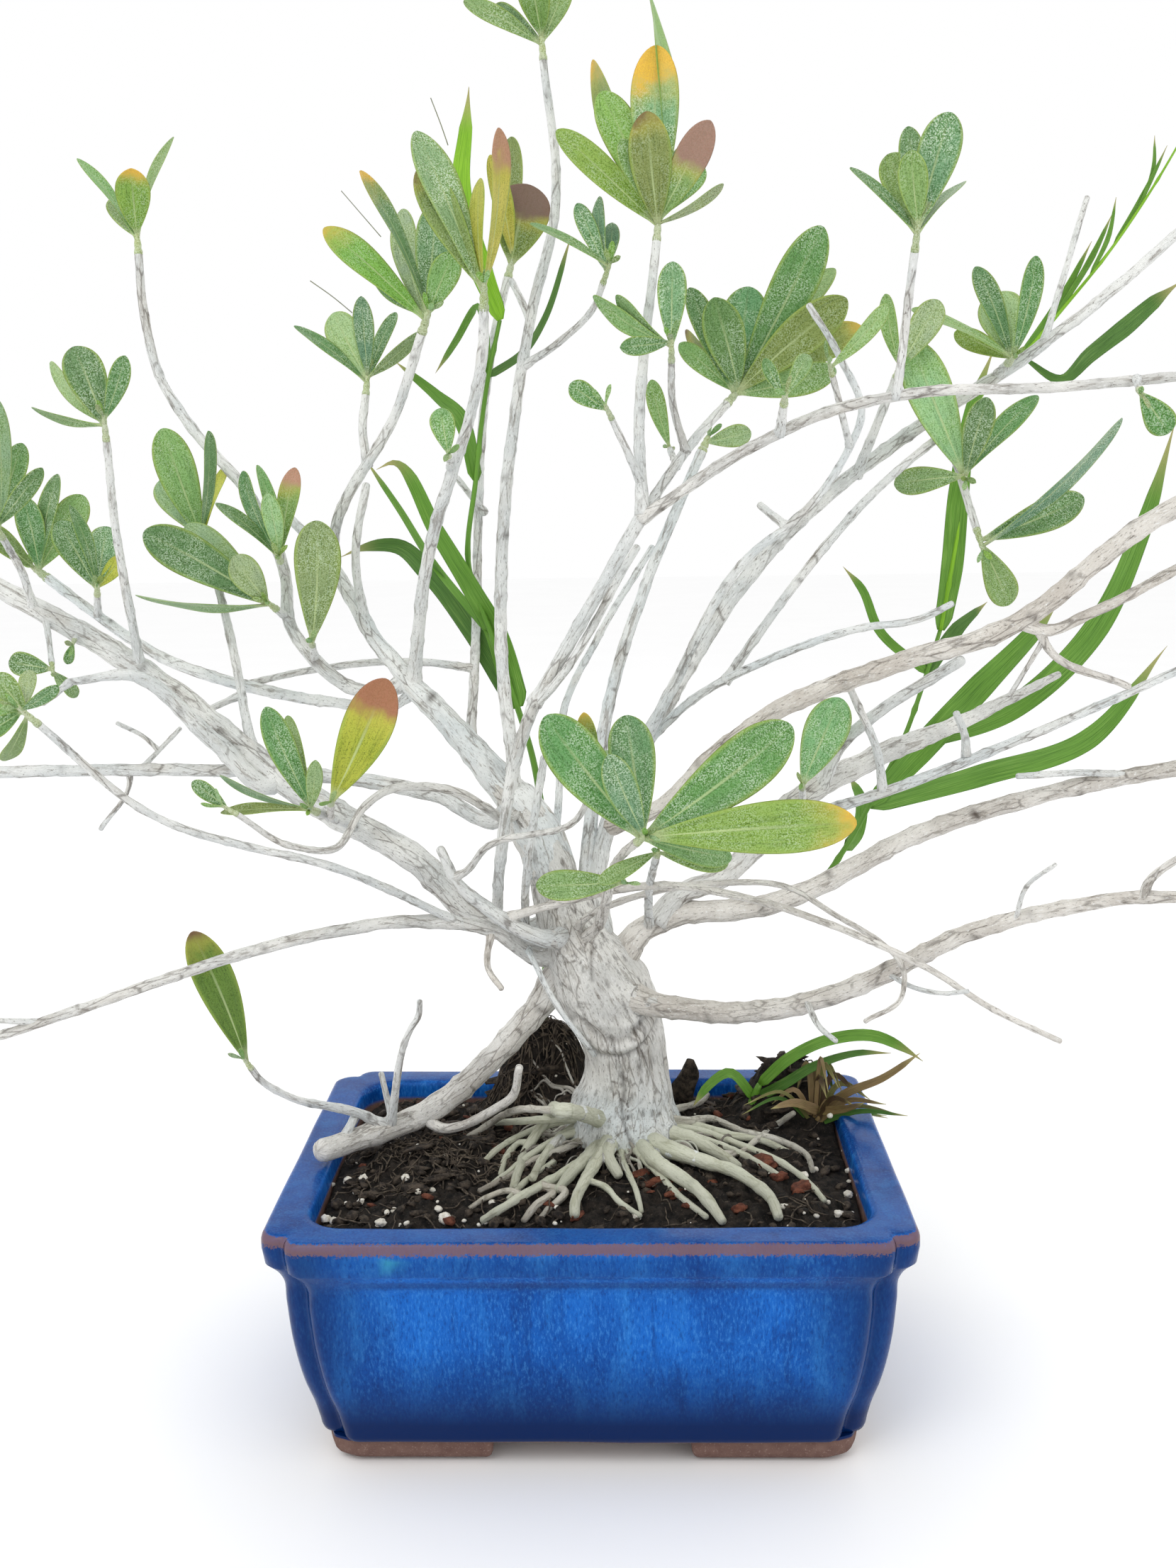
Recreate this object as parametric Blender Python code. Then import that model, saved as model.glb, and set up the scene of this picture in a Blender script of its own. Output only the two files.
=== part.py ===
"""Olive bonsai in its glazed pot.

Metres, +Z up. The origin is the middle of the pot's footprint on the ground, +X runs to the
right along the pot's long side and +Y away from the side that is looked at.

The wood, the leaves and the weeds were laid out against one upright ruler plane, y = 0, seen
from the point EYE: every route point is (across, up, depth) in millimetres, where across and up
are read on that ruler and depth is how far behind it the point really lies.
"""
import math

import bmesh
import bpy
from mathutils import Matrix, Vector, noise
from mathutils.bvhtree import BVHTree

MM = 0.001

# the pot, an 8 by 6 inch rectangle 3 1/4 inches high
POT_WIDTH = 204.0
POT_DEPTH = 150.0
POT_HEIGHT = 84.0
RIM_RING = 13.0        # width of the flat ring on top
NOTCH_LONG = 8.6       # how far the corner notches reach along the long sides
NOTCH_DEEP = 5.6       # and how far they are set back
WALL_FACE = 13.8       # inset of the inner wall just under the rim
IN_CORNER = 14.0       # radius of the inner corners
FOOT_HEIGHT = 8.0
FLOOR_TOP = 15.0
DRAIN_HOLE = 7.0       # radius
DRAIN_AT = 44.0        # distance of each hole from the middle
SOIL_EDGE = 75.0       # height of the soil at the wall
GAP = 0.35             # room left between pieces that touch
ROOT_ROOM = 0.6        # and round the roots in the soil
WOOD_EDGE = 0.85       # shorter edges that the union leaves are drawn together
TOP_EDGE = 0.5         # the same for the soil

EYE = Vector((12.1, -517.5, 304.5))
ROOT_DEPTH = 14.0      # depth at which the roots begin, inside the foot of the trunk

# start from an empty scene
for old in list(bpy.data.objects):
    bpy.data.objects.remove(old, do_unlink=True)

PLANT = bpy.data.collections.new("olive_bonsai")
CUTTERS = bpy.data.collections.new("cutters")
bpy.context.scene.collection.children.link(PLANT)
bpy.context.scene.collection.children.link(CUTTERS)


def material(name, colour, roughness, metallic=0.0):
    made = bpy.data.materials.new(name)
    made.use_nodes = True
    shader = made.node_tree.nodes["Principled BSDF"]
    shader.inputs["Base Color"].default_value = (*colour, 1.0)
    shader.inputs["Roughness"].default_value = roughness
    shader.inputs["Metallic"].default_value = metallic
    return made


GLAZE = material("cobalt_glaze", (0.03, 0.12, 0.42), 0.22)
PLASTIC = material("drain_mesh_plastic", (0.02, 0.02, 0.02), 0.6)
SOIL = material("potting_mix", (0.03, 0.024, 0.02), 0.95)
BARK = material("ash_grey_bark", (0.62, 0.60, 0.56), 0.85)
LEAF = material("olive_leaf_green", (0.16, 0.30, 0.16), 0.5)
LEAF_YELLOW = material("olive_leaf_turning_yellow", (0.55, 0.50, 0.10), 0.5)
GRASS = material("weed_grass_green", (0.16, 0.40, 0.05), 0.45)
STRAW = material("dead_grass_straw", (0.42, 0.30, 0.17), 0.8)


def seen(across, up, depth):
    """The point at that depth which, from EYE, covers the ruler mark (across, up)."""
    mark = Vector((across, 0.0, up))
    return EYE + (mark - EYE) * ((depth - EYE.y) / -EYE.y)


def over(x, y, height, floor=80.0):
    """The point at that height which, from EYE, covers the point (x, y) of the level `floor`."""
    mark = Vector((x, y, floor))
    return EYE + (mark - EYE) * ((EYE.z - height) / (EYE.z - floor))


def scale_at(depth):
    return (depth - EYE.y) / -EYE.y


def add_object(name, mesh, collection=PLANT):
    made = bpy.data.objects.new(name, mesh)
    collection.objects.link(made)
    return made


def mesh_from(name, bm, collection=PLANT):
    bmesh.ops.recalc_face_normals(bm, faces=bm.faces)
    mesh = bpy.data.meshes.new(name)
    bm.to_mesh(mesh)
    bm.free()
    return add_object(name, mesh, collection)


def tube(name, points, radii, sides, collection=CUTTERS):
    """A bent round bar: a bevelled curve with closed ends, made a mesh in millimetres."""
    curve = bpy.data.curves.new(name, "CURVE")
    curve.dimensions = "3D"
    curve.bevel_depth = 1.0
    curve.bevel_resolution = max(0, (sides - 4) // 2)
    curve.use_fill_caps = True
    spline = curve.splines.new("POLY")
    spline.points.add(len(points) - 1)
    for knot, place, radius in zip(spline.points, points, radii):
        knot.co = (*place, 1.0)
        knot.radius = radius
    rod = bpy.data.objects.new(name, curve)
    collection.objects.link(rod)
    bpy.context.view_layer.update()
    mesh = bpy.data.meshes.new_from_object(rod.evaluated_get(bpy.context.evaluated_depsgraph_get()))
    bm = bmesh.new()
    bm.from_mesh(mesh)
    bmesh.ops.remove_doubles(bm, verts=bm.verts, dist=0.001)
    bmesh.ops.recalc_face_normals(bm, faces=bm.faces)
    bmesh.ops.triangulate(bm, faces=bm.faces)
    bm.to_mesh(mesh)
    bm.free()
    made = add_object(name + "_bar", mesh, collection)
    made.matrix_world = rod.matrix_world
    bpy.data.objects.remove(rod, do_unlink=True)
    return made


def joined(name, first, others, operation="UNION", keep=False):
    """One Boolean of `first` with a collection of other bodies, applied."""
    if others:
        group = bpy.data.collections.new(name + "_group")
        for one in others:
            group.objects.link(one)
        step = first.modifiers.new("join", "BOOLEAN")
        step.operation = operation
        step.operand_type = "COLLECTION"
        step.collection = group
        step.solver = "MANIFOLD"
        bpy.context.view_layer.update()
        evaluated = first.evaluated_get(bpy.context.evaluated_depsgraph_get())
        mesh = bpy.data.meshes.new_from_object(evaluated)
        first.modifiers.clear()
        first.data = mesh
        if not keep:
            for one in list(group.objects):
                bpy.data.objects.remove(one, do_unlink=True)
        bpy.data.collections.remove(group)
    return first


def tidy(piece, sliver=0.32):
    """Draw together the very short edges that a Boolean leaves. An edge goes only where its two
    ends share just two neighbours and no face beside it would turn over, so the body stays
    closed."""
    shape = bmesh.new()
    shape.from_mesh(piece.data)
    bmesh.ops.triangulate(shape, faces=shape.faces)
    for _ in range(6):
        short = [edge for edge in shape.edges if edge.calc_length() < sliver]
        short.sort(key=lambda edge: edge.calc_length())
        moved = 0
        for edge in short:
            if not edge.is_valid or edge.calc_length() >= sliver:
                continue
            one, two = edge.verts
            beside = {e.other_vert(one) for e in one.link_edges}
            if len(beside & {e.other_vert(two) for e in two.link_edges}) != 2:
                continue
            for go, stay in ((one, two), (two, one)):
                turned = False
                for face in go.link_faces:
                    if stay in face.verts:
                        continue
                    corners = [stay.co if v is go else v.co for v in face.verts]
                    area = (corners[1] - corners[0]).cross(corners[2] - corners[0])
                    before = face.normal * face.calc_area()
                    if area.dot(face.normal) <= 0.35 * area.length and before.length > 1e-4:
                        turned = True
                        break
                if not turned:
                    bmesh.ops.pointmerge(shape, verts=[go, stay], merge_co=stay.co.copy())
                    moved += 1
                    break
            shape.normal_update()
        if not moved:
            break
    shape.to_mesh(piece.data)
    shape.free()


def finish(piece, name, look, sharp=40.0):
    """Name the piece, bring it to metres in the plant's collection and dress it."""
    piece.name = name
    piece.data.name = name
    piece.data.transform(Matrix.Scale(MM, 4))
    for holder in list(piece.users_collection):
        holder.objects.unlink(piece)
    PLANT.objects.link(piece)
    piece.data.materials.clear()
    piece.data.materials.append(look)
    piece.data.shade_smooth()
    piece.data.set_sharp_from_angle(angle=math.radians(sharp))
    return piece


# the pot
def plan(inset, notch=True, corner=6.0):
    """Outline of the pot at one level, anticlockwise from the middle of the right side. Notched:
    the long and the short sides are panels that stand proud of the corners, so the outline is
    that of two rounded rectangles laid across each other. Otherwise one rounded rectangle."""
    half_w, half_d = POT_WIDTH / 2 - inset, POT_DEPTH / 2 - inset
    quarter = [(half_w, 0.0)]
    if notch:
        step_x, step_y = half_w - NOTCH_LONG, half_d - NOTCH_DEEP
        for turn in (0.0, 45.0, 90.0):
            c, d = math.cos(math.radians(turn)), math.sin(math.radians(turn))
            quarter.append((half_w - corner + corner * c, step_y - corner + corner * d))
        quarter.append((step_x + 0.4, step_y - 0.6))
        for turn in (0.0, 45.0, 90.0):
            c, d = math.cos(math.radians(turn)), math.sin(math.radians(turn))
            quarter.append((step_x - 4.6 + 4.6 * c, half_d - 4.6 + 4.6 * d))
    else:
        for turn in range(0, 91, 15):
            c, d = math.cos(math.radians(turn)), math.sin(math.radians(turn))
            quarter.append((half_w - corner + corner * c, half_d - corner + corner * d))
    quarter.append((0.0, half_d))
    outline = list(quarter)
    outline += [(-x, y) for x, y in reversed(quarter[:-1])]
    outline += [(-x, -y) for x, y in quarter[1:]]
    outline += [(x, -y) for x, y in reversed(quarter[1:-1])]
    return outline


def ring_stack(bm, levels):
    """Walls between outlines with the same number of points."""
    rings = [[bm.verts.new((x, y, z)) for x, y in outline] for outline, z in levels]
    for low, high in zip(rings, rings[1:]):
        count = len(low)
        for i in range(count):
            j = (i + 1) % count
            bm.faces.new((low[i], low[j], high[j], high[i]))
    return rings


# wall levels, from under the floor up the outside and down the inside: (inset, height)
OUTSIDE = [(16.4, FOOT_HEIGHT), (14.2, FOOT_HEIGHT + 1.3), (13.1, FOOT_HEIGHT + 5.6),
           (12.0, FOOT_HEIGHT + 11.0), (9.6, 28.0), (7.0, 43.0), (5.7, 58.0), (5.2, 65.5),
           (3.4, 69.6), (0.7, 73.2), (0.0, 76.6), (0.0, POT_HEIGHT - 1.6), (1.5, POT_HEIGHT)]
INSIDE = [(RIM_RING - 1.2, POT_HEIGHT), (RIM_RING, POT_HEIGHT - 1.6), (WALL_FACE, 72.0),
          (WALL_FACE + 2.0, 44.0), (WALL_FACE + 8.0, FLOOR_TOP + 4.0),
          (WALL_FACE + 12.0, FLOOR_TOP)]
bm = bmesh.new()
rings = ring_stack(bm, [(plan(inset), z) for inset, z in OUTSIDE]
                   + [(plan(inset, False, IN_CORNER), z) for inset, z in INSIDE])
bm.faces.new(list(reversed(rings[0])))
bm.faces.new(rings[-1])
bmesh.ops.triangulate(bm, faces=[f for f in bm.faces if len(f.verts) > 4])
pot = mesh_from("pot", bm, CUTTERS)


def foot(side_x, side_y):
    """One corner foot, an L whose arms stop on a slant, its outer lower edge rounded."""
    out_x, out_y, in_x, in_y = 85.4, 58.4, 32.0, 26.0
    arm = 11.0

    def sole(grow, z):
        x, y = out_x + grow, out_y + grow
        points = [(x - 8, y), (in_x - grow * 0.6, y), (in_x - grow * 0.4, y - arm),
                  (x - arm - 2, y - arm), (x - arm - 2, in_y - grow * 0.4),
                  (x, in_y - grow * 0.6), (x, y - 8), (x - 2.4, y - 2.4)]
        return [(a * side_x, b * side_y) for a, b in points], z

    shape = bmesh.new()
    stack = ring_stack(shape, [sole(-5.4, 0.0), sole(-1.6, 1.5), sole(0.0, 4.6), sole(0.3, 9.4)])
    shape.faces.new(list(reversed(stack[0])))
    shape.faces.new(stack[-1])
    bmesh.ops.triangulate(shape, faces=[f for f in shape.faces if len(f.verts) > 4])
    return mesh_from("foot", shape, CUTTERS)


joined("pot", pot, [foot(x, y) for x in (1, -1) for y in (1, -1)])
holes = []
for side in (-1, 1):
    bpy.ops.mesh.primitive_cylinder_add(vertices=16, radius=DRAIN_HOLE, depth=30,
                                        location=(side * DRAIN_AT, 0, FOOT_HEIGHT + 4))
    hole = bpy.context.object
    hole.name = "drain_hole_cutter"
    holes.append(hole)
joined("pot", pot, holes, "DIFFERENCE")


# drain screens
def drain_screen(side):
    """A square of coarse plastic mesh that lies over one drain hole."""
    bars = []
    for along in range(3):
        for turned in (0, 1):
            bpy.ops.mesh.primitive_cube_add(size=1.0)
            bar = bpy.context.object
            shift = (along - 1) * 9.0
            size = (26.0, 1.6, 1.0) if turned else (1.6, 26.0, 1.2)
            place = (0.0, shift, 0.0) if turned else (shift, 0.0, 0.0)
            bar.data.transform(Matrix.Translation(Vector(place) + Vector(
                (side * DRAIN_AT, 0, FLOOR_TOP + GAP + 0.6))) @ Matrix.Diagonal((*size, 1.0)))
            bars.append(bar)
    return joined("drain_screen", bars[0], bars[1:])


# the wood
# trunk and leader: (across, up, depth, seen width)
TRUNK = [(10.6, 74, 22, 44), (10.6, 88, 22, 44), (10.8, 96, 22, 39.5), (11.6, 103, 21.5, 33.5),
         (12.2, 111, 21, 30), (11.4, 120, 20, 28.5), (9, 130, 19, 30.5), (5, 139, 18, 32.5),
         (0, 148, 17, 30), (-5, 158, 17, 24), (-9.5, 170, 18, 18.5), (-12.5, 182, 19, 17)]
LEADER = [(-12.5, 182, 19, 17), (-16, 193, 20, 16), (-22, 204, 22, 14), (-31, 215, 24, 11),
          (-40, 226, 26, 9), (-49, 237, 28, 8), (-57, 245, 30, 7.2), (-63, 252.5, 33, 5.8),
          (-70, 262, 37, 5), (-76, 273, 41, 4.7), (-82, 284, 46, 4.4), (-88, 291.5, 50, 3.6),
          (-100, 305, 56, 2.4)]

# name: (springs from, seen widths from root to tip, depth at the tip, ruler marks). A mark with a
# third number fixes the depth there.
LIMBS = {
    # low limbs
    "low_right": ("trunk", (8, 6.5, 4), -104, [
        (11, 138), (20, 135.5, 4), (31, 133), (45, 132), (60, 132.5), (70, 135.2), (79, 139),
        (97.5, 145.5), (107, 148.8), (120, 156), (141, 163), (160, 168), (181, 171), (206, 171.5)]),
    "low_right_fork": ("low_right", (3, 2.4), -112, [(187, 173.5), (192, 177.5), (206, 191)]),
    "low_right_curl": ("low_right", (1.7, 1.5), -92, [
        (143.5, 164), (147.5, 176), (151.5, 180.5), (156.5, 183)]),
    "low_right_hanger": ("low_right", (2.2, 1.8), -48, [(74, 136), (78, 127), (84, 121.5)]),
    "low_right_link": ("low_right", (1.8, 1.6), -78, [
        (100, 146), (109.5, 140.7), (120, 138.3), (128.5, 139)]),
    "fallen": ("trunk", (8.5, 8.5, 8), -17, [
        (-10, 146), (-16, 137), (-33.7, 117), (-50.5, 101), (-58, 96.3, 12),
        (-72.7, 90.3, 3), (-80.4, 87, -3), (-88, 84.2, -10), (-94.5, 82.4)]),
    "fallen_stub": ("fallen", (3, 3), -2, [(-88, 84), (-82, 96)]),
    "fallen_leaf_twig": ("fallen", (3.8, 2.8, 2.2), -25, [
        (-72, 91), (-79, 95), (-91.5, 97.5), (-106, 102.7), (-115.5, 108.7), (-118.4, 113)]),
    "fallen_riser": ("fallen", (3, 2), -12, [
        (-71, 92), (-65.5, 113), (-62, 127), (-59.3, 131.5), (-58.8, 136.5)]),
    "fallen_spur": ("fallen", (2.2, 2), 6, [(-70, 93), (-72, 103), (-73, 110.5)]),
    "fallen_crook": ("fallen", (3.6, 2.8), -8, [
        (-57, 94), (-48, 95.5), (-32, 98.5), (-28, 101.5), (-26, 105.7), (-25, 112.5)]),
    "low_left": ("trunk", (5, 4.2, 3.3), -76, [
        (-15, 151.5), (-23, 157), (-34, 162), (-48, 164.5), (-67.5, 164.7), (-85, 162),
        (-112, 154.5), (-140, 146), (-173, 136.2), (-189, 130.5), (-209, 124)]),
    "low_left_fork": ("low_left", (2.2, 1.8), -84, [(-190, 130.3), (-205, 131.5), (-218, 131)]),
    "low_left_hanger": ("low_left", (2.4, 2), -10, [
        (-33, 162.5), (-34.8, 151.5), (-35, 148), (-30.5, 141)]),
    "air_root": ("low_left", (2, 1.8), 7, [
        (-20.5, 156), (-19.5, 151, -1), (-12, 135.5, -2), (-3, 122.5, 2), (1, 117)]),
    # left side
    "left": ("trunk", (9, 9.5, 5.6), 26, [
        (-20, 160), (-33, 163.5), (-46, 174), (-61, 188), (-80, 199.4), (-90, 205),
        (-110, 220), (-130, 237.5), (-150, 253), (-170, 266), (-190, 278), (-205, 286)]),
    "left_twin": ("left", (6.5, 5.5, 2.4), -4, [
        (-106, 214), (-124, 227), (-144, 244.5), (-151.5, 250), (-160, 249.3), (-172, 248)]),
    "left_twin_twig": ("left_twin", (2.2, 2), -12, [(-178, 244.5), (-181.5, 241)]),
    "left_front": ("trunk", (6, 5, 3), -8, [
        (-14.5, 158.5, 2), (-28.5, 166, -1), (-36, 170.5), (-44.5, 178.5), (-50, 190)]),
    "left_leaf_twig": ("left", (3.4, 2.8), -24, [(-78, 198), (-85, 201), (-91.5, 203.2)]),
    "left_drop": ("left", (2, 1.8), 8, [(-178, 271), (-178.6, 262), (-177.6, 254)]),
    "left_small": ("left", (2, 1.8), 18, [(-168, 265), (-169.5, 262)]),
    "left_edge_twig": ("left", (2.8, 2.4), -16, [(-182, 273), (-185, 284), (-191, 296)]),
    "left_riser": ("left", (3.2, 2.6), 48, [
        (-112, 222), (-115, 240), (-115.5, 248), (-118.5, 268), (-121, 280), (-124, 291)]),
    "left_riser_twig": ("left_riser", (2.4, 2), 30, [(-115, 243), (-127, 238)]),
    "left_stem": ("left", (3.2, 2.4), -14, [
        (-147.5, 252), (-149, 263), (-150, 275), (-153.5, 300), (-154.5, 327)]),
    "level_left": ("leader", (5.2, 4.2, 4), 44, [
        (-31, 200), (-50, 208), (-70, 212.6), (-90, 215.6), (-118, 217.2), (-145, 216.3),
        (-175, 217.2), (-208, 218)]),
    "level_twig": ("level_left", (1.8, 1.5), 52, [(-151, 218), (-143, 224), (-136, 232)]),
    "level_twig_fork": ("level_twig", (1.6, 1.4), 50, [(-143, 224), (-148, 229), (-157, 234)]),
    "level_hanger": ("level_left", (1.6, 1.6), 40, [(-154, 215), (-162, 203), (-165, 198)]),
    "bowed_left": ("leader", (3.3, 2.8, 2), -46, [
        (-28, 200, 8), (-35, 204.5, -2), (-42, 208.7), (-56, 211.5), (-68, 210), (-75, 205),
        (-83, 196), (-86, 190.5), (-92, 190), (-100, 191.3), (-113, 200), (-119, 203)]),
    "leaf_twig_centre_left": ("left_front", (2.5, 2.1), -52, [
        (-42, 182), (-35, 190), (-25, 194), (-3, 201), (0, 206.5)]),
    "thin_left": ("low_left", (3, 2.6), -92, [
        (-42, 165), (-54.5, 170.3), (-80, 181.5), (-100, 189), (-130, 198.2), (-150, 204),
        (-155.5, 207.5), (-168, 219.5), (-184, 234.3)]),
    # stems that rise over the left fork
    "front_riser": ("left", (3.6, 4.2), -18, [
        (-31, 166), (-30.3, 182, -2), (-28, 200), (-25, 213), (-22, 227), (-17.5, 239)]),
    "front_riser_twin": ("front_riser", (3, 2.6), -20, [
        (-15, 241, -20), (-5.5, 253.5), (9, 277), (17, 290)]),
    "front_riser_upper": ("front_riser", (4.2, 4.4), -34, [
        (-17.5, 239), (-11, 251), (-3, 264), (8, 282), (19, 300.5)]),
    "top_stem": ("front_riser_upper", (3.9, 2.6), -24, [
        (18, 301), (17.5, 312), (18, 325), (21.5, 352), (23.7, 379), (24, 386)]),
    "top_stem_twig": ("top_stem", (2.7, 2), -48, [(17.4, 311), (15.3, 319), (9, 331.5)]),
    "tuft_stem": ("front_riser_upper", (3.4, 2.9), -4, [
        (18, 300), (29, 314), (36, 324), (46.5, 335.5)]),
    "tuft_stem_twig": ("tuft_stem", (2.6, 2.2), -40, [(33, 320), (28.5, 338), (28.5, 349)]),
    "tuft_stem_spur": ("tuft_stem", (2.2, 2), 12, [(30, 315.5), (28, 321)]),
    "arch_right": ("front_riser_upper", (3.8, 3.2), -88, [
        (18.5, 299), (35, 309), (55, 322), (75, 331), (92, 334.5), (113, 338.2),
        (140, 338.5), (165, 341.3), (207, 343)]),
    "arch_stub": ("arch_right", (3, 2.7), -62, [(63, 326), (64.4, 335)]),
    "arch_riser": ("arch_right", (3, 2.5), -72, [(100, 336), (102, 352), (105, 381.5)]),
    "dark_knob": ("left", (2.9, 2.7), -8, [
        (-22, 161), (-21, 182, -7), (-17.7, 202), (-14.4, 221)]),
    "left_mid_stem": ("leader", (4.4, 3.2), -28, [
        (-57, 246), (-54.7, 266), (-52, 285), (-47, 297.5), (-41.8, 315.5), (-35.5, 340),
        (-31.3, 358), (-31, 366)]),
    "left_mid_spur": ("left_mid_stem", (2.2, 2), -28, [(-41.8, 316), (-43.5, 320)]),
    "back_stem": ("leader", (3.2, 2.6), 62, [
        (-39, 225), (-37.2, 250, 36), (-34.6, 278), (-33, 302), (-29.5, 335), (-27, 361),
        (-23, 375.5)]),
    "back_stem_link": ("back_stem", (2.2, 1.9), 26, [(-33.3, 302), (-41, 313)]),
    "back_level": ("back_stem", (2.6, 2.2), 62, [
        (-37.2, 251), (-50, 253), (-70, 252.3), (-95, 250.5), (-112, 247)]),
    "tall_stem": ("leader", (4.4, 3.8, 2.4), 14, [
        (-24, 208), (-25.3, 222, 14), (-28, 255), (-27, 289), (-24, 316), (-19.3, 343),
        (-16, 363), (-9.5, 388), (-7.7, 396), (-9.3, 416), (-10.8, 440)]),
    "tall_stem_fork": ("tall_stem", (2.3, 2), 24, [(-16.5, 362), (-20, 370.5), (-22, 374)]),
    "tall_stem_twig": ("tall_stem", (2.4, 2), -16, [
        (-18, 348), (-8, 354.5), (4.5, 366.5), (7, 373)]),
    "far_left_stem": ("leader", (4.8, 3.6, 2.6), 56, [
        (-59, 248), (-66, 244, 34), (-76, 244.3, 37), (-92, 257), (-97.5, 266), (-98, 281),
        (-105, 302), (-118, 320), (-130, 335.5), (-135, 344.5), (-140, 372), (-140.3, 384.5)]),
    "far_left_spur": ("far_left_stem", (2.6, 2.4), 30, [(-97.6, 268), (-102, 271.5)]),
    "far_left_spur_up": ("far_left_stem", (2.4, 2.2), 26, [(-98.5, 283), (-99.7, 287)]),
    "far_left_leaf_twig": ("far_left_stem", (2.4, 2.2), 22, [(-90, 255), (-90.4, 259.5)]),
    "left_upper_stem": ("leader", (3.7, 3), 12, [
        (-83, 286), (-80.5, 299), (-71, 315.5), (-60, 334), (-50.8, 359)]),
    "left_upper_fork": ("left_upper_stem", (2.8, 2.4), 40, [(-70, 317), (-71, 330), (-69.6, 340)]),
    "left_upper_twin": ("leader", (2.9, 2.6), 30, [
        (-73, 267), (-75, 288), (-73, 300), (-70.6, 311)]),
    "pale_back": ("leader", (3.2, 4, 3.2), 88, [
        (-57, 243), (-66, 238.5, 42), (-85, 240.3), (-115, 246.5), (-140, 255.5),
        (-158, 267.5), (-177, 282.5)]),
    "pale_back_spur": ("pale_back", (2.6, 2.2), 66, [(-161, 270), (-160.8, 277)]),
    # middle and right
    "pale_middle": ("trunk", (5.6, 4, 3), 46, [
        (-4, 155), (-3, 168), (0.5, 192), (4, 220), (9, 245), (20, 278), (31, 303),
        (38.5, 321)]),
    "pale_thin": ("trunk", (2.8, 2.1), 76, [
        (-12, 180), (-9, 218, 44), (-8, 235), (4, 261), (22, 290)]),
    "back_right": ("trunk", (6.5, 5, 2.8), 66, [
        (1, 156), (2.5, 180), (10, 207), (20, 227), (30, 240.5), (48, 268), (64, 292.5),
        (85, 310), (105, 325.7), (125, 339), (141, 348.5), (160, 362.5), (180, 380), (199, 396)]),
    "back_right_twin": ("back_right", (3.3, 2.8, 2), -36, [
        (17, 222), (27, 240.5, 16), (43, 268), (58, 290.5), (66, 296), (80, 313), (86, 322),
        (89, 330), (82, 349), (72, 365)]),
    "twin_stub": ("back_right_twin", (2.7, 2.5), 4, [(66, 295.5), (57, 303)]),
    "twin_twig": ("back_right_twin", (2.2, 2), -44, [(85.5, 321.5), (83, 334), (79.5, 344)]),
    "pale_arc": ("back_right", (3.1, 2.3), -26, [
        (19, 226), (35, 240, 20), (60, 253), (90, 263), (110, 266), (119.5, 270.5)]),
    "pale_arc_fork": ("pale_arc", (3.1, 2.6), 26, [
        (45, 246.5), (57, 262), (80, 289), (100, 312.5), (113, 323)]),
    "pale_leaf_stem": ("back_right", (3.2, 2.4), 22, [(88, 311.5), (92.5, 326), (100, 343)]),
    "beige_right": ("back_right", (5.4, 6.6, 6.4), -52, [
        (6, 198), (14, 199.5, 16), (24, 203.5), (41, 220), (60, 234.3), (80, 243.5),
        (100, 250.7), (120, 257), (140, 263), (160, 279), (180, 294.3), (204, 308)]),
    "beige_right_fork": ("beige_right", (3.8, 3.2), -36, [
        (142, 264), (150, 261.5), (165, 267), (200, 285.5)]),
    "beige_drop": ("beige_right_fork", (2.8, 2.4), -14, [
        (148, 262), (150.5, 257), (160, 252), (178, 242.8)]),
    "beige_drop_thin": ("beige_drop", (1.6, 1.6), -22, [(149, 258), (143, 248), (139.5, 240.5)]),
    "thick_back": ("rising_right", (6.6, 8.6, 2.2), 84, [
        (22, 165), (31, 174), (43.5, 179, 24), (50, 184), (63, 200), (75, 207.3), (95, 220),
        (120, 230), (155, 247)]),
    "thick_back_fork": ("thick_back", (4.2, 3.7), 16, [
        (77, 208.5), (86, 226), (93, 232.3), (115, 246.3), (123, 252)]),
    "thick_back_spur": ("thick_back", (2.4, 2.2), 28, [(72, 205), (71.5, 210)]),
    "pale_right": ("thick_back", (3.9, 2.7), 18, [
        (60, 197), (68, 199.8), (85, 203.7), (105, 211.3), (140, 224.2), (170, 237), (199, 250)]),
    "pale_right_link": ("pale_right", (2.9, 2.5), 18, [
        (98.5, 208.5), (96.5, 221), (92, 232), (86.8, 243.5)]),
    "pale_right_spur": ("pale_right", (2.7, 2.4), 32, [(126, 219), (125, 227), (122, 234.5)]),
    "leaf_hanger": ("back_right", (2.9, 2.4), 24, [
        (113, 331), (118, 320, 40), (121.5, 308), (127, 294)]),
    "leaf_hanger_spur": ("leaf_hanger", (2.4, 2.2), 26, [(119, 317), (121.5, 313)]),
    "tuft_spur_right": ("back_right", (2.8, 2.6), 40, [(132, 343), (135.3, 346.5)]),
    "dry_twig_right": ("back_right", (2.2, 1.8), 60, [(146.5, 352), (150, 368), (158, 396)]),
    "rising_right": ("trunk", (8, 6.4, 5), 36, [
        (8, 149), (18, 161.5), (26, 165.3), (46.5, 168), (60.5, 169.7), (76, 175.5),
        (93, 184.2), (110, 193.3), (130, 200.2), (160, 208.7), (180, 213), (206, 217)]),
    "rising_right_stub": ("rising_right", (2.4, 2.2), 24, [(182, 213.4), (172, 213.9), (143, 213.2)]),
    "centre_low_spur": ("leaf_twig_centre", (2.2, 2), -52, [(8, 181), (11.5, 178.5)]),
    "leaf_twig_centre": ("trunk", (3.8, 3), -66, [
        (0, 160), (4, 172, -22), (12, 188.5), (16.5, 192)]),
    "leaf_twig_centre_pale": ("rising_right", (3.1, 2.5), -50, [(20, 163), (20.5, 177), (23, 187.5)]),
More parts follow.
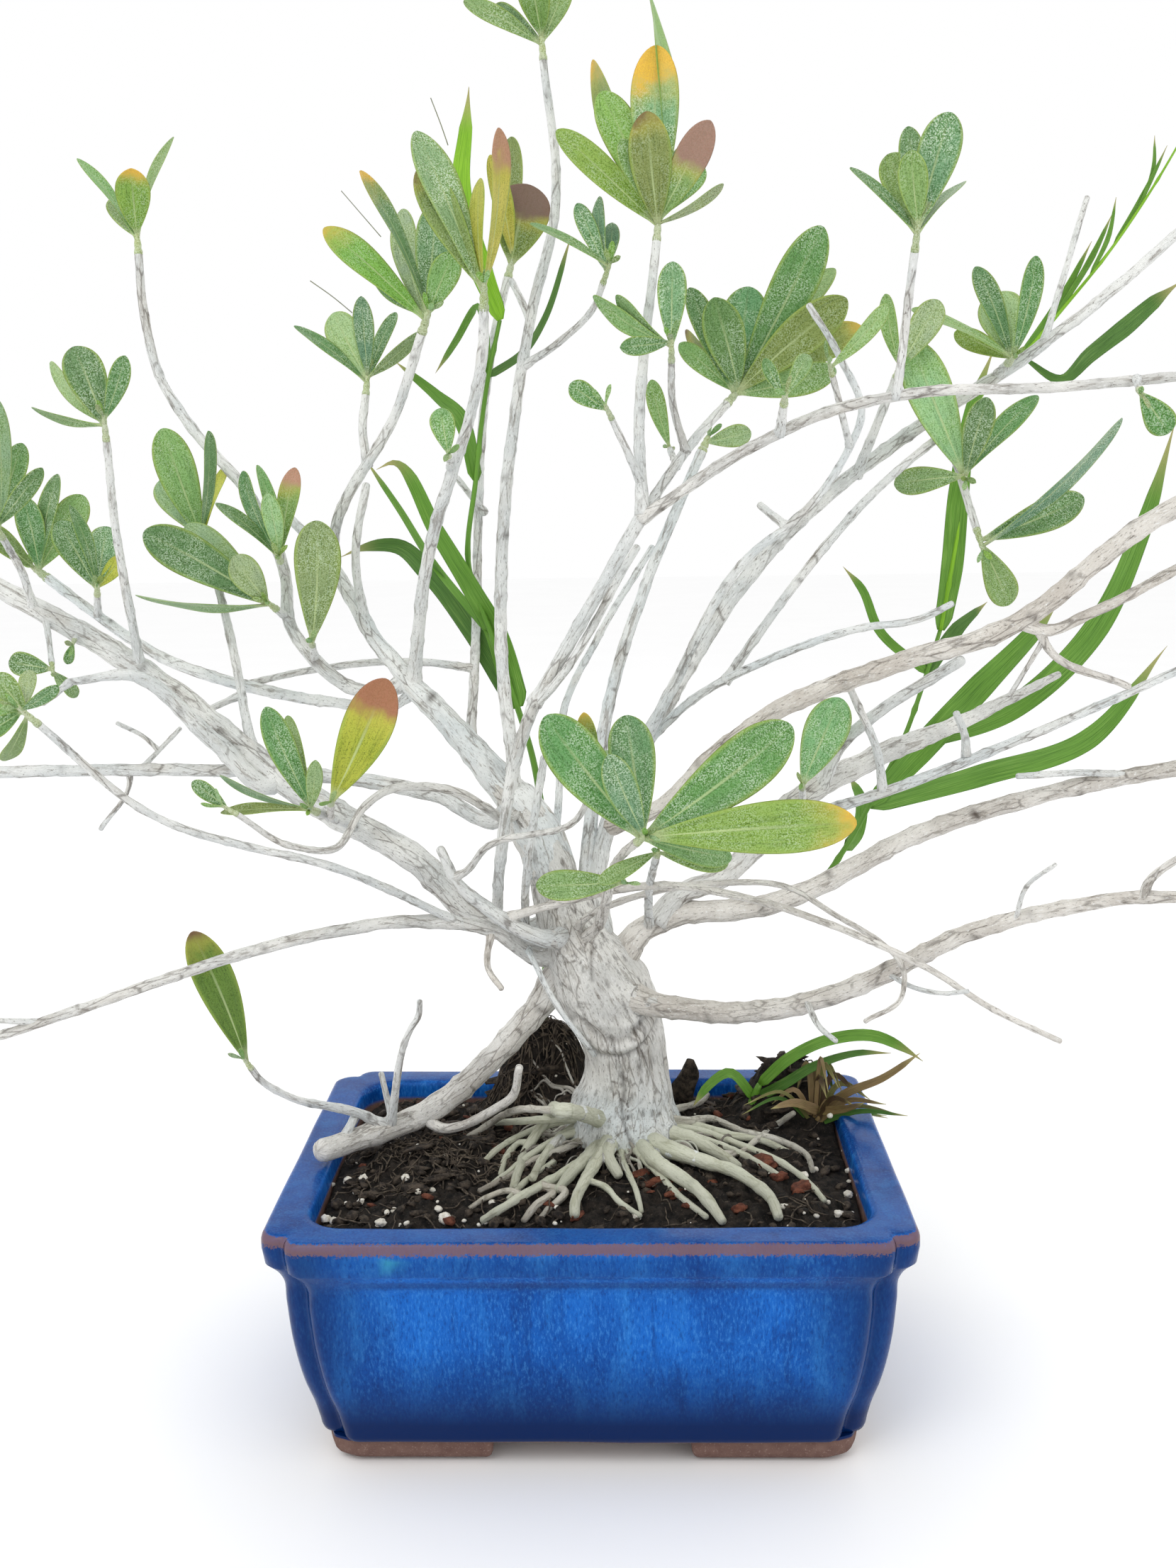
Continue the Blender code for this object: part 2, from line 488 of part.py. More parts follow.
    "right_sweep_thin": ("trunk", (2.5, 2, 1.7), -66, [
        (-6.5, 159.5, -1), (2, 167.8, -4), (15.5, 173), (43, 177.5), (68, 175.5), (80.5, 168),
        (92, 158), (103, 148), (107, 143.5), (106, 137), (94, 128.5)]),
    "arch_drop_twig": ("arch_right", (2.4, 2.2), -96, [(176, 342), (177, 337.5)]),
    "yellow_twig": ("left_leaf_twig", (2.6, 2.4), -38, [(-87, 201.7), (-86.5, 206)]),
    "right_sweep": ("left_front", (3.1, 2.6, 1.9), -88, [
        (-28, 166), (-14, 170.2), (15, 174.8), (28, 176.8), (54, 172), (73.5, 165.2), (93, 158),
        (114.5, 147.3), (127, 138.5), (140, 131), (160.5, 121)]),
}

# surface roots: seen widths, and marks (x, y) read on the level 80 plane. The first mark lies
# inside the foot of the trunk or another root, the others on the soil.
ROOTS = {
    "root_right": ((10, 6, 4.4), [(18, 16), (31, 1), (40, -7), (48, -13), (55, -25), (59, -36),
                                  (60, -48)]),
    "root_right_front": ((9, 6.4, 4.6), [(15, 14), (24, -8), (31, -20), (37, -33), (40, -43),
                                         (42, -51)]),
    "root_right_front_thin": ((3, 2.2), [(12, 16), (17, -1), (22, -14), (28, -30), (37, -48)]),
    "root_front_thin": ((2.6, 1.8), [(9, 18), (10.5, -4), (13, -18), (15.5, -33), (16.5, -44)]),
    "root_right_flare": ((10, 6, 3), [(16, 26), (33, 16), (43, 4), (50, -9)]),
    "root_right_back": ((4, 2.5, 2.2), [(22, 34), (36, 31), (43, 33), (54, 21), (66, 13),
                                        (74, 1), (75, -13)]),
    "root_right_back_low": ((3.2, 2.2), [(22, 30), (37, 27), (50, 18), (61, 12), (68, 3)]),
    "root_right_rising": ((2.4, 2), [(47, -8), (51, 2), (58, 13), (66, 26), (74, 38)]),
    "root_loop": ((3, 2), [(20, 38), (34, 45), (41, 51), (43, 57)]),
    "root_left_broad": ((8, 5, 3.2), [(4, 32), (-12, 42), (-19, 27), (-23, 8), (-25, -12),
                                     (-26, -25)]),
    "root_left_long": ((3, 2.2), [(-2, 38), (-17, 42.5), (-33, 39), (-40, 26), (-45, 17)]),
    "root_left_short": ((3, 2.2), [(-2, 34), (-20, 33), (-30, 31), (-36, 30)]),
    "root_left_thin": ((2.8, 2), [(-18, 20), (-25.5, 12), (-30, 0), (-31, -15)]),
    "root_left_second": ((5, 3.2), [(0, 32), (-9, 22), (-15, 6), (-18.5, -8), (-20, -18)]),
    "root_left_brown": ((3, 2), [(0, 20), (-12, 4), (-20, -3), (-28, -17), (-37, -28)]),
    "root_front_long": ((7, 4.4, 3), [(5, 16), (-2, -4), (-10, -15), (-19, -27), (-31, -45),
                                      (-34, -50)]),
    "root_front_brown": ((3.6, 2.6), [(-8, -14), (-13, -28), (-18, -40), (-21, -50)]),
    "root_front_brown_twin": ((3, 2), [(-5, -16), (-8.5, -29), (-14, -43), (-16, -49)]),
    "root_front_wisp": ((2.4, 1.8), [(-17, -24), (-27, -28), (-35, -34), (-39, -41)]),
    "root_yellow": ((8, 6, 4.6), [(7, 18), (3, 2), (0, -11), (-3, -24), (-5, -36), (-5, -46)]),
    "root_pale_lump": ((8, 6, 4), [(5, 14), (-3, -4), (-8, -18), (-11, -27)]),
    "root_front_small": ((2.4, 1.8), [(0, -12), (3.5, -24), (10, -38), (16, -47)]),
    "root_front_lump": ((7, 4), [(9, 14), (6.5, -6), (9, -16)]),
    "root_left_back_thin": ((3, 2), [(0, 36), (-14, 30), (-24, 21), (-34, 6), (-38, -6)]),
    "root_left_fan": ((3, 2), [(2, 28), (-12, 16), (-20, 4), (-27, -10), (-33, -22)]),
    "root_left_fan_low": ((2.6, 2), [(2, 24), (-8, 10), (-14, -6), (-22, -20), (-27, -34)]),
    "root_right_thin": ((2.8, 2), [(18, 24), (34, 18), (46, 8), (57, -6), (64, -18)]),
    "root_right_long": ((3, 2), [(20, 28), (38, 22), (53, 8), (66, -8), (73, -24), (76, -36)]),
}

ROOT_FROM = {"root_left_thin": "root_left_broad", "root_front_wisp": "root_front_long",
             "root_front_brown": "root_front_long", "root_front_brown_twin": "root_front_long",
             "root_front_small": "root_yellow", "root_right_rising": "root_right_flare"}


def soil_height(x, y):
    """Height of the soil: low at the walls, banked up round the trunk, with the old root ball
    as a mound behind it on the left and a hump behind it on the right."""
    edge = max(abs(x) / 90.0, abs(y) / 63.0)
    z = SOIL_EDGE + 5.4 * (1 - min(1.0, edge) ** 4)
    z += 35.0 * math.exp(-(((x + 19) / 17.0) ** 4 + ((y - 46) / 15.0) ** 2))
    z += 20.0 * math.exp(-(((x - 74) / 17.0) ** 4 + ((y - 46) / 13.0) ** 2))
    z += 4.0 * math.exp(-(((x + 62) / 22.0) ** 2 + ((y + 4) / 16.0) ** 2))
    coarse = noise.noise(Vector((x, y, 0.0)) * 0.16) * 2.4
    coarse += noise.noise(Vector((x, y, 7.0)) * 0.42) * 1.5
    return z + coarse * min(1.0, 3.2 * (1.04 - edge))


THICK_FROM, ROUND_FROM = 8.4, 4.4      # widths from which a limb has 8 sides, and 6 and not 4


def thinned(quads, slack=1.05):
    """Drop marks that lie almost on the straight line between their neighbours."""
    kept = list(quads)
    k = 1
    while k < len(kept) - 1:
        one, mid, two = (seen(*q[:3]) for q in (kept[k - 1], kept[k], kept[k + 1]))
        run = two - one
        t = (mid - one).dot(run) / run.length_squared
        width = kept[k - 1][3] + (kept[k + 1][3] - kept[k - 1][3]) * t
        if (mid - one - run * t).length < slack and abs(width - kept[k][3]) < 0.7:
            del kept[k]
        else:
            k += 1
    return kept


def bars_of():
    """Real centres and radii of each limb, from the ruler marks."""
    paths, marks_of = {}, {}

    def lay(name, quads, sides):
        centres = [seen(a, u, d) for a, u, d, w in quads]
        radii = [w * scale_at(d) / 2 for a, u, d, w in quads]
        paths[name] = (centres, radii, sides)
        marks_of[name] = quads

    lay("trunk", TRUNK, 12)
    lay("leader", LEADER, 8)
    waiting = dict(LIMBS)
    while waiting:
        for name in list(waiting):
            parent, widths, far, marks = waiting[name]
            if parent not in marks_of:
                continue
            del waiting[name]
            # nearest place on the parent's centre line, as seen on the ruler
            best = None
            for one, two in zip(marks_of[parent], marks_of[parent][1:]):
                run = Vector((two[0] - one[0], two[1] - one[1]))
                off = Vector((marks[0][0] - one[0], marks[0][1] - one[1]))
                t = min(1.0, max(0.0, off.dot(run) / run.length_squared))
                miss = (off - run * t).length
                if best is None or miss < best[0]:
                    best = (miss, [one[i] + (two[i] - one[i]) * t for i in range(4)])
            miss, (a0, u0, d0, w0) = best
            route = [(a0, u0, d0)]
            route += list(marks if miss > 2.0 else marks[1:])
            steps = [0.0]
            for one, two in zip(route, route[1:]):
                steps.append(steps[-1] + math.hypot(two[0] - one[0], two[1] - one[1]))
            fixed = [(s, m[2]) for s, m in zip(steps, route) if len(m) > 2]
            if len(route[-1]) < 3:
                fixed.append((steps[-1], far))
            quads = []
            for s, mark in zip(steps, route):
                for (s0, v0), (s1, v1) in zip(fixed, fixed[1:]):
                    if s0 <= s <= s1:
                        depth = v0 + (v1 - v0) * (s - s0) / (s1 - s0)
                        break
                part = s / steps[-1] * (len(widths) - 1)
                k = min(len(widths) - 2, int(part))
                width = widths[k] + (widths[k + 1] - widths[k]) * (part - k)
                quads.append((mark[0], mark[1], depth, width))
            lay(name, thinned(quads), 8 if widths[0] > THICK_FROM else 6 if widths[0] > ROUND_FROM else 4)
    for name, (widths, marks) in ROOTS.items():
        centres, radii = [], []
        for i, (x, y) in enumerate(marks):
            part = i / (len(marks) - 1) * (len(widths) - 1)
            k = min(len(widths) - 2, int(part))
            width = widths[k] + (widths[k + 1] - widths[k]) * (part - k)
            centre = over(x, y, 82.0)
            radius = width * scale_at(centre.y) / 2
            if i == 0 and name not in ROOT_FROM:
                centre = EYE + (over(x, y, 80.0) - EYE) * ((ROOT_DEPTH - EYE.y) / (y - EYE.y))
            else:
                centre = over(x, y, soil_height(centre.x, centre.y) + radius + 0.8)
            centres.append(centre)
            radii.append(radius)
        if name in ROOT_FROM:
            # it begins on the centre line of the root that it leaves
            near = None
            line = paths[ROOT_FROM[name]][0]
            for one, two in zip(line, line[1:]):
                run = two - one
                t = min(1.0, max(0.0, (centres[1] - one).dot(run) / run.length_squared))
                spot = one + run * t
                if near is None or (spot - centres[1]).length < (near - centres[1]).length:
                    near = spot
            centres[0] = near
        paths[name] = (centres, radii, 6 if widths[0] > ROUND_FROM else 4)
    return paths


PATHS = bars_of()


def grown_wood(extra=0.0, only_low=False):
    """The trunk, every limb and every surface root as one body, `extra` mm fatter all round."""
    bars = []
    for name, (centres, radii, sides) in PATHS.items():
        if only_low and min(c.z for c in centres) > 100:
            continue
        points, sizes = list(centres), [r + extra for r in radii]
        if only_low:
            # only the stretch that can touch the soil
            keep = [i for i, c in enumerate(points) if c.z < 112]
            last = min(len(points), keep[-1] + 2)
            first = max(0, keep[0] - 1)
            points, sizes = points[first:last], sizes[first:last]
        if extra:
            for end, beside in ((0, 1), (-1, -2)):
                points[end] = points[end] + (points[end] - points[beside]).normalized() * extra
        bars.append(tube(name, points, sizes, sides))
    return joined("wood", bars[0], bars[1:])


wood = grown_wood()
tidy(wood, WOOD_EDGE)


# soil
def soil_body():
    columns, rows = 22, 14
    inner = WALL_FACE + GAP + 0.15
    half_w, half_d = POT_WIDTH / 2 - inner, POT_DEPTH / 2 - inner
    shape = bmesh.new()
    grid = []
    for j in range(rows + 1):
        line = []
        for i in range(columns + 1):
            u, v = 2 * i / columns - 1, 2 * j / rows - 1
            # a square grid eased onto a rectangle with round corners
            pull = (u * u * v * v) ** 2
            x, y = u * half_w * (1 - 0.048 * pull), v * half_d * (1 - 0.068 * pull)
            line.append((x, y))
        grid.append(line)
    tops = [[shape.verts.new((x, y, soil_height(x, y))) for x, y in line] for line in grid]
    for j in range(rows):
        for i in range(columns):
            shape.faces.new((tops[j][i], tops[j][i + 1], tops[j + 1][i + 1], tops[j + 1][i]))
    border = [(i, 0) for i in range(columns)] + [(columns, j) for j in range(rows)]
    border += [(i, rows) for i in range(columns, 0, -1)] + [(0, j) for j in range(rows, 0, -1)]
    last = [tops[j][i] for i, j in border]
    for shrink, z in ((3.2, 44.0), (9.2, 20.0), (12.8, FLOOR_TOP + GAP)):
        ring = []
        for (i, j), above in zip(border[::2], last[::2] if len(last) == len(border) else last):
            x, y = grid[j][i]
            ring.append(shape.verts.new((x * (half_w - shrink) / half_w,
                                         y * (half_d - shrink) / half_d, z)))
        count = len(ring)
        for k in range(count):
            nxt = (k + 1) % count
            if len(last) == 2 * count:
                shape.faces.new((last[2 * k], last[2 * k + 1], ring[k]))
                shape.faces.new((last[2 * k + 1], last[(2 * k + 2) % len(last)], ring[nxt], ring[k]))
            else:
                shape.faces.new((last[k], last[nxt], ring[nxt], ring[k]))
        last = ring
    shape.faces.new(last)
    bmesh.ops.triangulate(shape, faces=shape.faces)
    return mesh_from("soil", shape, CUTTERS)


# white perlite grains and reddish bark chips: (x, y) on the level 80 plane, size
PERLITE = [(-82, -22, 3.8), (-77, -21, 4.2), (-75, -38, 3.4), (-63, -45, 3.4), (-84, -51, 4),
           (-66, -54, 4), (-46, -51, 5), (-33, -53, 3.6), (15, -50, 4.4), (71, -20, 4.2),
           (84, -34, 3.8), (62, -44, 4), (79, -48, 3.6), (-57, -30, 3)]
CHIPS = [(20, -24, 13, 5, 20), (57, -8, 9, 12, 8), (70, -28, 10, 8, 30)]


def soil_relief():
    bits = []
    for k, (x, y, size) in enumerate(PERLITE):
        at = over(x, y, 78.0)
        bpy.ops.mesh.primitive_ico_sphere_add(subdivisions=1, radius=1.0)
        grain = bpy.context.object
        lump = Matrix.Diagonal((size * 0.55, size * 0.45, size * 0.42, 1.0))
        spin = Matrix.Rotation(1.7 * k, 4, "Z") @ Matrix.Rotation(0.5 * k, 4, "X")
        grain.data.transform(Matrix.Translation((at.x, at.y, soil_height(at.x, at.y) + size * 0.12))
                             @ spin @ lump)
        bits.append(grain)
    for x, y, long_side, wide, turn in CHIPS:
        at = over(x, y, 79.0)
        bpy.ops.mesh.primitive_cube_add(size=1.0)
        chip = bpy.context.object
        chip.data.transform(
            Matrix.Translation((at.x, at.y, soil_height(at.x, at.y) + 0.6))
            @ Matrix.Rotation(math.radians(turn), 4, "Z")
            @ Matrix.Rotation(math.radians(9), 4, "X")
            @ Matrix.Diagonal((long_side, wide, 3.4, 1.0)))
        bits.append(chip)
    # a slab of bark that stands to the right of the trunk
    low, high = over(33, 52, 82.0), seen(34, 115, 40)
    bits.append(tube("bark_slab", [low, low.lerp(high, 0.55) + Vector((0.5, 0, 0)), high],
                     [4.2, 3.6, 2.0], 6))
    return bits


soil = soil_body()
joined("soil", soil, soil_relief())
room = grown_wood(ROOT_ROOM, only_low=True)
joined("soil", soil, [room], "DIFFERENCE")
pockets = []
for side in (-1, 1):
    bpy.ops.mesh.primitive_cube_add(size=1.0)
    pocket = bpy.context.object
    pocket.data.transform(Matrix.Translation((side * DRAIN_AT, 0, FLOOR_TOP + 1.0))
                          @ Matrix.Diagonal((27.0, 27.0, 2.4, 1.0)))
    pockets.append(pocket)
joined("soil", soil, pockets, "DIFFERENCE")
tidy(soil, TOP_EDGE)


def largest_part(piece):
    """Keep the biggest connected body of a cut piece, and drop crumbs."""
    shape = bmesh.new()
    shape.from_mesh(piece.data)
    shape.verts.ensure_lookup_table()
    left, parts = set(range(len(shape.verts))), []
    while left:
        stack, body = [left.pop()], []
        while stack:
            vert = stack.pop()
            body.append(vert)
            for edge in shape.verts[vert].link_edges:
                other = edge.other_vert(shape.verts[vert]).index
                if other in left:
                    left.remove(other)
                    stack.append(other)
        parts.append(body)
    parts.sort(key=len)
    doomed = [shape.verts[i] for body in parts[:-1] for i in body]
    bmesh.ops.delete(shape, geom=doomed, context="VERTS")
    shape.to_mesh(piece.data)
    shape.free()
    return len(parts) - 1


largest_part(soil)

# leaves
# leaf outline, narrow at the stalk, broadest past the middle, round at the tip
OUTLINE = ((0.0, 0.12), (0.4, 0.8), (0.8, 0.96))
LEAF_THICK = 1.0
LEAF_WIDEN = 1.15       # the widths below were read inside the leaves' edges
LEAN = (0, 11, -12, 5, -7, 15, -16, 8, -3, 19)
TRIES = (0, 7, -7, 14, -14, 22, -22, 30, -30, 40, -40, 52, -52)


def blade(name, base, tip, seen_width, thick=LEAF_THICK, grow=0.0, roll_sign=1):
    """One leaf: a thin closed blade from base to tip, folded a little along its midrib and
    arched away from the eye. One that is seen narrow is turned on its own axis."""
    run = tip - base
    length = run.length
    axis = run / length
    middle = (base + tip) / 2
    toward = (EYE - middle).normalized()
    side = axis.cross(toward)
    side = side.normalized() if side.length > 0.05 else Vector((1, 0, 0))
    face = side.cross(axis).normalized()
    real = max(seen_width * scale_at(middle.y), 0.235 * length)
    roll = math.acos(min(1.0, seen_width * scale_at(middle.y) / real)) * roll_sign
    side, face = (side * math.cos(roll) + face * math.sin(roll),
                  face * math.cos(roll) - side * math.sin(roll))
    shape = bmesh.new()
    rings = []
    for t, w in OUTLINE:
        half = real * w / 2 + grow
        arch = 0.045 * length * math.sin(math.pi * t)
        centre = base + axis * (length * t) + face * arch
        body = (thick if t > 0.01 else 1.5) / 2 + grow
        fold = face * (0.16 * half * (t > 0.01))
        rings.append([shape.verts.new(centre - side * half + fold),
                      shape.verts.new(centre - face * body),
                      shape.verts.new(centre + side * half + fold),
                      shape.verts.new(centre + face * body)])
    end = shape.verts.new(tip + axis * grow)
    for low, high in zip(rings, rings[1:]):
        for i in range(4):
            j = (i + 1) % 4
            # every quad is split from the midrib out, so both faces are split alike
            if i in (0, 2):
                shape.faces.new((low[i], low[j], high[i]))
                shape.faces.new((low[j], high[j], high[i]))
            else:
                shape.faces.new((low[i], low[j], high[j]))
                shape.faces.new((low[i], high[j], high[i]))
    for i in range(4):
        shape.faces.new((rings[-1][i], rings[-1][(i + 1) % 4], end))
    shape.faces.new(list(reversed(rings[0])))
    bmesh.ops.triangulate(shape, faces=[f for f in shape.faces if len(f.verts) > 3])
    return mesh_from(name, shape, CUTTERS)


def tree_of(piece):
    shape = bmesh.new()
    shape.from_mesh(piece.data)
    made = BVHTree.FromBMesh(shape)
    shape.free()
    return made


OBSTACLES = [("wood", tree_of(wood)), ("soil", tree_of(soil)), ("pot", tree_of(pot))]


def is_clear(piece, own):
    tree = tree_of(piece)
    return not any(name != own and tree.overlap(other) for name, other in OBSTACLES)


# tuft: (twig it grows on, leaves as (tip across, tip up, seen width, depth of the tip past the
# twig's end)). A leaf with no fourth number leans by the rule in LEAN.
TUFTS = {
    "leaves_top_left": ("far_left_stem", [(-158, 413, 3), (-146, 402, 8), (-141, 410, 9),
                                          (-127, 419, 2.4)]),
    "leaves_left_high": ("left_stem", [(-163, 356, 11), (-171, 351, 4.5), (-146.5, 353, 5.5),
                                       (-178, 337, 2.4)]),
    "leaves_left_edge": ("left_edge_twig", [(-190, 341, 6), (-182, 326, 7), (-176, 318, 5.5),
                                            (-206, 326, 8), (-212, 308, 7)]),
    "leaves_left_edge_back": ("pale_back", [(-183, 309, 8), (-163, 309, 9), (-196, 300, 6),
                                            (-171, 316, 5)]),
    "leaves_left_inner": ("pale_back_spur", [(-172, 301, 9), (-156, 299, 8), (-168, 306, 4),
                                             (-152, 289, 5)]),
    "leaves_left_spread": ("far_left_spur", [(-144, 297, 12), (-130, 299, 10), (-115, 289, 9),
                                             (-148, 277, 2.2)]),
    "leaves_left_bunch": ("far_left_spur_up", [(-120, 306, 3.6), (-111, 316, 5), (-103, 309, 6),
                                               (-93.5, 317, 6), (-106, 318, 4)]),
    "leaves_left_pair": ("left_riser", [(-136, 330, 11), (-137, 314, 10), (-121, 329, 4),
                                        (-115, 318, 3)]),
    "leaf_left_single": ("far_left_leaf_twig", [(-87, 300, 12.5)]),
    "leaves_left_small": ("left_small", [(-172.5, 254, 3)]),
    "leaf_left_drop": ("left_drop", [(-192, 255, 7), (-170, 243, 4)]),
    "leaves_far_left": ("thin_left", [(-197, 251, 7.5), (-185, 252, 5), (-176, 247, 4),
                                      (-201, 241, 5), (-203, 230, 6), (-196, 222, 5)]),
    "leaves_left_low": ("left_leaf_twig", [(-107, 239, 8.5), (-100, 236, 6), (-91, 221, 5),
                                           (-123.5, 216, 2.4), (-124, 203, 3.2)]),
    "leaves_upper_left": ("left_upper_fork", [(-92, 361, 3.2), (-79, 365, 10), (-70, 370, 6),
                                              (-59, 365, 4), (-51, 359, 4)]),
    "leaves_upper_left_crown": ("left_upper_stem", [(-81, 391, 8), (-66, 377, 5), (-69, 408, 4),
                                                    (-45, 398, 10), (-40, 383, 8), (-56, 396, 7)]),
    "leaves_crown_left": ("left_mid_stem", [(-51, 419, 10), (-50, 409, 10), (-25, 420, 5),
                                            (-31, 405, 4)]),
    "leaves_crown_left_back": ("back_stem", [(-16, 403, 16), (-21, 417, 7), (-28, 412, 6)]),
    "leaves_tall_tip": ("tall_stem", [(-35, 457, 5), (-26, 455, 6), (-15, 467, 9), (-3, 462, 6)]),
    "leaves_crown_small": ("tall_stem_twig", [(-1, 397, 5), (10, 391, 4.5), (-16, 391, 2.4),
                                              (6, 399, 4)]),
    "leaves_top": ("top_stem", [(-7, 419, 8), (6, 411, 4.5), (13, 416, 7), (7, 430, 10),
                                (24, 443, 13, 6), (21, 424, 12, -16), (41, 421, 9), (39, 407, 6),
                                (45, 402, 3), (35, 416, 5), (22, 459, 4), (5, 439, 6, 20)]),
    "leaf_middle_single": ("top_stem_twig", [(-4, 342, 6)]),
    "leaves_tuft_left": ("tuft_stem_twig", [(29, 379, 8), (4, 369, 5), (12, 353, 5), (11, 369, 4)]),
    "leaves_tuft": ("tuft_stem", [(34, 371, 7), (31, 354, 6), (42, 368, 11), (53, 371, 12),
                                  (76, 389, 12), (80, 376, 8), (84, 367, 11), (89, 358, 9),
                                  (81, 345, 8), (33, 358, 4)]),
    "leaves_arch_stub": ("arch_stub", [(58, 349, 4), (72, 350, 5)]),
    "leaf_twin_twig": ("twin_twig", [(97, 365, 5)]),
    "leaves_right_high": ("arch_riser", [(84, 406, 3), (96, 410, 9), (103, 411, 8), (102, 418, 7),
                                         (115, 422, 11), (120, 401, 2.4)]),
    "leaf_pale_right": ("pale_leaf_stem", [(113, 366, 8), (96, 368, 5)]),
    "leaves_right_tuft": ("tuft_spur_right", [(124, 376, 6), (131, 368, 12), (143, 379, 6),
                                              (118, 356, 6), (104, 363, 3)]),
    "leaves_hanger": ("leaf_hanger", [(161, 304, 9), (138, 270, 9), (172, 329, 4)]),
    "leaves_hanger_upper": ("leaf_hanger_spur", [(104, 354, 13), (100, 309, 8), (129, 336, 8),
                                                 (145, 336, 6)]),
    "leaves_right_edge": ("pale_right", [(212, 262, 7), (205, 232, 7), (216, 247, 6),
                                         (196, 268, 5)]),
    "leaves_centre": ("leaf_twig_centre", [(-14, 235, 16), (13, 235, 13), (7, 222, 10),
                                           (68, 231, 17), (90, 198, 16), (48, 186, 8)]),
    "leaf_centre_low": ("centre_low_spur", [(-18, 177, 9)]),
    "leaf_centre_right": ("thick_back_spur", [(84, 240, 13)]),
    "leaf_mid_left": ("left_mid_spur", [(-46, 335, 7)]),
    "leaf_pale_middle": ("pale_middle", [(54, 326, 6)]),
    "leaf_tuft_spur": ("tuft_stem_spur", [(22, 343, 5)]),
    "leaves_centre_left": ("leaf_twig_centre_left", [(-15, 224, 4), (7, 223, 4.5), (-1, 236, 6)]),
    "leaf_centre_pale": ("leaf_twig_centre_pale", [(47, 184, 6), (3, 178, 5)]),
    "leaf_bowed_left": ("bowed_left", [(-133, 214, 5)]),
    "leaves_end_right": ("back_right", [(208, 424, 8), (222, 404, 8), (216, 418, 6)]),
    "leaves_end_right_arch": ("arch_right", [(234, 354, 8), (228, 330, 8), (224, 366, 6)]),
    "leaves_end_right_upper": ("beige_right", [(232, 322, 8), (222, 334, 7), (228, 298, 6)]),
    "leaves_end_right_mid": ("rising_right", [(231, 230, 8), (230, 206, 8), (222, 240, 6)]),
    "leaves_end_right_low": ("low_right", [(236, 181, 8), (232, 160, 8)]),
    "leaves_end_left": ("left", [(-232, 304, 8), (-233, 286, 8), (-222, 314, 7)]),
    "leaves_end_left_level": ("level_left", [(-228, 229, 8), (-229, 208, 8)]),
    "leaves_end_left_low": ("low_left", [(-240, 130, 8), (-242, 114, 8), (-232, 101, 6)]),
    "leaf_arch_drop": ("arch_drop_twig", [(187, 324, 8)]),
}
SINGLES_YELLOW = {
    "leaf_yellow_low": ("fallen_leaf_twig", [(-136, 162, 12)]),
    "leaf_yellow_left": ("yellow_twig", [(-66, 248, 15)]),
}


def twig_end(name):
    centres, radii, sides = PATHS[name]
    return centres[-1], (centres[-1] - centres[-2]).normalized(), radii[-1]


def tuft(name, twig, leaves):
    """A short shoot that carries on from its twig, with its leaves set into it."""
    end, along, radius = twig_end(twig)
    few = len(leaves) < 3
    shoot = 4.5 if few else 7.5
    start = end + along * (GAP + 0.1)
    parts = [tube(name, [start, start + along * shoot * 0.6, start + along * shoot],
                  [radius * 0.9, radius * 0.9, radius * 0.6], 4)]
    for k, leaf in enumerate(leaves):
        across, up, width = leaf[0], leaf[1], leaf[2] * LEAF_WIDEN
        lean = leaf[3] if len(leaf) > 3 else LEAN[k % len(LEAN)]
        base = start + along * (shoot * (0.45 + 0.4 * ((k * 2) % 5) / 5.0))
        placed = None
        for part in (1.0, 0.82, 0.66):
            for shift in TRIES:
                tip = base.lerp(seen(across, up, end.y + lean + shift), part)
                sign = 1 if k % 2 else -1
                trial = blade("leaf", base, tip, width, LEAF_THICK, 0.45, sign)
                fits = is_clear(trial, name)
                bpy.data.objects.remove(trial, do_unlink=True)
                if fits:
                    placed = blade("leaf", base, tip, width, LEAF_THICK, 0.0, sign)
                    break
            if placed:
                break
        if placed:
            parts.append(placed)
    body = joined(name, parts[0], parts[1:])
    tidy(body)
    OBSTACLES.append((name, tree_of(body)))
    return body


leaf_nodes = []
for name, (twig, leaves) in TUFTS.items():
    leaf_nodes.append((name, tuft(name, twig, leaves), LEAF))
for name, (twig, leaves) in SINGLES_YELLOW.items():
    leaf_nodes.append((name, tuft(name, twig, leaves), LEAF_YELLOW))


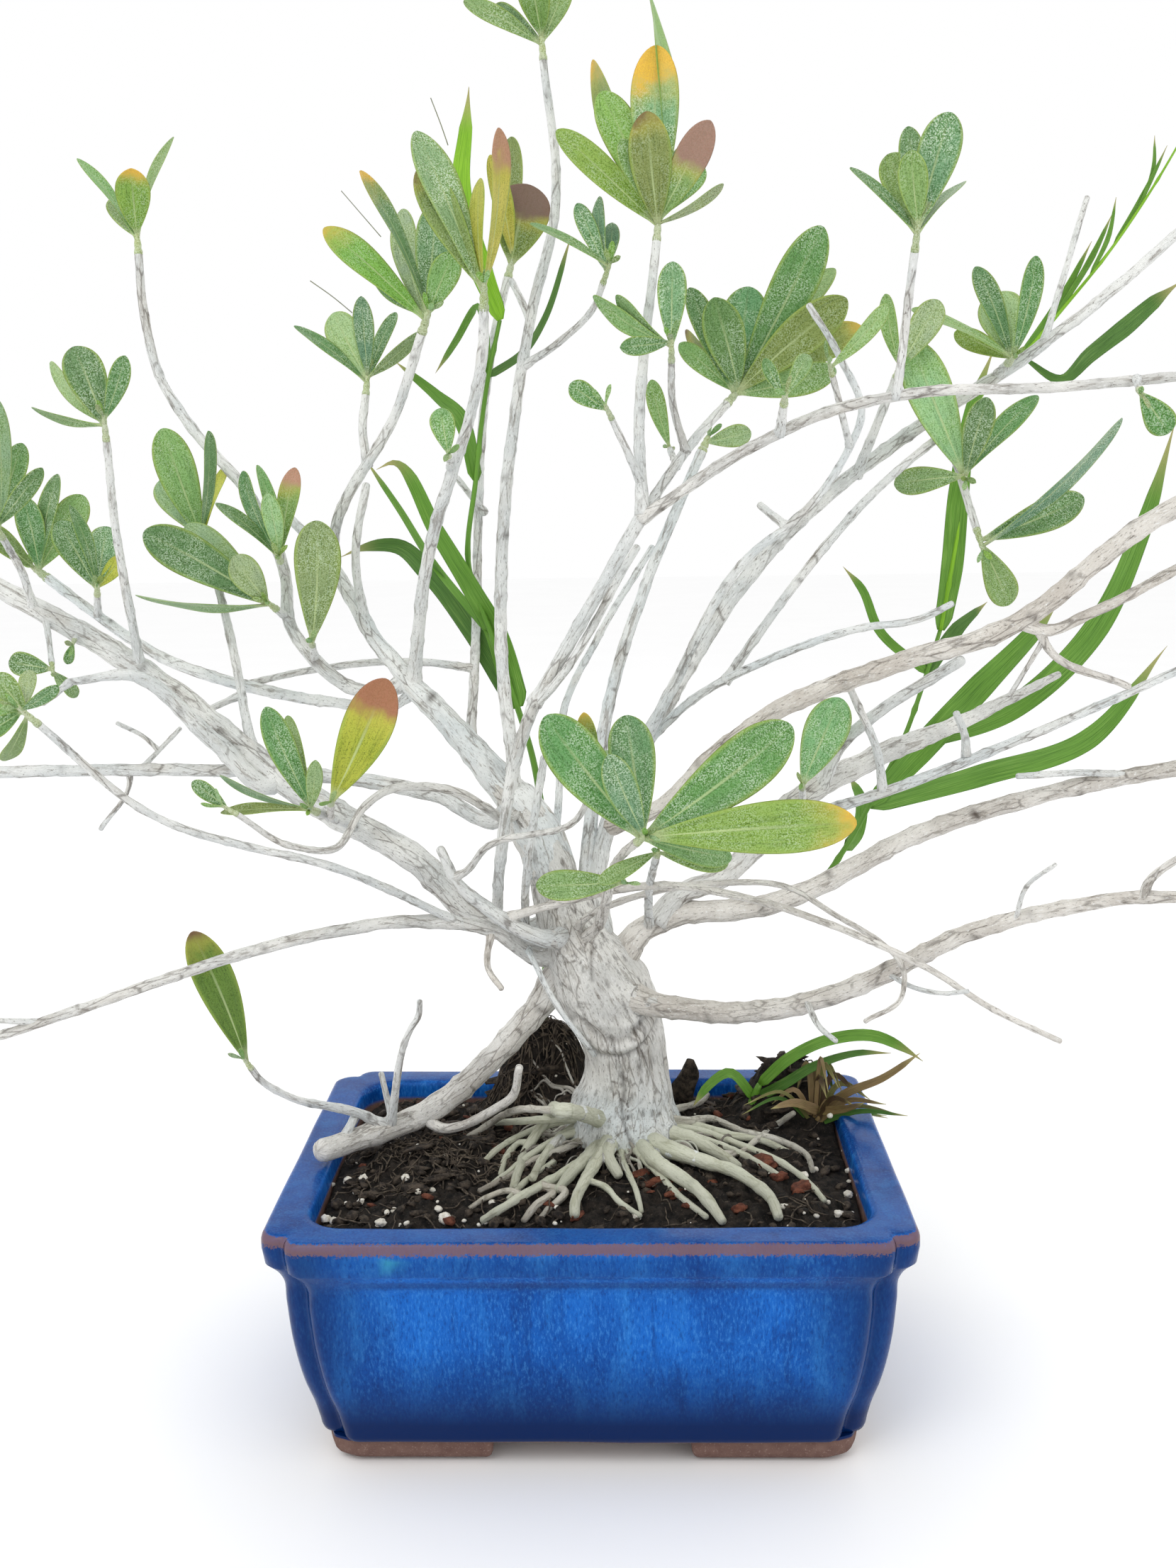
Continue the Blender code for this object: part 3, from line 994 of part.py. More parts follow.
# weeds in the pot
def ribbon(name, marks, widths, near, far, grow=0.0, thick=1.0):
    """One grass blade: a long thin closed blade along ruler marks, its depth going from near
    to far, narrowing to a point."""
    count = len(marks)
    centres = [seen(a, u, near + (far - near) * k / (count - 1)) for k, (a, u) in enumerate(marks)]
    shape = bmesh.new()
    rings = []
    for k in range(count - 1):
        along = (centres[k + 1] - centres[max(0, k - 1)]).normalized()
        toward = (EYE - centres[k]).normalized()
        side = along.cross(toward).normalized()
        # turned a little away from the eye, so a blade is no flat card
        turn = math.radians(28 * math.sin(0.9 * k + len(marks)))
        face = side.cross(along).normalized()
        side, face = (side * math.cos(turn) + face * math.sin(turn),
                      face * math.cos(turn) - side * math.sin(turn))
        part = k / (count - 1) * (len(widths) - 1)
        i = min(len(widths) - 2, int(part))
        half = (widths[i] + (widths[i + 1] - widths[i]) * (part - i)) / 2 + grow
        body = min(thick / 2, half) + grow
        fold = face * half * 0.3
        rings.append([shape.verts.new(centres[k] - side * half + fold),
                      shape.verts.new(centres[k] - face * body),
                      shape.verts.new(centres[k] + side * half + fold),
                      shape.verts.new(centres[k] + face * body)])
    end = shape.verts.new(centres[-1])
    for low, high in zip(rings, rings[1:]):
        for i in range(4):
            j = (i + 1) % 4
            if i in (0, 2):
                shape.faces.new((low[i], low[j], high[i]))
                shape.faces.new((low[j], high[j], high[i]))
            else:
                shape.faces.new((low[i], low[j], high[j]))
                shape.faces.new((low[i], high[j], high[i]))
    for i in range(4):
        shape.faces.new((rings[-1][i], rings[-1][(i + 1) % 4], end))
    shape.faces.new(list(reversed(rings[0])))
    bmesh.ops.triangulate(shape, faces=[f for f in shape.faces if len(f.verts) > 3])
    return mesh_from(name, shape, CUTTERS)


# weed: (colour, culm marks with depth, culm width, blades as (marks, seen widths, tip's depth)).
# Each blade starts at the culm's mark nearest to its own first mark.
WEEDS = {
    "grass_left": (GRASS, [(-16.8, 124, 47), (-15, 150, 49), (-12, 175, 50), (-15, 200, 48),
                           (-18.5, 222, 44), (-23, 238, 38), (-31, 262, 32), (-38, 285, 28),
                           (-35, 312, 30), (-30, 345, 34), (-26, 362, 34)], 2.6, [
        ([(-24, 242), (-30, 265), (-36, 276), (-48, 296), (-62, 318), (-67, 316)],
         (9, 8, 5, 1.5), 12),
        ([(-26, 246), (-38, 265), (-52, 284), (-60, 291), (-72, 291), (-80, 288)],
         (7, 8, 5, 1.5), 66),
        ([(-32, 266), (-50, 286), (-60, 303), (-71, 320)], (3.4, 3, 1.5), 84),
        ([(-34, 312), (-40, 332), (-47, 339), (-60, 350)], (5, 6.5, 4, 1.5), 60),
        ([(-27, 358), (-32, 378), (-37, 402), (-35, 420), (-34, 432)], (4, 6, 4, 1.5), 44),
        ([(-29, 348), (-33, 366), (-40, 356), (-47, 346)], (3, 3, 1.5), 74),
        ([(-30, 342), (-19, 352), (-12, 362), (-3, 387)], (3, 3, 1.5), 70)]),
    "grass_right": (GRASS, [(6, 94, 47), (8, 124, 48), (12, 149, 49), (27, 164.5, 50),
                            (48, 168, 51), (65, 171, 54), (78, 178, 58), (86, 189, 63),
                            (94, 204, 72), (104, 224, 82), (112, 248, 90), (116, 262, 92)],
                    2.8, [
        ([(84, 186), (90, 195), (91, 206), (87, 214)], (5, 6, 1.5), 100),
        ([(96, 208), (110, 222), (130, 243), (146, 260), (155, 272)], (6, 9.5, 8, 1.5), 112),
        ([(115, 260), (119, 282), (121, 306), (125, 334), (131, 352)], (7, 9, 7, 1.5), 92),
        ([(112, 248), (121, 262), (131, 271)], (5, 6, 1.5), 110),
        ([(112, 246), (96, 262), (90, 276), (84, 283)], (4, 4, 1.5), 110),
        ([(104, 224), (140, 236), (167, 262), (180, 292), (189, 328)], (5, 7, 7, 1.5), 118),
        ([(98, 212), (130, 214), (166, 226), (190, 256)], (5, 7, 6, 1.5), 118)]),
    "grass_low": (GRASS, [(55.5, 93, 36), (56, 101, 36), (58, 106, 35)], 4, [
        ([(57, 104), (68, 115), (83, 122), (98, 123), (110, 117), (114, 114)],
         (4, 5, 4, 1.5), 20),
        ([(56, 101), (66, 106), (76, 112), (92, 117), (103, 117)], (4, 4, 3, 1.5), 12),
        ([(56, 103), (47, 110), (39, 104), (35, 98)], (4, 4, 1.5), 30)]),
    "grass_dead": (STRAW, [(78, 90, 30), (79, 96, 30), (81, 100, 29)], 3, [
        ([(79, 97), (88, 103), (100, 108), (113, 117)], (4, 3.4, 1.5), 18),
        ([(78, 95), (70, 99), (62, 97)], (4, 3.4, 1.5), 18),
        ([(80, 98), (87, 97), (94, 99)], (3.4, 3, 1.5), 8)]),
}


def weed(name, colour, culm, culm_width, blades):
    points = [seen(*m) for m in culm]
    radii = [culm_width * scale_at(m[2]) / 2 * (1 - 0.5 * k / (len(culm) - 1))
             for k, m in enumerate(culm)]
    parts = [tube(name, points, radii, 4)]
    for k, (marks, widths, tip_depth) in enumerate(blades):
        start = min(culm, key=lambda m: math.hypot(m[0] - marks[0][0], m[1] - marks[0][1]))
        marks = [start[:2]] + (marks[1:] if len(marks) > 2 else marks)
        placed = None
        for shift in TRIES + (65, -65, 80, -80):
            trial = ribbon("blade", marks, widths, start[2], tip_depth + shift, 0.45)
            fits = is_clear(trial, name)
            bpy.data.objects.remove(trial, do_unlink=True)
            if fits:
                placed = ribbon("blade", marks, widths, start[2], tip_depth + shift)
                break
        if placed:
            parts.append(placed)
    return joined(name, parts[0], parts[1:])


# the soil stands aside where a weed comes out of it
sockets = []
for name, (colour, culm, culm_width, blades) in WEEDS.items():
    points = [seen(*m) for m in culm[:2]]
    radius = culm_width * scale_at(culm[0][2]) / 2 + GAP + 0.1
    low = points[0] - (points[1] - points[0]).normalized() * (GAP + 0.1)
    sockets.append(tube(name + "_socket", [low, points[1]], [radius, radius], 4))
joined("soil", soil, sockets, "DIFFERENCE")
tidy(soil)
largest_part(soil)
OBSTACLES[1] = ("soil", tree_of(soil))
for name, (colour, culm, culm_width, blades) in WEEDS.items():
    body = weed(name, colour, culm, culm_width, blades)
    tidy(body)
    OBSTACLES.append((name, tree_of(body)))
    leaf_nodes.append((name, body, colour))

# finished pieces
screens = [(name, drain_screen(side)) for name, side in (("drain_screen_left", -1),
                                                         ("drain_screen_right", 1))]
finish(pot, "pot", GLAZE)
for name, piece in screens:
    finish(piece, name, PLASTIC)
finish(soil, "soil", SOIL, 60)
finish(wood, "tree_wood", BARK, 60)
for name, piece, look in leaf_nodes:
    finish(piece, name, look, 50)
for spare in list(CUTTERS.objects):
    bpy.data.objects.remove(spare, do_unlink=True)
bpy.data.collections.remove(CUTTERS)
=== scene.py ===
"""The looks of the olive bonsai in its glazed pot.

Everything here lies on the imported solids. The layout tables repeat the part's own named values,
and each leaf is put where its solid leaf was found. Lengths are millimetres until a mesh is made.
A layout mark (across, up, depth) is read on the upright ruler plane y = 0, seen from EYE, and
depth is how far behind that plane the point really lies.
"""
import math
import random

import bmesh
import bpy
import numpy as np
from mathutils import Matrix, Vector, noise


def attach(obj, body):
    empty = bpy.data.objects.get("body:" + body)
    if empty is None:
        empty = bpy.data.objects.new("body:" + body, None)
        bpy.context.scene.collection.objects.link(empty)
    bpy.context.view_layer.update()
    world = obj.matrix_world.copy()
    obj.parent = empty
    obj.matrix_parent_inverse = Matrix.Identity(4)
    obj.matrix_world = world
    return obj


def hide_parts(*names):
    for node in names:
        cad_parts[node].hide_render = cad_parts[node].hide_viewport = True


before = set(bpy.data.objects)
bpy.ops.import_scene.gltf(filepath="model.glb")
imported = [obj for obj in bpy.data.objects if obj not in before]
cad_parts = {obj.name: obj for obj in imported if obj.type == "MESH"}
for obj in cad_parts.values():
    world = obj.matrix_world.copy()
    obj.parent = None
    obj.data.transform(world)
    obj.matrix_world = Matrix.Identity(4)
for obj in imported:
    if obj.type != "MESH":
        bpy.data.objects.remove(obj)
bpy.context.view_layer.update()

MM = 0.001

# the photograph's camera
PHOTO_WIDE, PHOTO_HIGH = 1659, 2212
FOCAL_PIXELS = 2218.0
SENSOR = 36.0
PITCH, YAW, ROLL = 10.14, 1.33, -0.76

# the part's own values: the pot is an 8 by 6 inch rectangle 3 1/4 inches high
POT_WIDTH = 204.0
POT_DEPTH = 150.0
POT_HEIGHT = 84.0
RIM_RING = 13.0        # width of the flat ring on top
NOTCH_LONG = 8.6       # how far the corner notches reach along the long sides
NOTCH_DEEP = 5.6       # and how far they are set back
WALL_FACE = 13.8       # inset of the inner wall just under the rim
IN_CORNER = 14.0       # radius of the inner corners
FOOT_HEIGHT = 8.0
FLOOR_TOP = 15.0
DRAIN_HOLE = 7.0       # radius
DRAIN_AT = 44.0        # distance of each hole from the middle
SOIL_EDGE = 75.0       # height of the soil at the wall
GAP = 0.35             # room left between pieces that touch
EYE = Vector((12.1, -517.5, 304.5))
ROOT_DEPTH = 14.0      # depth at which the roots begin, inside the foot of the trunk
SLACK, WIDTH_SLACK = 1.05, 0.7     # how far a mark may miss its neighbours' line and width
NEAR_PARENT = 2.0      # a limb's first mark this near to its parent's middle is dropped
ALONG_GRAIN = 0.3      # how much the bark's grain is drawn together along a limb
CLIP = 0.01, 20.0      # nearest and farthest that the camera shows, in metres


def placed(name, data):
    """A new object in the scene."""
    made = bpy.data.objects.new(name, data)
    bpy.context.scene.collection.objects.link(made)
    return made


def place_camera():
    pitch, yaw, roll = (math.radians(a) for a in (PITCH, YAW, ROLL))
    ahead = Vector((-math.sin(yaw) * math.cos(pitch), math.cos(yaw) * math.cos(pitch),
                    -math.sin(pitch)))
    level = Vector((math.cos(yaw), math.sin(yaw), 0.0))
    above = level.cross(ahead)
    right = level * math.cos(roll) + above * math.sin(roll)
    up = above * math.cos(roll) - level * math.sin(roll)
    pose = Matrix((right, up, -ahead)).transposed().to_4x4()
    pose.translation = EYE * MM
    data = bpy.data.cameras.new("photo_camera")
    data.sensor_width = SENSOR
    data.lens = SENSOR * FOCAL_PIXELS / max(PHOTO_WIDE, PHOTO_HIGH)
    data.clip_start, data.clip_end = CLIP
    camera = placed("photo_camera", data)
    camera.matrix_world = pose
    bpy.context.scene.camera = camera


place_camera()


def seen(across, up, depth):
    """The point at that depth which, from EYE, covers the ruler mark (across, up)."""
    mark = Vector((across, 0.0, up))
    return EYE + (mark - EYE) * ((depth - EYE.y) / -EYE.y)


def over(x, y, height, floor=80.0):
    """The point at that height which, from EYE, covers the point (x, y) of the level `floor`."""
    mark = Vector((x, y, floor))
    return EYE + (mark - EYE) * ((EYE.z - height) / (EYE.z - floor))


def scale_at(depth):
    return (depth - EYE.y) / -EYE.y


# layout, as in the part's source
# wall levels, from under the floor up the outside and down the inside: (inset, height)
OUTSIDE = [(16.4, FOOT_HEIGHT), (14.2, FOOT_HEIGHT + 1.3), (13.1, FOOT_HEIGHT + 5.6),
           (12.0, FOOT_HEIGHT + 11.0), (9.6, 28.0), (7.0, 43.0), (5.7, 58.0), (5.2, 65.5),
           (3.4, 69.6), (0.7, 73.2), (0.0, 76.6), (0.0, POT_HEIGHT - 1.6), (1.5, POT_HEIGHT)]
INSIDE = [(RIM_RING - 1.2, POT_HEIGHT), (RIM_RING, POT_HEIGHT - 1.6), (WALL_FACE, 72.0),
          (WALL_FACE + 2.0, 44.0), (WALL_FACE + 8.0, FLOOR_TOP + 4.0),
          (WALL_FACE + 12.0, FLOOR_TOP)]

# trunk and leader: (across, up, depth, seen width)
TRUNK = [(10.6, 74, 22, 44), (10.6, 88, 22, 44), (10.8, 96, 22, 39.5), (11.6, 103, 21.5, 33.5),
         (12.2, 111, 21, 30), (11.4, 120, 20, 28.5), (9, 130, 19, 30.5), (5, 139, 18, 32.5),
         (0, 148, 17, 30), (-5, 158, 17, 24), (-9.5, 170, 18, 18.5), (-12.5, 182, 19, 17)]
LEADER = [(-12.5, 182, 19, 17), (-16, 193, 20, 16), (-22, 204, 22, 14), (-31, 215, 24, 11),
          (-40, 226, 26, 9), (-49, 237, 28, 8), (-57, 245, 30, 7.2), (-63, 252.5, 33, 5.8),
          (-70, 262, 37, 5), (-76, 273, 41, 4.7), (-82, 284, 46, 4.4), (-88, 291.5, 50, 3.6),
          (-100, 305, 56, 2.4)]

# name: (springs from, seen widths from root to tip, depth at the tip, ruler marks). A mark with a
# third number fixes the depth there.
LIMBS = {
    # low limbs
    "low_right": ("trunk", (8, 6.5, 4), -104, [
        (11, 138), (20, 135.5, 4), (31, 133), (45, 132), (60, 132.5), (70, 135.2), (79, 139),
        (97.5, 145.5), (107, 148.8), (120, 156), (141, 163), (160, 168), (181, 171), (206, 171.5)]),
    "low_right_fork": ("low_right", (3, 2.4), -112, [(187, 173.5), (192, 177.5), (206, 191)]),
    "low_right_curl": ("low_right", (1.7, 1.5), -92, [
        (143.5, 164), (147.5, 176), (151.5, 180.5), (156.5, 183)]),
    "low_right_hanger": ("low_right", (2.2, 1.8), -48, [(74, 136), (78, 127), (84, 121.5)]),
    "low_right_link": ("low_right", (1.8, 1.6), -78, [
        (100, 146), (109.5, 140.7), (120, 138.3), (128.5, 139)]),
    "fallen": ("trunk", (8.5, 8.5, 8), -17, [
        (-10, 146), (-16, 137), (-33.7, 117), (-50.5, 101), (-58, 96.3, 12),
        (-72.7, 90.3, 3), (-80.4, 87, -3), (-88, 84.2, -10), (-94.5, 82.4)]),
    "fallen_stub": ("fallen", (3, 3), -2, [(-88, 84), (-82, 96)]),
    "fallen_leaf_twig": ("fallen", (3.8, 2.8, 2.2), -25, [
        (-72, 91), (-79, 95), (-91.5, 97.5), (-106, 102.7), (-115.5, 108.7), (-118.4, 113)]),
    "fallen_riser": ("fallen", (3, 2), -12, [
        (-71, 92), (-65.5, 113), (-62, 127), (-59.3, 131.5), (-58.8, 136.5)]),
    "fallen_spur": ("fallen", (2.2, 2), 6, [(-70, 93), (-72, 103), (-73, 110.5)]),
    "fallen_crook": ("fallen", (3.6, 2.8), -8, [
        (-57, 94), (-48, 95.5), (-32, 98.5), (-28, 101.5), (-26, 105.7), (-25, 112.5)]),
    "low_left": ("trunk", (5, 4.2, 3.3), -76, [
        (-15, 151.5), (-23, 157), (-34, 162), (-48, 164.5), (-67.5, 164.7), (-85, 162),
        (-112, 154.5), (-140, 146), (-173, 136.2), (-189, 130.5), (-209, 124)]),
    "low_left_fork": ("low_left", (2.2, 1.8), -84, [(-190, 130.3), (-205, 131.5), (-218, 131)]),
    "low_left_hanger": ("low_left", (2.4, 2), -10, [
        (-33, 162.5), (-34.8, 151.5), (-35, 148), (-30.5, 141)]),
    "air_root": ("low_left", (2, 1.8), 7, [
        (-20.5, 156), (-19.5, 151, -1), (-12, 135.5, -2), (-3, 122.5, 2), (1, 117)]),
    # left side
    "left": ("trunk", (9, 9.5, 5.6), 26, [
        (-20, 160), (-33, 163.5), (-46, 174), (-61, 188), (-80, 199.4), (-90, 205),
        (-110, 220), (-130, 237.5), (-150, 253), (-170, 266), (-190, 278), (-205, 286)]),
    "left_twin": ("left", (6.5, 5.5, 2.4), -4, [
        (-106, 214), (-124, 227), (-144, 244.5), (-151.5, 250), (-160, 249.3), (-172, 248)]),
    "left_twin_twig": ("left_twin", (2.2, 2), -12, [(-178, 244.5), (-181.5, 241)]),
    "left_front": ("trunk", (6, 5, 3), -8, [
        (-14.5, 158.5, 2), (-28.5, 166, -1), (-36, 170.5), (-44.5, 178.5), (-50, 190)]),
    "left_leaf_twig": ("left", (3.4, 2.8), -24, [(-78, 198), (-85, 201), (-91.5, 203.2)]),
    "left_drop": ("left", (2, 1.8), 8, [(-178, 271), (-178.6, 262), (-177.6, 254)]),
    "left_small": ("left", (2, 1.8), 18, [(-168, 265), (-169.5, 262)]),
    "left_edge_twig": ("left", (2.8, 2.4), -16, [(-182, 273), (-185, 284), (-191, 296)]),
    "left_riser": ("left", (3.2, 2.6), 48, [
        (-112, 222), (-115, 240), (-115.5, 248), (-118.5, 268), (-121, 280), (-124, 291)]),
    "left_riser_twig": ("left_riser", (2.4, 2), 30, [(-115, 243), (-127, 238)]),
    "left_stem": ("left", (3.2, 2.4), -14, [
        (-147.5, 252), (-149, 263), (-150, 275), (-153.5, 300), (-154.5, 327)]),
    "level_left": ("leader", (5.2, 4.2, 4), 44, [
        (-31, 200), (-50, 208), (-70, 212.6), (-90, 215.6), (-118, 217.2), (-145, 216.3),
        (-175, 217.2), (-208, 218)]),
    "level_twig": ("level_left", (1.8, 1.5), 52, [(-151, 218), (-143, 224), (-136, 232)]),
    "level_twig_fork": ("level_twig", (1.6, 1.4), 50, [(-143, 224), (-148, 229), (-157, 234)]),
    "level_hanger": ("level_left", (1.6, 1.6), 40, [(-154, 215), (-162, 203), (-165, 198)]),
    "bowed_left": ("leader", (3.3, 2.8, 2), -46, [
        (-28, 200, 8), (-35, 204.5, -2), (-42, 208.7), (-56, 211.5), (-68, 210), (-75, 205),
        (-83, 196), (-86, 190.5), (-92, 190), (-100, 191.3), (-113, 200), (-119, 203)]),
    "leaf_twig_centre_left": ("left_front", (2.5, 2.1), -52, [
        (-42, 182), (-35, 190), (-25, 194), (-3, 201), (0, 206.5)]),
    "thin_left": ("low_left", (3, 2.6), -92, [
        (-42, 165), (-54.5, 170.3), (-80, 181.5), (-100, 189), (-130, 198.2), (-150, 204),
        (-155.5, 207.5), (-168, 219.5), (-184, 234.3)]),
    # stems that rise over the left fork
    "front_riser": ("left", (3.6, 4.2), -18, [
        (-31, 166), (-30.3, 182, -2), (-28, 200), (-25, 213), (-22, 227), (-17.5, 239)]),
    "front_riser_twin": ("front_riser", (3, 2.6), -20, [
        (-15, 241, -20), (-5.5, 253.5), (9, 277), (17, 290)]),
    "front_riser_upper": ("front_riser", (4.2, 4.4), -34, [
        (-17.5, 239), (-11, 251), (-3, 264), (8, 282), (19, 300.5)]),
    "top_stem": ("front_riser_upper", (3.9, 2.6), -24, [
        (18, 301), (17.5, 312), (18, 325), (21.5, 352), (23.7, 379), (24, 386)]),
    "top_stem_twig": ("top_stem", (2.7, 2), -48, [(17.4, 311), (15.3, 319), (9, 331.5)]),
    "tuft_stem": ("front_riser_upper", (3.4, 2.9), -4, [
        (18, 300), (29, 314), (36, 324), (46.5, 335.5)]),
    "tuft_stem_twig": ("tuft_stem", (2.6, 2.2), -40, [(33, 320), (28.5, 338), (28.5, 349)]),
    "tuft_stem_spur": ("tuft_stem", (2.2, 2), 12, [(30, 315.5), (28, 321)]),
    "arch_right": ("front_riser_upper", (3.8, 3.2), -88, [
        (18.5, 299), (35, 309), (55, 322), (75, 331), (92, 334.5), (113, 338.2),
        (140, 338.5), (165, 341.3), (207, 343)]),
    "arch_stub": ("arch_right", (3, 2.7), -62, [(63, 326), (64.4, 335)]),
    "arch_riser": ("arch_right", (3, 2.5), -72, [(100, 336), (102, 352), (105, 381.5)]),
    "dark_knob": ("left", (2.9, 2.7), -8, [
        (-22, 161), (-21, 182, -7), (-17.7, 202), (-14.4, 221)]),
    "left_mid_stem": ("leader", (4.4, 3.2), -28, [
        (-57, 246), (-54.7, 266), (-52, 285), (-47, 297.5), (-41.8, 315.5), (-35.5, 340),
        (-31.3, 358), (-31, 366)]),
    "left_mid_spur": ("left_mid_stem", (2.2, 2), -28, [(-41.8, 316), (-43.5, 320)]),
    "back_stem": ("leader", (3.2, 2.6), 62, [
        (-39, 225), (-37.2, 250, 36), (-34.6, 278), (-33, 302), (-29.5, 335), (-27, 361),
        (-23, 375.5)]),
    "back_stem_link": ("back_stem", (2.2, 1.9), 26, [(-33.3, 302), (-41, 313)]),
    "back_level": ("back_stem", (2.6, 2.2), 62, [
        (-37.2, 251), (-50, 253), (-70, 252.3), (-95, 250.5), (-112, 247)]),
    "tall_stem": ("leader", (4.4, 3.8, 2.4), 14, [
        (-24, 208), (-25.3, 222, 14), (-28, 255), (-27, 289), (-24, 316), (-19.3, 343),
        (-16, 363), (-9.5, 388), (-7.7, 396), (-9.3, 416), (-10.8, 440)]),
    "tall_stem_fork": ("tall_stem", (2.3, 2), 24, [(-16.5, 362), (-20, 370.5), (-22, 374)]),
    "tall_stem_twig": ("tall_stem", (2.4, 2), -16, [
        (-18, 348), (-8, 354.5), (4.5, 366.5), (7, 373)]),
    "far_left_stem": ("leader", (4.8, 3.6, 2.6), 56, [
        (-59, 248), (-66, 244, 34), (-76, 244.3, 37), (-92, 257), (-97.5, 266), (-98, 281),
        (-105, 302), (-118, 320), (-130, 335.5), (-135, 344.5), (-140, 372), (-140.3, 384.5)]),
    "far_left_spur": ("far_left_stem", (2.6, 2.4), 30, [(-97.6, 268), (-102, 271.5)]),
    "far_left_spur_up": ("far_left_stem", (2.4, 2.2), 26, [(-98.5, 283), (-99.7, 287)]),
    "far_left_leaf_twig": ("far_left_stem", (2.4, 2.2), 22, [(-90, 255), (-90.4, 259.5)]),
    "left_upper_stem": ("leader", (3.7, 3), 12, [
        (-83, 286), (-80.5, 299), (-71, 315.5), (-60, 334), (-50.8, 359)]),
    "left_upper_fork": ("left_upper_stem", (2.8, 2.4), 40, [(-70, 317), (-71, 330), (-69.6, 340)]),
    "left_upper_twin": ("leader", (2.9, 2.6), 30, [
        (-73, 267), (-75, 288), (-73, 300), (-70.6, 311)]),
    "pale_back": ("leader", (3.2, 4, 3.2), 88, [
        (-57, 243), (-66, 238.5, 42), (-85, 240.3), (-115, 246.5), (-140, 255.5),
        (-158, 267.5), (-177, 282.5)]),
    "pale_back_spur": ("pale_back", (2.6, 2.2), 66, [(-161, 270), (-160.8, 277)]),
    # middle and right
    "pale_middle": ("trunk", (5.6, 4, 3), 46, [
        (-4, 155), (-3, 168), (0.5, 192), (4, 220), (9, 245), (20, 278), (31, 303),
        (38.5, 321)]),
    "pale_thin": ("trunk", (2.8, 2.1), 76, [
        (-12, 180), (-9, 218, 44), (-8, 235), (4, 261), (22, 290)]),
    "back_right": ("trunk", (6.5, 5, 2.8), 66, [
        (1, 156), (2.5, 180), (10, 207), (20, 227), (30, 240.5), (48, 268), (64, 292.5),
        (85, 310), (105, 325.7), (125, 339), (141, 348.5), (160, 362.5), (180, 380), (199, 396)]),
    "back_right_twin": ("back_right", (3.3, 2.8, 2), -36, [
        (17, 222), (27, 240.5, 16), (43, 268), (58, 290.5), (66, 296), (80, 313), (86, 322),
        (89, 330), (82, 349), (72, 365)]),
    "twin_stub": ("back_right_twin", (2.7, 2.5), 4, [(66, 295.5), (57, 303)]),
    "twin_twig": ("back_right_twin", (2.2, 2), -44, [(85.5, 321.5), (83, 334), (79.5, 344)]),
    "pale_arc": ("back_right", (3.1, 2.3), -26, [
        (19, 226), (35, 240, 20), (60, 253), (90, 263), (110, 266), (119.5, 270.5)]),
    "pale_arc_fork": ("pale_arc", (3.1, 2.6), 26, [
        (45, 246.5), (57, 262), (80, 289), (100, 312.5), (113, 323)]),
    "pale_leaf_stem": ("back_right", (3.2, 2.4), 22, [(88, 311.5), (92.5, 326), (100, 343)]),
    "beige_right": ("back_right", (5.4, 6.6, 6.4), -52, [
        (6, 198), (14, 199.5, 16), (24, 203.5), (41, 220), (60, 234.3), (80, 243.5),
        (100, 250.7), (120, 257), (140, 263), (160, 279), (180, 294.3), (204, 308)]),
    "beige_right_fork": ("beige_right", (3.8, 3.2), -36, [
        (142, 264), (150, 261.5), (165, 267), (200, 285.5)]),
    "beige_drop": ("beige_right_fork", (2.8, 2.4), -14, [
        (148, 262), (150.5, 257), (160, 252), (178, 242.8)]),
    "beige_drop_thin": ("beige_drop", (1.6, 1.6), -22, [(149, 258), (143, 248), (139.5, 240.5)]),
    "thick_back": ("rising_right", (6.6, 8.6, 2.2), 84, [
        (22, 165), (31, 174), (43.5, 179, 24), (50, 184), (63, 200), (75, 207.3), (95, 220),
        (120, 230), (155, 247)]),
    "thick_back_fork": ("thick_back", (4.2, 3.7), 16, [
        (77, 208.5), (86, 226), (93, 232.3), (115, 246.3), (123, 252)]),
    "thick_back_spur": ("thick_back", (2.4, 2.2), 28, [(72, 205), (71.5, 210)]),
    "pale_right": ("thick_back", (3.9, 2.7), 18, [
        (60, 197), (68, 199.8), (85, 203.7), (105, 211.3), (140, 224.2), (170, 237), (199, 250)]),
    "pale_right_link": ("pale_right", (2.9, 2.5), 18, [
        (98.5, 208.5), (96.5, 221), (92, 232), (86.8, 243.5)]),
    "pale_right_spur": ("pale_right", (2.7, 2.4), 32, [(126, 219), (125, 227), (122, 234.5)]),
    "leaf_hanger": ("back_right", (2.9, 2.4), 24, [
        (113, 331), (118, 320, 40), (121.5, 308), (127, 294)]),
    "leaf_hanger_spur": ("leaf_hanger", (2.4, 2.2), 26, [(119, 317), (121.5, 313)]),
    "tuft_spur_right": ("back_right", (2.8, 2.6), 40, [(132, 343), (135.3, 346.5)]),
    "dry_twig_right": ("back_right", (2.2, 1.8), 60, [(146.5, 352), (150, 368), (158, 396)]),
    "rising_right": ("trunk", (8, 6.4, 5), 36, [
        (8, 149), (18, 161.5), (26, 165.3), (46.5, 168), (60.5, 169.7), (76, 175.5),
        (93, 184.2), (110, 193.3), (130, 200.2), (160, 208.7), (180, 213), (206, 217)]),
    "rising_right_stub": ("rising_right", (2.4, 2.2), 24, [(182, 213.4), (172, 213.9), (143, 213.2)]),
    "centre_low_spur": ("leaf_twig_centre", (2.2, 2), -52, [(8, 181), (11.5, 178.5)]),
    "leaf_twig_centre": ("trunk", (3.8, 3), -66, [
        (0, 160), (4, 172, -22), (12, 188.5), (16.5, 192)]),
    "leaf_twig_centre_pale": ("rising_right", (3.1, 2.5), -50, [(20, 163), (20.5, 177), (23, 187.5)]),
    "right_sweep_thin": ("trunk", (2.5, 2, 1.7), -66, [
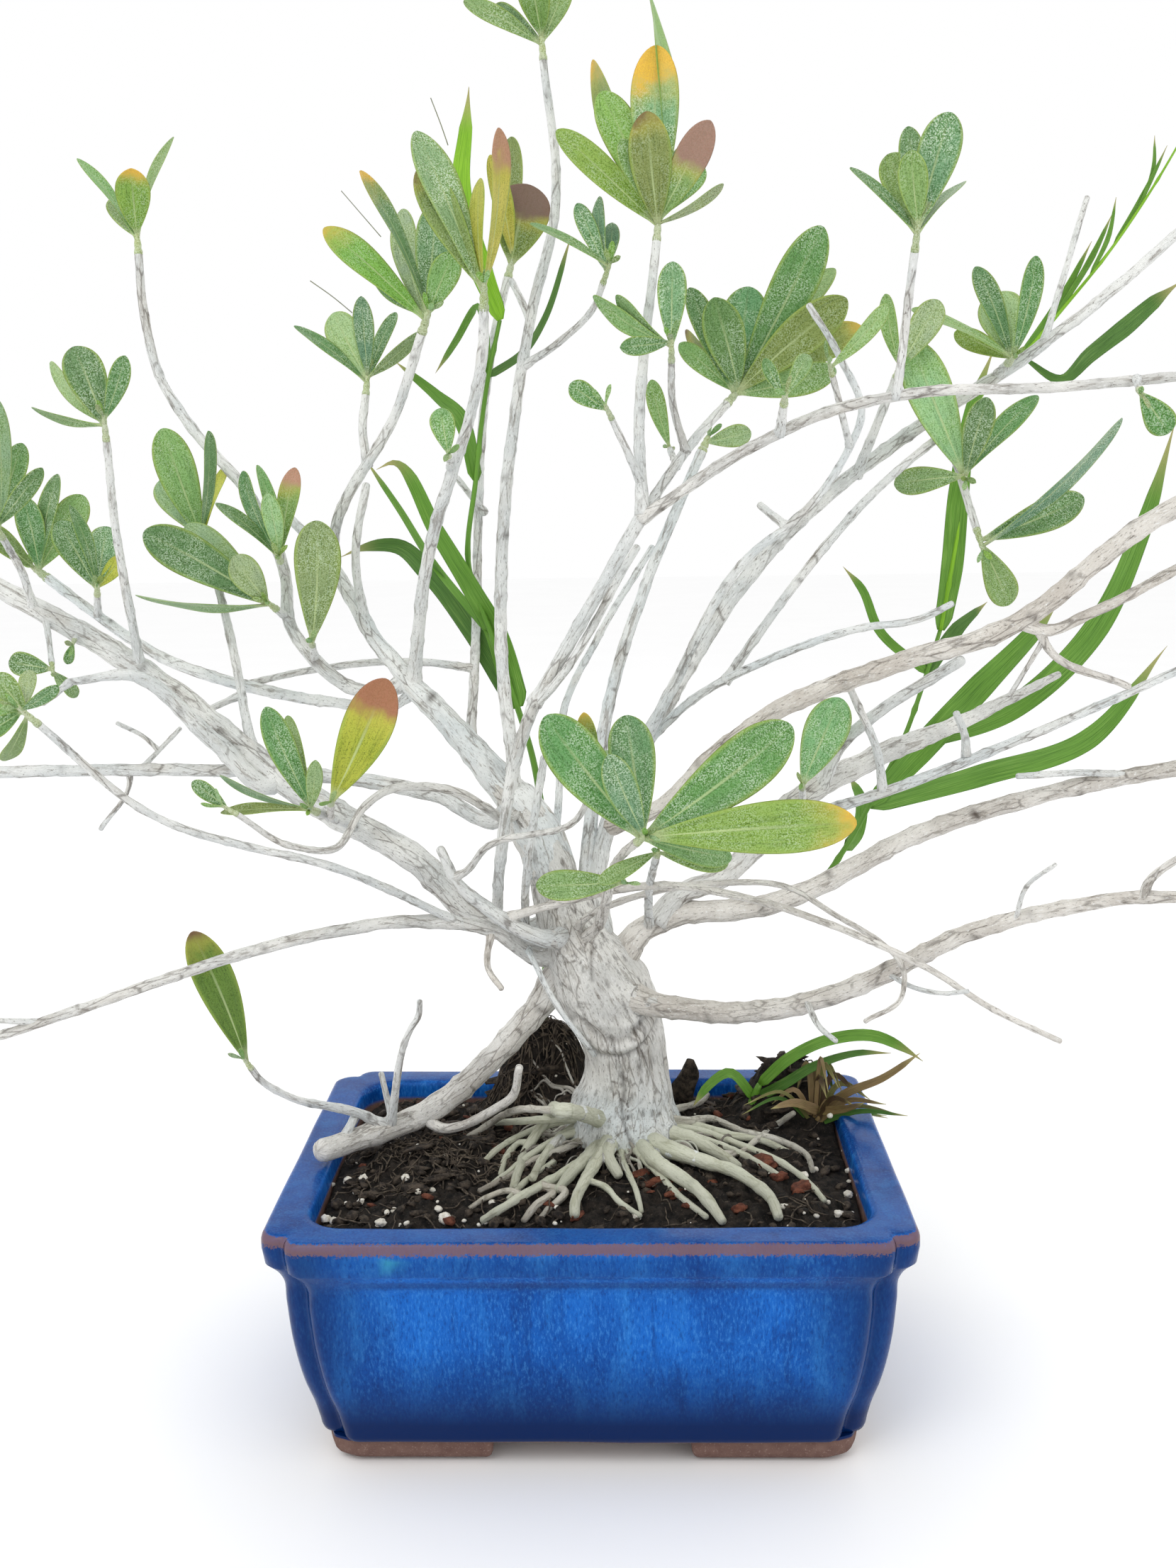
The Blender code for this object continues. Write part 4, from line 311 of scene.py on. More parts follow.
        (-6.5, 159.5, -1), (2, 167.8, -4), (15.5, 173), (43, 177.5), (68, 175.5), (80.5, 168),
        (92, 158), (103, 148), (107, 143.5), (106, 137), (94, 128.5)]),
    "arch_drop_twig": ("arch_right", (2.4, 2.2), -96, [(176, 342), (177, 337.5)]),
    "yellow_twig": ("left_leaf_twig", (2.6, 2.4), -38, [(-87, 201.7), (-86.5, 206)]),
    "right_sweep": ("left_front", (3.1, 2.6, 1.9), -88, [
        (-28, 166), (-14, 170.2), (15, 174.8), (28, 176.8), (54, 172), (73.5, 165.2), (93, 158),
        (114.5, 147.3), (127, 138.5), (140, 131), (160.5, 121)]),
}

# surface roots: seen widths, and marks (x, y) read on the level 80 plane. The first mark lies
# inside the foot of the trunk or another root, the others on the soil.
ROOTS = {
    "root_right": ((10, 6, 4.4), [(18, 16), (31, 1), (40, -7), (48, -13), (55, -25), (59, -36),
                                  (60, -48)]),
    "root_right_front": ((9, 6.4, 4.6), [(15, 14), (24, -8), (31, -20), (37, -33), (40, -43),
                                         (42, -51)]),
    "root_right_front_thin": ((3, 2.2), [(12, 16), (17, -1), (22, -14), (28, -30), (37, -48)]),
    "root_front_thin": ((2.6, 1.8), [(9, 18), (10.5, -4), (13, -18), (15.5, -33), (16.5, -44)]),
    "root_right_flare": ((10, 6, 3), [(16, 26), (33, 16), (43, 4), (50, -9)]),
    "root_right_back": ((4, 2.5, 2.2), [(22, 34), (36, 31), (43, 33), (54, 21), (66, 13),
                                        (74, 1), (75, -13)]),
    "root_right_back_low": ((3.2, 2.2), [(22, 30), (37, 27), (50, 18), (61, 12), (68, 3)]),
    "root_right_rising": ((2.4, 2), [(47, -8), (51, 2), (58, 13), (66, 26), (74, 38)]),
    "root_loop": ((3, 2), [(20, 38), (34, 45), (41, 51), (43, 57)]),
    "root_left_broad": ((8, 5, 3.2), [(4, 32), (-12, 42), (-19, 27), (-23, 8), (-25, -12),
                                     (-26, -25)]),
    "root_left_long": ((3, 2.2), [(-2, 38), (-17, 42.5), (-33, 39), (-40, 26), (-45, 17)]),
    "root_left_short": ((3, 2.2), [(-2, 34), (-20, 33), (-30, 31), (-36, 30)]),
    "root_left_thin": ((2.8, 2), [(-18, 20), (-25.5, 12), (-30, 0), (-31, -15)]),
    "root_left_second": ((5, 3.2), [(0, 32), (-9, 22), (-15, 6), (-18.5, -8), (-20, -18)]),
    "root_left_brown": ((3, 2), [(0, 20), (-12, 4), (-20, -3), (-28, -17), (-37, -28)]),
    "root_front_long": ((7, 4.4, 3), [(5, 16), (-2, -4), (-10, -15), (-19, -27), (-31, -45),
                                      (-34, -50)]),
    "root_front_brown": ((3.6, 2.6), [(-8, -14), (-13, -28), (-18, -40), (-21, -50)]),
    "root_front_brown_twin": ((3, 2), [(-5, -16), (-8.5, -29), (-14, -43), (-16, -49)]),
    "root_front_wisp": ((2.4, 1.8), [(-17, -24), (-27, -28), (-35, -34), (-39, -41)]),
    "root_yellow": ((8, 6, 4.6), [(7, 18), (3, 2), (0, -11), (-3, -24), (-5, -36), (-5, -46)]),
    "root_pale_lump": ((8, 6, 4), [(5, 14), (-3, -4), (-8, -18), (-11, -27)]),
    "root_front_small": ((2.4, 1.8), [(0, -12), (3.5, -24), (10, -38), (16, -47)]),
    "root_front_lump": ((7, 4), [(9, 14), (6.5, -6), (9, -16)]),
    "root_left_back_thin": ((3, 2), [(0, 36), (-14, 30), (-24, 21), (-34, 6), (-38, -6)]),
    "root_left_fan": ((3, 2), [(2, 28), (-12, 16), (-20, 4), (-27, -10), (-33, -22)]),
    "root_left_fan_low": ((2.6, 2), [(2, 24), (-8, 10), (-14, -6), (-22, -20), (-27, -34)]),
    "root_right_thin": ((2.8, 2), [(18, 24), (34, 18), (46, 8), (57, -6), (64, -18)]),
    "root_right_long": ((3, 2), [(20, 28), (38, 22), (53, 8), (66, -8), (73, -24), (76, -36)]),
}

ROOT_FROM = {"root_left_thin": "root_left_broad", "root_front_wisp": "root_front_long",
             "root_front_brown": "root_front_long", "root_front_brown_twin": "root_front_long",
             "root_front_small": "root_yellow", "root_right_rising": "root_right_flare"}


def soil_height(x, y):
    """Height of the soil: low at the walls, banked up round the trunk, with the old root ball
    as a mound behind it on the left and a hump behind it on the right."""
    edge = max(abs(x) / 90.0, abs(y) / 63.0)
    z = SOIL_EDGE + 5.4 * (1 - min(1.0, edge) ** 4)
    z += 35.0 * math.exp(-(((x + 19) / 17.0) ** 4 + ((y - 46) / 15.0) ** 2))
    z += 20.0 * math.exp(-(((x - 74) / 17.0) ** 4 + ((y - 46) / 13.0) ** 2))
    z += 4.0 * math.exp(-(((x + 62) / 22.0) ** 2 + ((y + 4) / 16.0) ** 2))
    coarse = noise.noise(Vector((x, y, 0.0)) * 0.16) * 2.4
    coarse += noise.noise(Vector((x, y, 7.0)) * 0.42) * 1.5
    return z + coarse * min(1.0, 3.2 * (1.04 - edge))


def thinned(quads):
    """Drop marks that lie almost on the straight line between their neighbours."""
    kept = list(quads)
    k = 1
    while k < len(kept) - 1:
        one, mid, two = (seen(*q[:3]) for q in (kept[k - 1], kept[k], kept[k + 1]))
        run = two - one
        t = (mid - one).dot(run) / run.length_squared
        width = kept[k - 1][3] + (kept[k + 1][3] - kept[k - 1][3]) * t
        if (mid - one - run * t).length < SLACK and abs(width - kept[k][3]) < WIDTH_SLACK:
            del kept[k]
        else:
            k += 1
    return kept


def width_at(widths, share):
    """The width that share of the way from the first to the last."""
    part = share * (len(widths) - 1)
    k = min(len(widths) - 2, int(part))
    return widths[k] + (widths[k + 1] - widths[k]) * (part - k)


def bars_of():
    """Real centres and radii of each limb, from the ruler marks."""
    paths, marks_of = {}, {}

    def lay(name, quads):
        paths[name] = ([seen(a, u, d) for a, u, d, w in quads],
                       [w * scale_at(d) / 2 for a, u, d, w in quads])
        marks_of[name] = quads

    lay("trunk", TRUNK)
    lay("leader", LEADER)
    waiting = dict(LIMBS)
    while waiting:
        for name in list(waiting):
            parent, widths, far, marks = waiting[name]
            if parent not in marks_of:
                continue
            del waiting[name]
            # nearest place on the parent's centre line, as seen on the ruler
            best = None
            for one, two in zip(marks_of[parent], marks_of[parent][1:]):
                run = Vector((two[0] - one[0], two[1] - one[1]))
                off = Vector((marks[0][0] - one[0], marks[0][1] - one[1]))
                t = min(1.0, max(0.0, off.dot(run) / run.length_squared))
                miss = (off - run * t).length
                if best is None or miss < best[0]:
                    best = (miss, [one[i] + (two[i] - one[i]) * t for i in range(3)])
            miss, start = best
            route = [start] + list(marks if miss > NEAR_PARENT else marks[1:])
            steps = [0.0]
            for one, two in zip(route, route[1:]):
                steps.append(steps[-1] + math.hypot(two[0] - one[0], two[1] - one[1]))
            fixed = [(s, m[2]) for s, m in zip(steps, route) if len(m) > 2]
            if len(route[-1]) < 3:
                fixed.append((steps[-1], far))
            quads = []
            for s, mark in zip(steps, route):
                for (s0, v0), (s1, v1) in zip(fixed, fixed[1:]):
                    if s0 <= s <= s1:
                        depth = v0 + (v1 - v0) * (s - s0) / (s1 - s0)
                        break
                quads.append((mark[0], mark[1], depth, width_at(widths, s / steps[-1])))
            lay(name, thinned(quads))
    for name, (widths, marks) in ROOTS.items():
        centres, radii = [], []
        for i, (x, y) in enumerate(marks):
            centre = over(x, y, 82.0)
            radius = width_at(widths, i / (len(marks) - 1)) * scale_at(centre.y) / 2
            if i == 0 and name not in ROOT_FROM:
                centre = EYE + (over(x, y, 80.0) - EYE) * ((ROOT_DEPTH - EYE.y) / (y - EYE.y))
            else:
                centre = over(x, y, soil_height(centre.x, centre.y) + radius + 0.8)
            centres.append(centre)
            radii.append(radius)
        if name in ROOT_FROM:
            # it begins on the centre line of the root that it leaves
            near = None
            line = paths[ROOT_FROM[name]][0]
            for one, two in zip(line, line[1:]):
                run = two - one
                t = min(1.0, max(0.0, (centres[1] - one).dot(run) / run.length_squared))
                spot = one + run * t
                if near is None or (spot - centres[1]).length < (near - centres[1]).length:
                    near = spot
            centres[0] = near
        paths[name] = (centres, radii)
    return paths


# the larger perlite grains: (x, y) on the level 80 plane, size
PERLITE = [(-82, -22, 3.8), (-77, -21, 4.2), (-75, -38, 3.4), (-63, -45, 3.4), (-84, -51, 4),
           (-66, -54, 4), (-46, -51, 5), (-33, -53, 3.6), (15, -50, 4.4), (71, -20, 4.2),
           (84, -34, 3.8), (62, -44, 4), (79, -48, 3.6), (-57, -30, 3)]

LEAF_WIDEN = 1.15       # the widths below were read inside the leaves' edges
LEAN = (0, 11, -12, 5, -7, 15, -16, 8, -3, 19)
TRIES = (0, 7, -7, 14, -14, 22, -22, 30, -30, 40, -40, 52, -52)

# tuft: (twig it grows on, leaves as (tip across, tip up, seen width, depth of the tip past the
# twig's end)). A leaf with no fourth number leans by the rule in LEAN.
TUFTS = {
    "leaves_top_left": ("far_left_stem", [(-158, 413, 3), (-146, 402, 8), (-141, 410, 9),
                                          (-127, 419, 2.4)]),
    "leaves_left_high": ("left_stem", [(-163, 356, 11), (-171, 351, 4.5), (-146.5, 353, 5.5),
                                       (-178, 337, 2.4)]),
    "leaves_left_edge": ("left_edge_twig", [(-190, 341, 6), (-182, 326, 7), (-176, 318, 5.5),
                                            (-206, 326, 8), (-212, 308, 7)]),
    "leaves_left_edge_back": ("pale_back", [(-183, 309, 8), (-163, 309, 9), (-196, 300, 6),
                                            (-171, 316, 5)]),
    "leaves_left_inner": ("pale_back_spur", [(-172, 301, 9), (-156, 299, 8), (-168, 306, 4),
                                             (-152, 289, 5)]),
    "leaves_left_spread": ("far_left_spur", [(-144, 297, 12), (-130, 299, 10), (-115, 289, 9),
                                             (-148, 277, 2.2)]),
    "leaves_left_bunch": ("far_left_spur_up", [(-120, 306, 3.6), (-111, 316, 5), (-103, 309, 6),
                                               (-93.5, 317, 6), (-106, 318, 4)]),
    "leaves_left_pair": ("left_riser", [(-136, 330, 11), (-137, 314, 10), (-121, 329, 4),
                                        (-115, 318, 3)]),
    "leaf_left_single": ("far_left_leaf_twig", [(-87, 300, 12.5)]),
    "leaves_left_small": ("left_small", [(-172.5, 254, 3)]),
    "leaf_left_drop": ("left_drop", [(-192, 255, 7), (-170, 243, 4)]),
    "leaves_far_left": ("thin_left", [(-197, 251, 7.5), (-185, 252, 5), (-176, 247, 4),
                                      (-201, 241, 5), (-203, 230, 6), (-196, 222, 5)]),
    "leaves_left_low": ("left_leaf_twig", [(-107, 239, 8.5), (-100, 236, 6), (-91, 221, 5),
                                           (-123.5, 216, 2.4), (-124, 203, 3.2)]),
    "leaves_upper_left": ("left_upper_fork", [(-92, 361, 3.2), (-79, 365, 10), (-70, 370, 6),
                                              (-59, 365, 4), (-51, 359, 4)]),
    "leaves_upper_left_crown": ("left_upper_stem", [(-81, 391, 8), (-66, 377, 5), (-69, 408, 4),
                                                    (-45, 398, 10), (-40, 383, 8), (-56, 396, 7)]),
    "leaves_crown_left": ("left_mid_stem", [(-51, 419, 10), (-50, 409, 10), (-25, 420, 5),
                                            (-31, 405, 4)]),
    "leaves_crown_left_back": ("back_stem", [(-16, 403, 16), (-21, 417, 7), (-28, 412, 6)]),
    "leaves_tall_tip": ("tall_stem", [(-35, 457, 5), (-26, 455, 6), (-15, 467, 9), (-3, 462, 6)]),
    "leaves_crown_small": ("tall_stem_twig", [(-1, 397, 5), (10, 391, 4.5), (-16, 391, 2.4),
                                              (6, 399, 4)]),
    "leaves_top": ("top_stem", [(-7, 419, 8), (6, 411, 4.5), (13, 416, 7), (7, 430, 10),
                                (24, 443, 13, 6), (21, 424, 12, -16), (41, 421, 9), (39, 407, 6),
                                (45, 402, 3), (35, 416, 5), (22, 459, 4), (5, 439, 6, 20)]),
    "leaf_middle_single": ("top_stem_twig", [(-4, 342, 6)]),
    "leaves_tuft_left": ("tuft_stem_twig", [(29, 379, 8), (4, 369, 5), (12, 353, 5), (11, 369, 4)]),
    "leaves_tuft": ("tuft_stem", [(34, 371, 7), (31, 354, 6), (42, 368, 11), (53, 371, 12),
                                  (76, 389, 12), (80, 376, 8), (84, 367, 11), (89, 358, 9),
                                  (81, 345, 8), (33, 358, 4)]),
    "leaves_arch_stub": ("arch_stub", [(58, 349, 4), (72, 350, 5)]),
    "leaf_twin_twig": ("twin_twig", [(97, 365, 5)]),
    "leaves_right_high": ("arch_riser", [(84, 406, 3), (96, 410, 9), (103, 411, 8), (102, 418, 7),
                                         (115, 422, 11), (120, 401, 2.4)]),
    "leaf_pale_right": ("pale_leaf_stem", [(113, 366, 8), (96, 368, 5)]),
    "leaves_right_tuft": ("tuft_spur_right", [(124, 376, 6), (131, 368, 12), (143, 379, 6),
                                              (118, 356, 6), (104, 363, 3)]),
    "leaves_hanger": ("leaf_hanger", [(161, 304, 9), (138, 270, 9), (172, 329, 4)]),
    "leaves_hanger_upper": ("leaf_hanger_spur", [(104, 354, 13), (100, 309, 8), (129, 336, 8),
                                                 (145, 336, 6)]),
    "leaves_right_edge": ("pale_right", [(212, 262, 7), (205, 232, 7), (216, 247, 6),
                                         (196, 268, 5)]),
    "leaves_centre": ("leaf_twig_centre", [(-14, 235, 16), (13, 235, 13), (7, 222, 10),
                                           (68, 231, 17), (90, 198, 16), (48, 186, 8)]),
    "leaf_centre_low": ("centre_low_spur", [(-18, 177, 9)]),
    "leaf_centre_right": ("thick_back_spur", [(84, 240, 13)]),
    "leaf_mid_left": ("left_mid_spur", [(-46, 335, 7)]),
    "leaf_pale_middle": ("pale_middle", [(54, 326, 6)]),
    "leaf_tuft_spur": ("tuft_stem_spur", [(22, 343, 5)]),
    "leaves_centre_left": ("leaf_twig_centre_left", [(-15, 224, 4), (7, 223, 4.5), (-1, 236, 6)]),
    "leaf_centre_pale": ("leaf_twig_centre_pale", [(47, 184, 6), (3, 178, 5)]),
    "leaf_bowed_left": ("bowed_left", [(-133, 214, 5)]),
    "leaves_end_right": ("back_right", [(208, 424, 8), (222, 404, 8), (216, 418, 6)]),
    "leaves_end_right_arch": ("arch_right", [(234, 354, 8), (228, 330, 8), (224, 366, 6)]),
    "leaves_end_right_upper": ("beige_right", [(232, 322, 8), (222, 334, 7), (228, 298, 6)]),
    "leaves_end_right_mid": ("rising_right", [(231, 230, 8), (230, 206, 8), (222, 240, 6)]),
    "leaves_end_right_low": ("low_right", [(236, 181, 8), (232, 160, 8)]),
    "leaves_end_left": ("left", [(-232, 304, 8), (-233, 286, 8), (-222, 314, 7)]),
    "leaves_end_left_level": ("level_left", [(-228, 229, 8), (-229, 208, 8)]),
    "leaves_end_left_low": ("low_left", [(-240, 130, 8), (-242, 114, 8), (-232, 101, 6)]),
    "leaf_arch_drop": ("arch_drop_twig", [(187, 324, 8)]),
}
SINGLES_YELLOW = {
    "leaf_yellow_low": ("fallen_leaf_twig", [(-136, 162, 12)]),
    "leaf_yellow_left": ("yellow_twig", [(-66, 248, 15)]),
}

# weed: (culm marks with depth, culm width, blades as (marks, seen widths, tip's depth)).
# Each blade starts at the culm's mark nearest to its own first mark.
WEEDS = {
    "grass_left": ([(-16.8, 124, 47), (-15, 150, 49), (-12, 175, 50), (-15, 200, 48),
                           (-18.5, 222, 44), (-23, 238, 38), (-31, 262, 32), (-38, 285, 28),
                           (-35, 312, 30), (-30, 345, 34), (-26, 362, 34)], 2.6, [
        ([(-24, 242), (-30, 265), (-36, 276), (-48, 296), (-62, 318), (-67, 316)],
         (9, 8, 5, 1.5), 12),
        ([(-26, 246), (-38, 265), (-52, 284), (-60, 291), (-72, 291), (-80, 288)],
         (7, 8, 5, 1.5), 66),
        ([(-32, 266), (-50, 286), (-60, 303), (-71, 320)], (3.4, 3, 1.5), 84),
        ([(-34, 312), (-40, 332), (-47, 339), (-60, 350)], (5, 6.5, 4, 1.5), 60),
        ([(-27, 358), (-32, 378), (-37, 402), (-35, 420), (-34, 432)], (4, 6, 4, 1.5), 44),
        ([(-29, 348), (-33, 366), (-40, 356), (-47, 346)], (3, 3, 1.5), 74),
        ([(-30, 342), (-19, 352), (-12, 362), (-3, 387)], (3, 3, 1.5), 70)]),
    "grass_right": ([(6, 94, 47), (8, 124, 48), (12, 149, 49), (27, 164.5, 50),
                            (48, 168, 51), (65, 171, 54), (78, 178, 58), (86, 189, 63),
                            (94, 204, 72), (104, 224, 82), (112, 248, 90), (116, 262, 92)],
                    2.8, [
        ([(84, 186), (90, 195), (91, 206), (87, 214)], (5, 6, 1.5), 100),
        ([(96, 208), (110, 222), (130, 243), (146, 260), (155, 272)], (6, 9.5, 8, 1.5), 112),
        ([(115, 260), (119, 282), (121, 306), (125, 334), (131, 352)], (7, 9, 7, 1.5), 92),
        ([(112, 248), (121, 262), (131, 271)], (5, 6, 1.5), 110),
        ([(112, 246), (96, 262), (90, 276), (84, 283)], (4, 4, 1.5), 110),
        ([(104, 224), (140, 236), (167, 262), (180, 292), (189, 328)], (5, 7, 7, 1.5), 118),
        ([(98, 212), (130, 214), (166, 226), (190, 256)], (5, 7, 6, 1.5), 118)]),
    "grass_low": ([(55.5, 93, 36), (56, 101, 36), (58, 106, 35)], 4, [
        ([(57, 104), (68, 115), (83, 122), (98, 123), (110, 117), (114, 114)],
         (4, 5, 4, 1.5), 20),
        ([(56, 101), (66, 106), (76, 112), (92, 117), (103, 117)], (4, 4, 3, 1.5), 12),
        ([(56, 103), (47, 110), (39, 104), (35, 98)], (4, 4, 1.5), 30)]),
    "grass_dead": ([(78, 90, 30), (79, 96, 30), (81, 100, 29)], 3, [
        ([(79, 97), (88, 103), (100, 108), (113, 117)], (4, 3.4, 1.5), 18),
        ([(78, 95), (70, 99), (62, 97)], (4, 3.4, 1.5), 18),
        ([(80, 98), (87, 97), (94, 99)], (3.4, 3, 1.5), 8)]),
}


PATHS = bars_of()


def srgb(red, green, blue):
    """A colour given as 0 to 255 screen values."""
    return tuple(((c / 255 + 0.055) / 1.055) ** 2.4 if c > 10 else c / 3295
                 for c in (red, green, blue)) + (1.0,)


def toned(red, green, blue, fourth):
    """A colour for a point value, with what its fourth number carries."""
    return np.array((*srgb(red, green, blue)[:3], fourth))


class Look:
    """Short hand for building one material's nodes."""

    def __init__(self, name, roughness=0.6, **fixed):
        self.material = bpy.data.materials.new(name)
        self.material.use_nodes = True
        self.tree = self.material.node_tree
        self.shader = self.tree.nodes["Principled BSDF"]
        self.shader.inputs["Roughness"].default_value = roughness
        for socket, value in fixed.items():
            self.shader.inputs[socket.replace("_", " ")].default_value = value
        self.place = self.node("ShaderNodeTexCoord").outputs["Object"]

    def put(self, socket, value):
        if isinstance(value, bpy.types.NodeSocket):
            self.tree.links.new(value, socket)
        else:
            socket.default_value = value

    def node(self, kind, settings=(), **inputs):
        made = self.tree.nodes.new(kind)
        for key, value in dict(settings).items():
            setattr(made, key, value)
        for key, value in inputs.items():
            self.put(made.inputs[key.replace("_", " ")], value)
        return made

    def mark(self, name, output="Fac"):
        return self.node("ShaderNodeAttribute", {"attribute_name": name}).outputs[output]

    def parts(self, name):
        return self.node("ShaderNodeSeparateXYZ", Vector=self.mark(name, "Vector")).outputs

    def stretch(self, vector, *scale):
        return self.node("ShaderNodeMapping", Vector=vector, Scale=scale).outputs["Vector"]

    def noise(self, scale, vector=None, detail=3.0, rough=0.55):
        return self.node("ShaderNodeTexNoise", Vector=vector or self.place, Scale=scale,
                         Detail=detail, Roughness=rough).outputs["Fac"]

    def span(self, value, low, high, to_low=0.0, to_high=1.0):
        return self.node("ShaderNodeMapRange", {"interpolation_type": "SMOOTHSTEP"}, Value=value,
                         From_Min=low, From_Max=high, To_Min=to_low,
                         To_Max=to_high).outputs["Result"]

    def sum(self, operation, one, two=0.0):
        made = self.node("ShaderNodeMath", {"operation": operation})
        self.put(made.inputs[0], one)
        self.put(made.inputs[1], two)
        return made.outputs[0]

    def times(self, one, two):
        return self.sum("MULTIPLY", one, two)

    def mix(self, amount, one, two, blend="MIX"):
        made = self.node("ShaderNodeMix", {"data_type": "RGBA", "blend_type": blend})
        for socket, value in ((0, amount), (6, one), (7, two)):
            self.put(made.inputs[socket], value)
        return made.outputs[2]

    def tinted(self, colour, *shade):
        return self.mix(1.0, colour, srgb(*shade), "MULTIPLY")

    def layers(self, colour, *rows):
        """Lay the colours of the rows (value, low, high, most, red, green, blue) over a colour,
        each by up to `most` as its value goes from low to high."""
        for value, low, high, most, *shade in rows:
            colour = self.mix(self.span(value, low, high, 0.0, most), colour, srgb(*shade))
        return colour

    def bump(self, height, strength, depth, under=None):
        """A bump of `depth` millimetres, laid over the bump `under`."""
        made = self.node("ShaderNodeBump", Height=height, Strength=strength, Distance=depth * MM)
        if under is not None:
            self.put(made.inputs["Normal"], under)
        return made.outputs["Normal"]

    def dress(self, colour, roughness=None, normal=None):
        for socket, value in (("Base Color", colour), ("Roughness", roughness),
                              ("Normal", normal)):
            if value is not None:
                self.put(self.shader.inputs[socket], value)
        return self.material


def bark_look():
    """Ash grey bark: `tint` runs from pale bluish grey to beige, `dark` marks scars and cracks,
    `green` is a whitish green bloom, and `grain` is a place whose third part runs along the
    limb, drawn together."""
    look = Look("ash_grey_bark", 0.85, Specular_IOR_Level=0.15)
    grain = look.mark("grain", "Vector")
    fine = look.noise(2000.0, grain, 5.0, 0.75)
    lines = look.noise(620.0, look.stretch(grain, 1.0, 1.0, 0.5), 4.0, 0.65)
    broad = look.noise(150.0, grain, 3.0, 0.5)
    patches = look.noise(55.0, None, 2.0)
    splits = look.node("ShaderNodeTexVoronoi", {"feature": "DISTANCE_TO_EDGE"},
                       Vector=look.stretch(grain, 1.0, 1.0, 0.7), Scale=330.0).outputs["Distance"]
    pale = look.mix(look.span(patches, 0.35, 0.65), srgb(216, 222, 223), srgb(236, 238, 236))
    beige = look.mix(look.span(patches, 0.35, 0.65), srgb(204, 196, 186), srgb(228, 223, 215))
    colour = look.layers(look.mix(look.mark("tint"), pale, beige),
                         (broad, 0.5, 0.7, 0.4, 176, 168, 156),
                         (lines, 0.54, 0.66, 0.6, 132, 124, 114))
    ragged = look.times(look.span(splits, 0.07, 0.01), look.span(broad, 0.4, 0.6))
    colour = look.mix(look.times(ragged, 0.6), colour, srgb(96, 88, 80))
    colour = look.layers(colour, (fine, 0.56, 0.66, 0.8, 88, 80, 72),
                         (fine, 0.45, 0.32, 0.8, 250, 251, 250))
    colour = look.mix(look.mark("green"), colour, srgb(202, 206, 176))
    colour = look.mix(look.mark("dark"), colour, srgb(62, 52, 44))
    height = look.sum("ADD", look.times(fine, 0.5), look.times(lines, 1.1))
    normal = look.bump(height, 0.75, 0.9, look.bump(broad, 0.5, 1.0))
    return look.dress(colour, look.span(fine, 0.3, 0.7, 0.92, 0.74), normal)


def leaf_look(name, frost=1.0):
    """A leathery leaf. `hue` is the blade's own colour with its frostiness as alpha, `tip` the
    colour that its end turns, with where that starts as alpha, and `blade` is (across, along,
    side), side being 1 on the face that is seen."""
    look = Look(name, 0.5, Specular_IOR_Level=0.35, Subsurface_Weight=0.06,
                Subsurface_Scale=0.001)
    hue, tip = look.mark("hue", "Color"), look.mark("tip", "Color")
    frosty, start = look.mark("hue", "Alpha"), look.mark("tip", "Alpha")
    place = look.parts("blade")
    across = look.sum("ABSOLUTE", place["X"])
    along, side = place["Y"], place["Z"]
    broad = look.noise(120.0)
    fine = look.noise(2300.0, None, 3.0, 0.7)
    # soft lengthwise streaks that fan out from the midrib
    ribs = look.node("ShaderNodeCombineXYZ", X=look.times(place["X"], 5.0), Y=along,
                     Z=look.noise(40.0)).outputs[0]
    streaks = look.noise(2.6, ribs, 2.0)
    colour = look.mix(look.span(broad, 0.3, 0.7, 0.0, 0.7), hue,
                      look.tinted(hue, 226, 236, 150))
    colour = look.mix(look.span(streaks, 0.42, 0.7, 0.0, 0.5), colour,
                      look.tinted(colour, 150, 172, 140))
    specks = look.times(look.span(fine, 0.46, 0.62), look.span(broad, 0.34, 0.62, 0.2, 1.0))
    specks = look.times(specks, look.times(frosty, 0.8 * frost))
    colour = look.mix(specks, colour, srgb(212, 228, 208))
    deep = look.times(look.span(fine, 0.5, 0.34), 0.75)
    colour = look.mix(deep, colour, look.tinted(colour, 138, 156, 112))
    under = look.mix(0.55, colour, srgb(160, 184, 140))
    colour = look.mix(look.span(side, 0.45, 0.55), under, colour)
    colour = look.layers(colour, (across, 0.78, 1.0, 0.6, 150, 178, 78))
    midrib = look.times(look.span(across, 0.09, 0.02), look.span(along, 1.0, 0.3, 0.05, 0.6))
    colour = look.mix(midrib, colour, srgb(190, 206, 150))
    colour = look.layers(colour, (along, 0.16, 0.02, 0.7, 196, 206, 160))
    # the end turns yellowish first, and then the colour of `tip`, with a ragged border
    ragged = look.sum("ADD", along, look.times(look.sum("SUBTRACT", broad, 0.5), 0.35))
    turned = look.sum("SUBTRACT", ragged, start)
    yellowing = look.mix(0.6, colour, srgb(196, 182, 78))
    colour = look.mix(look.span(turned, -0.16, 0.02, 0.0, 0.6), colour, yellowing)
    colour = look.mix(look.span(turned, -0.03, 0.14, 0.0, 0.92), colour,
                      look.mix(look.span(fine, 0.4, 0.6, 0.0, 0.45), tip,
                               look.tinted(tip, 206, 190, 176)))
    height = look.sum("ADD", look.times(fine, 0.4), look.times(streaks, 0.7))
    normal = look.bump(height, 0.5, 0.35)
    return look.dress(colour, look.span(fine, 0.4, 0.66, 0.38, 0.62), normal)


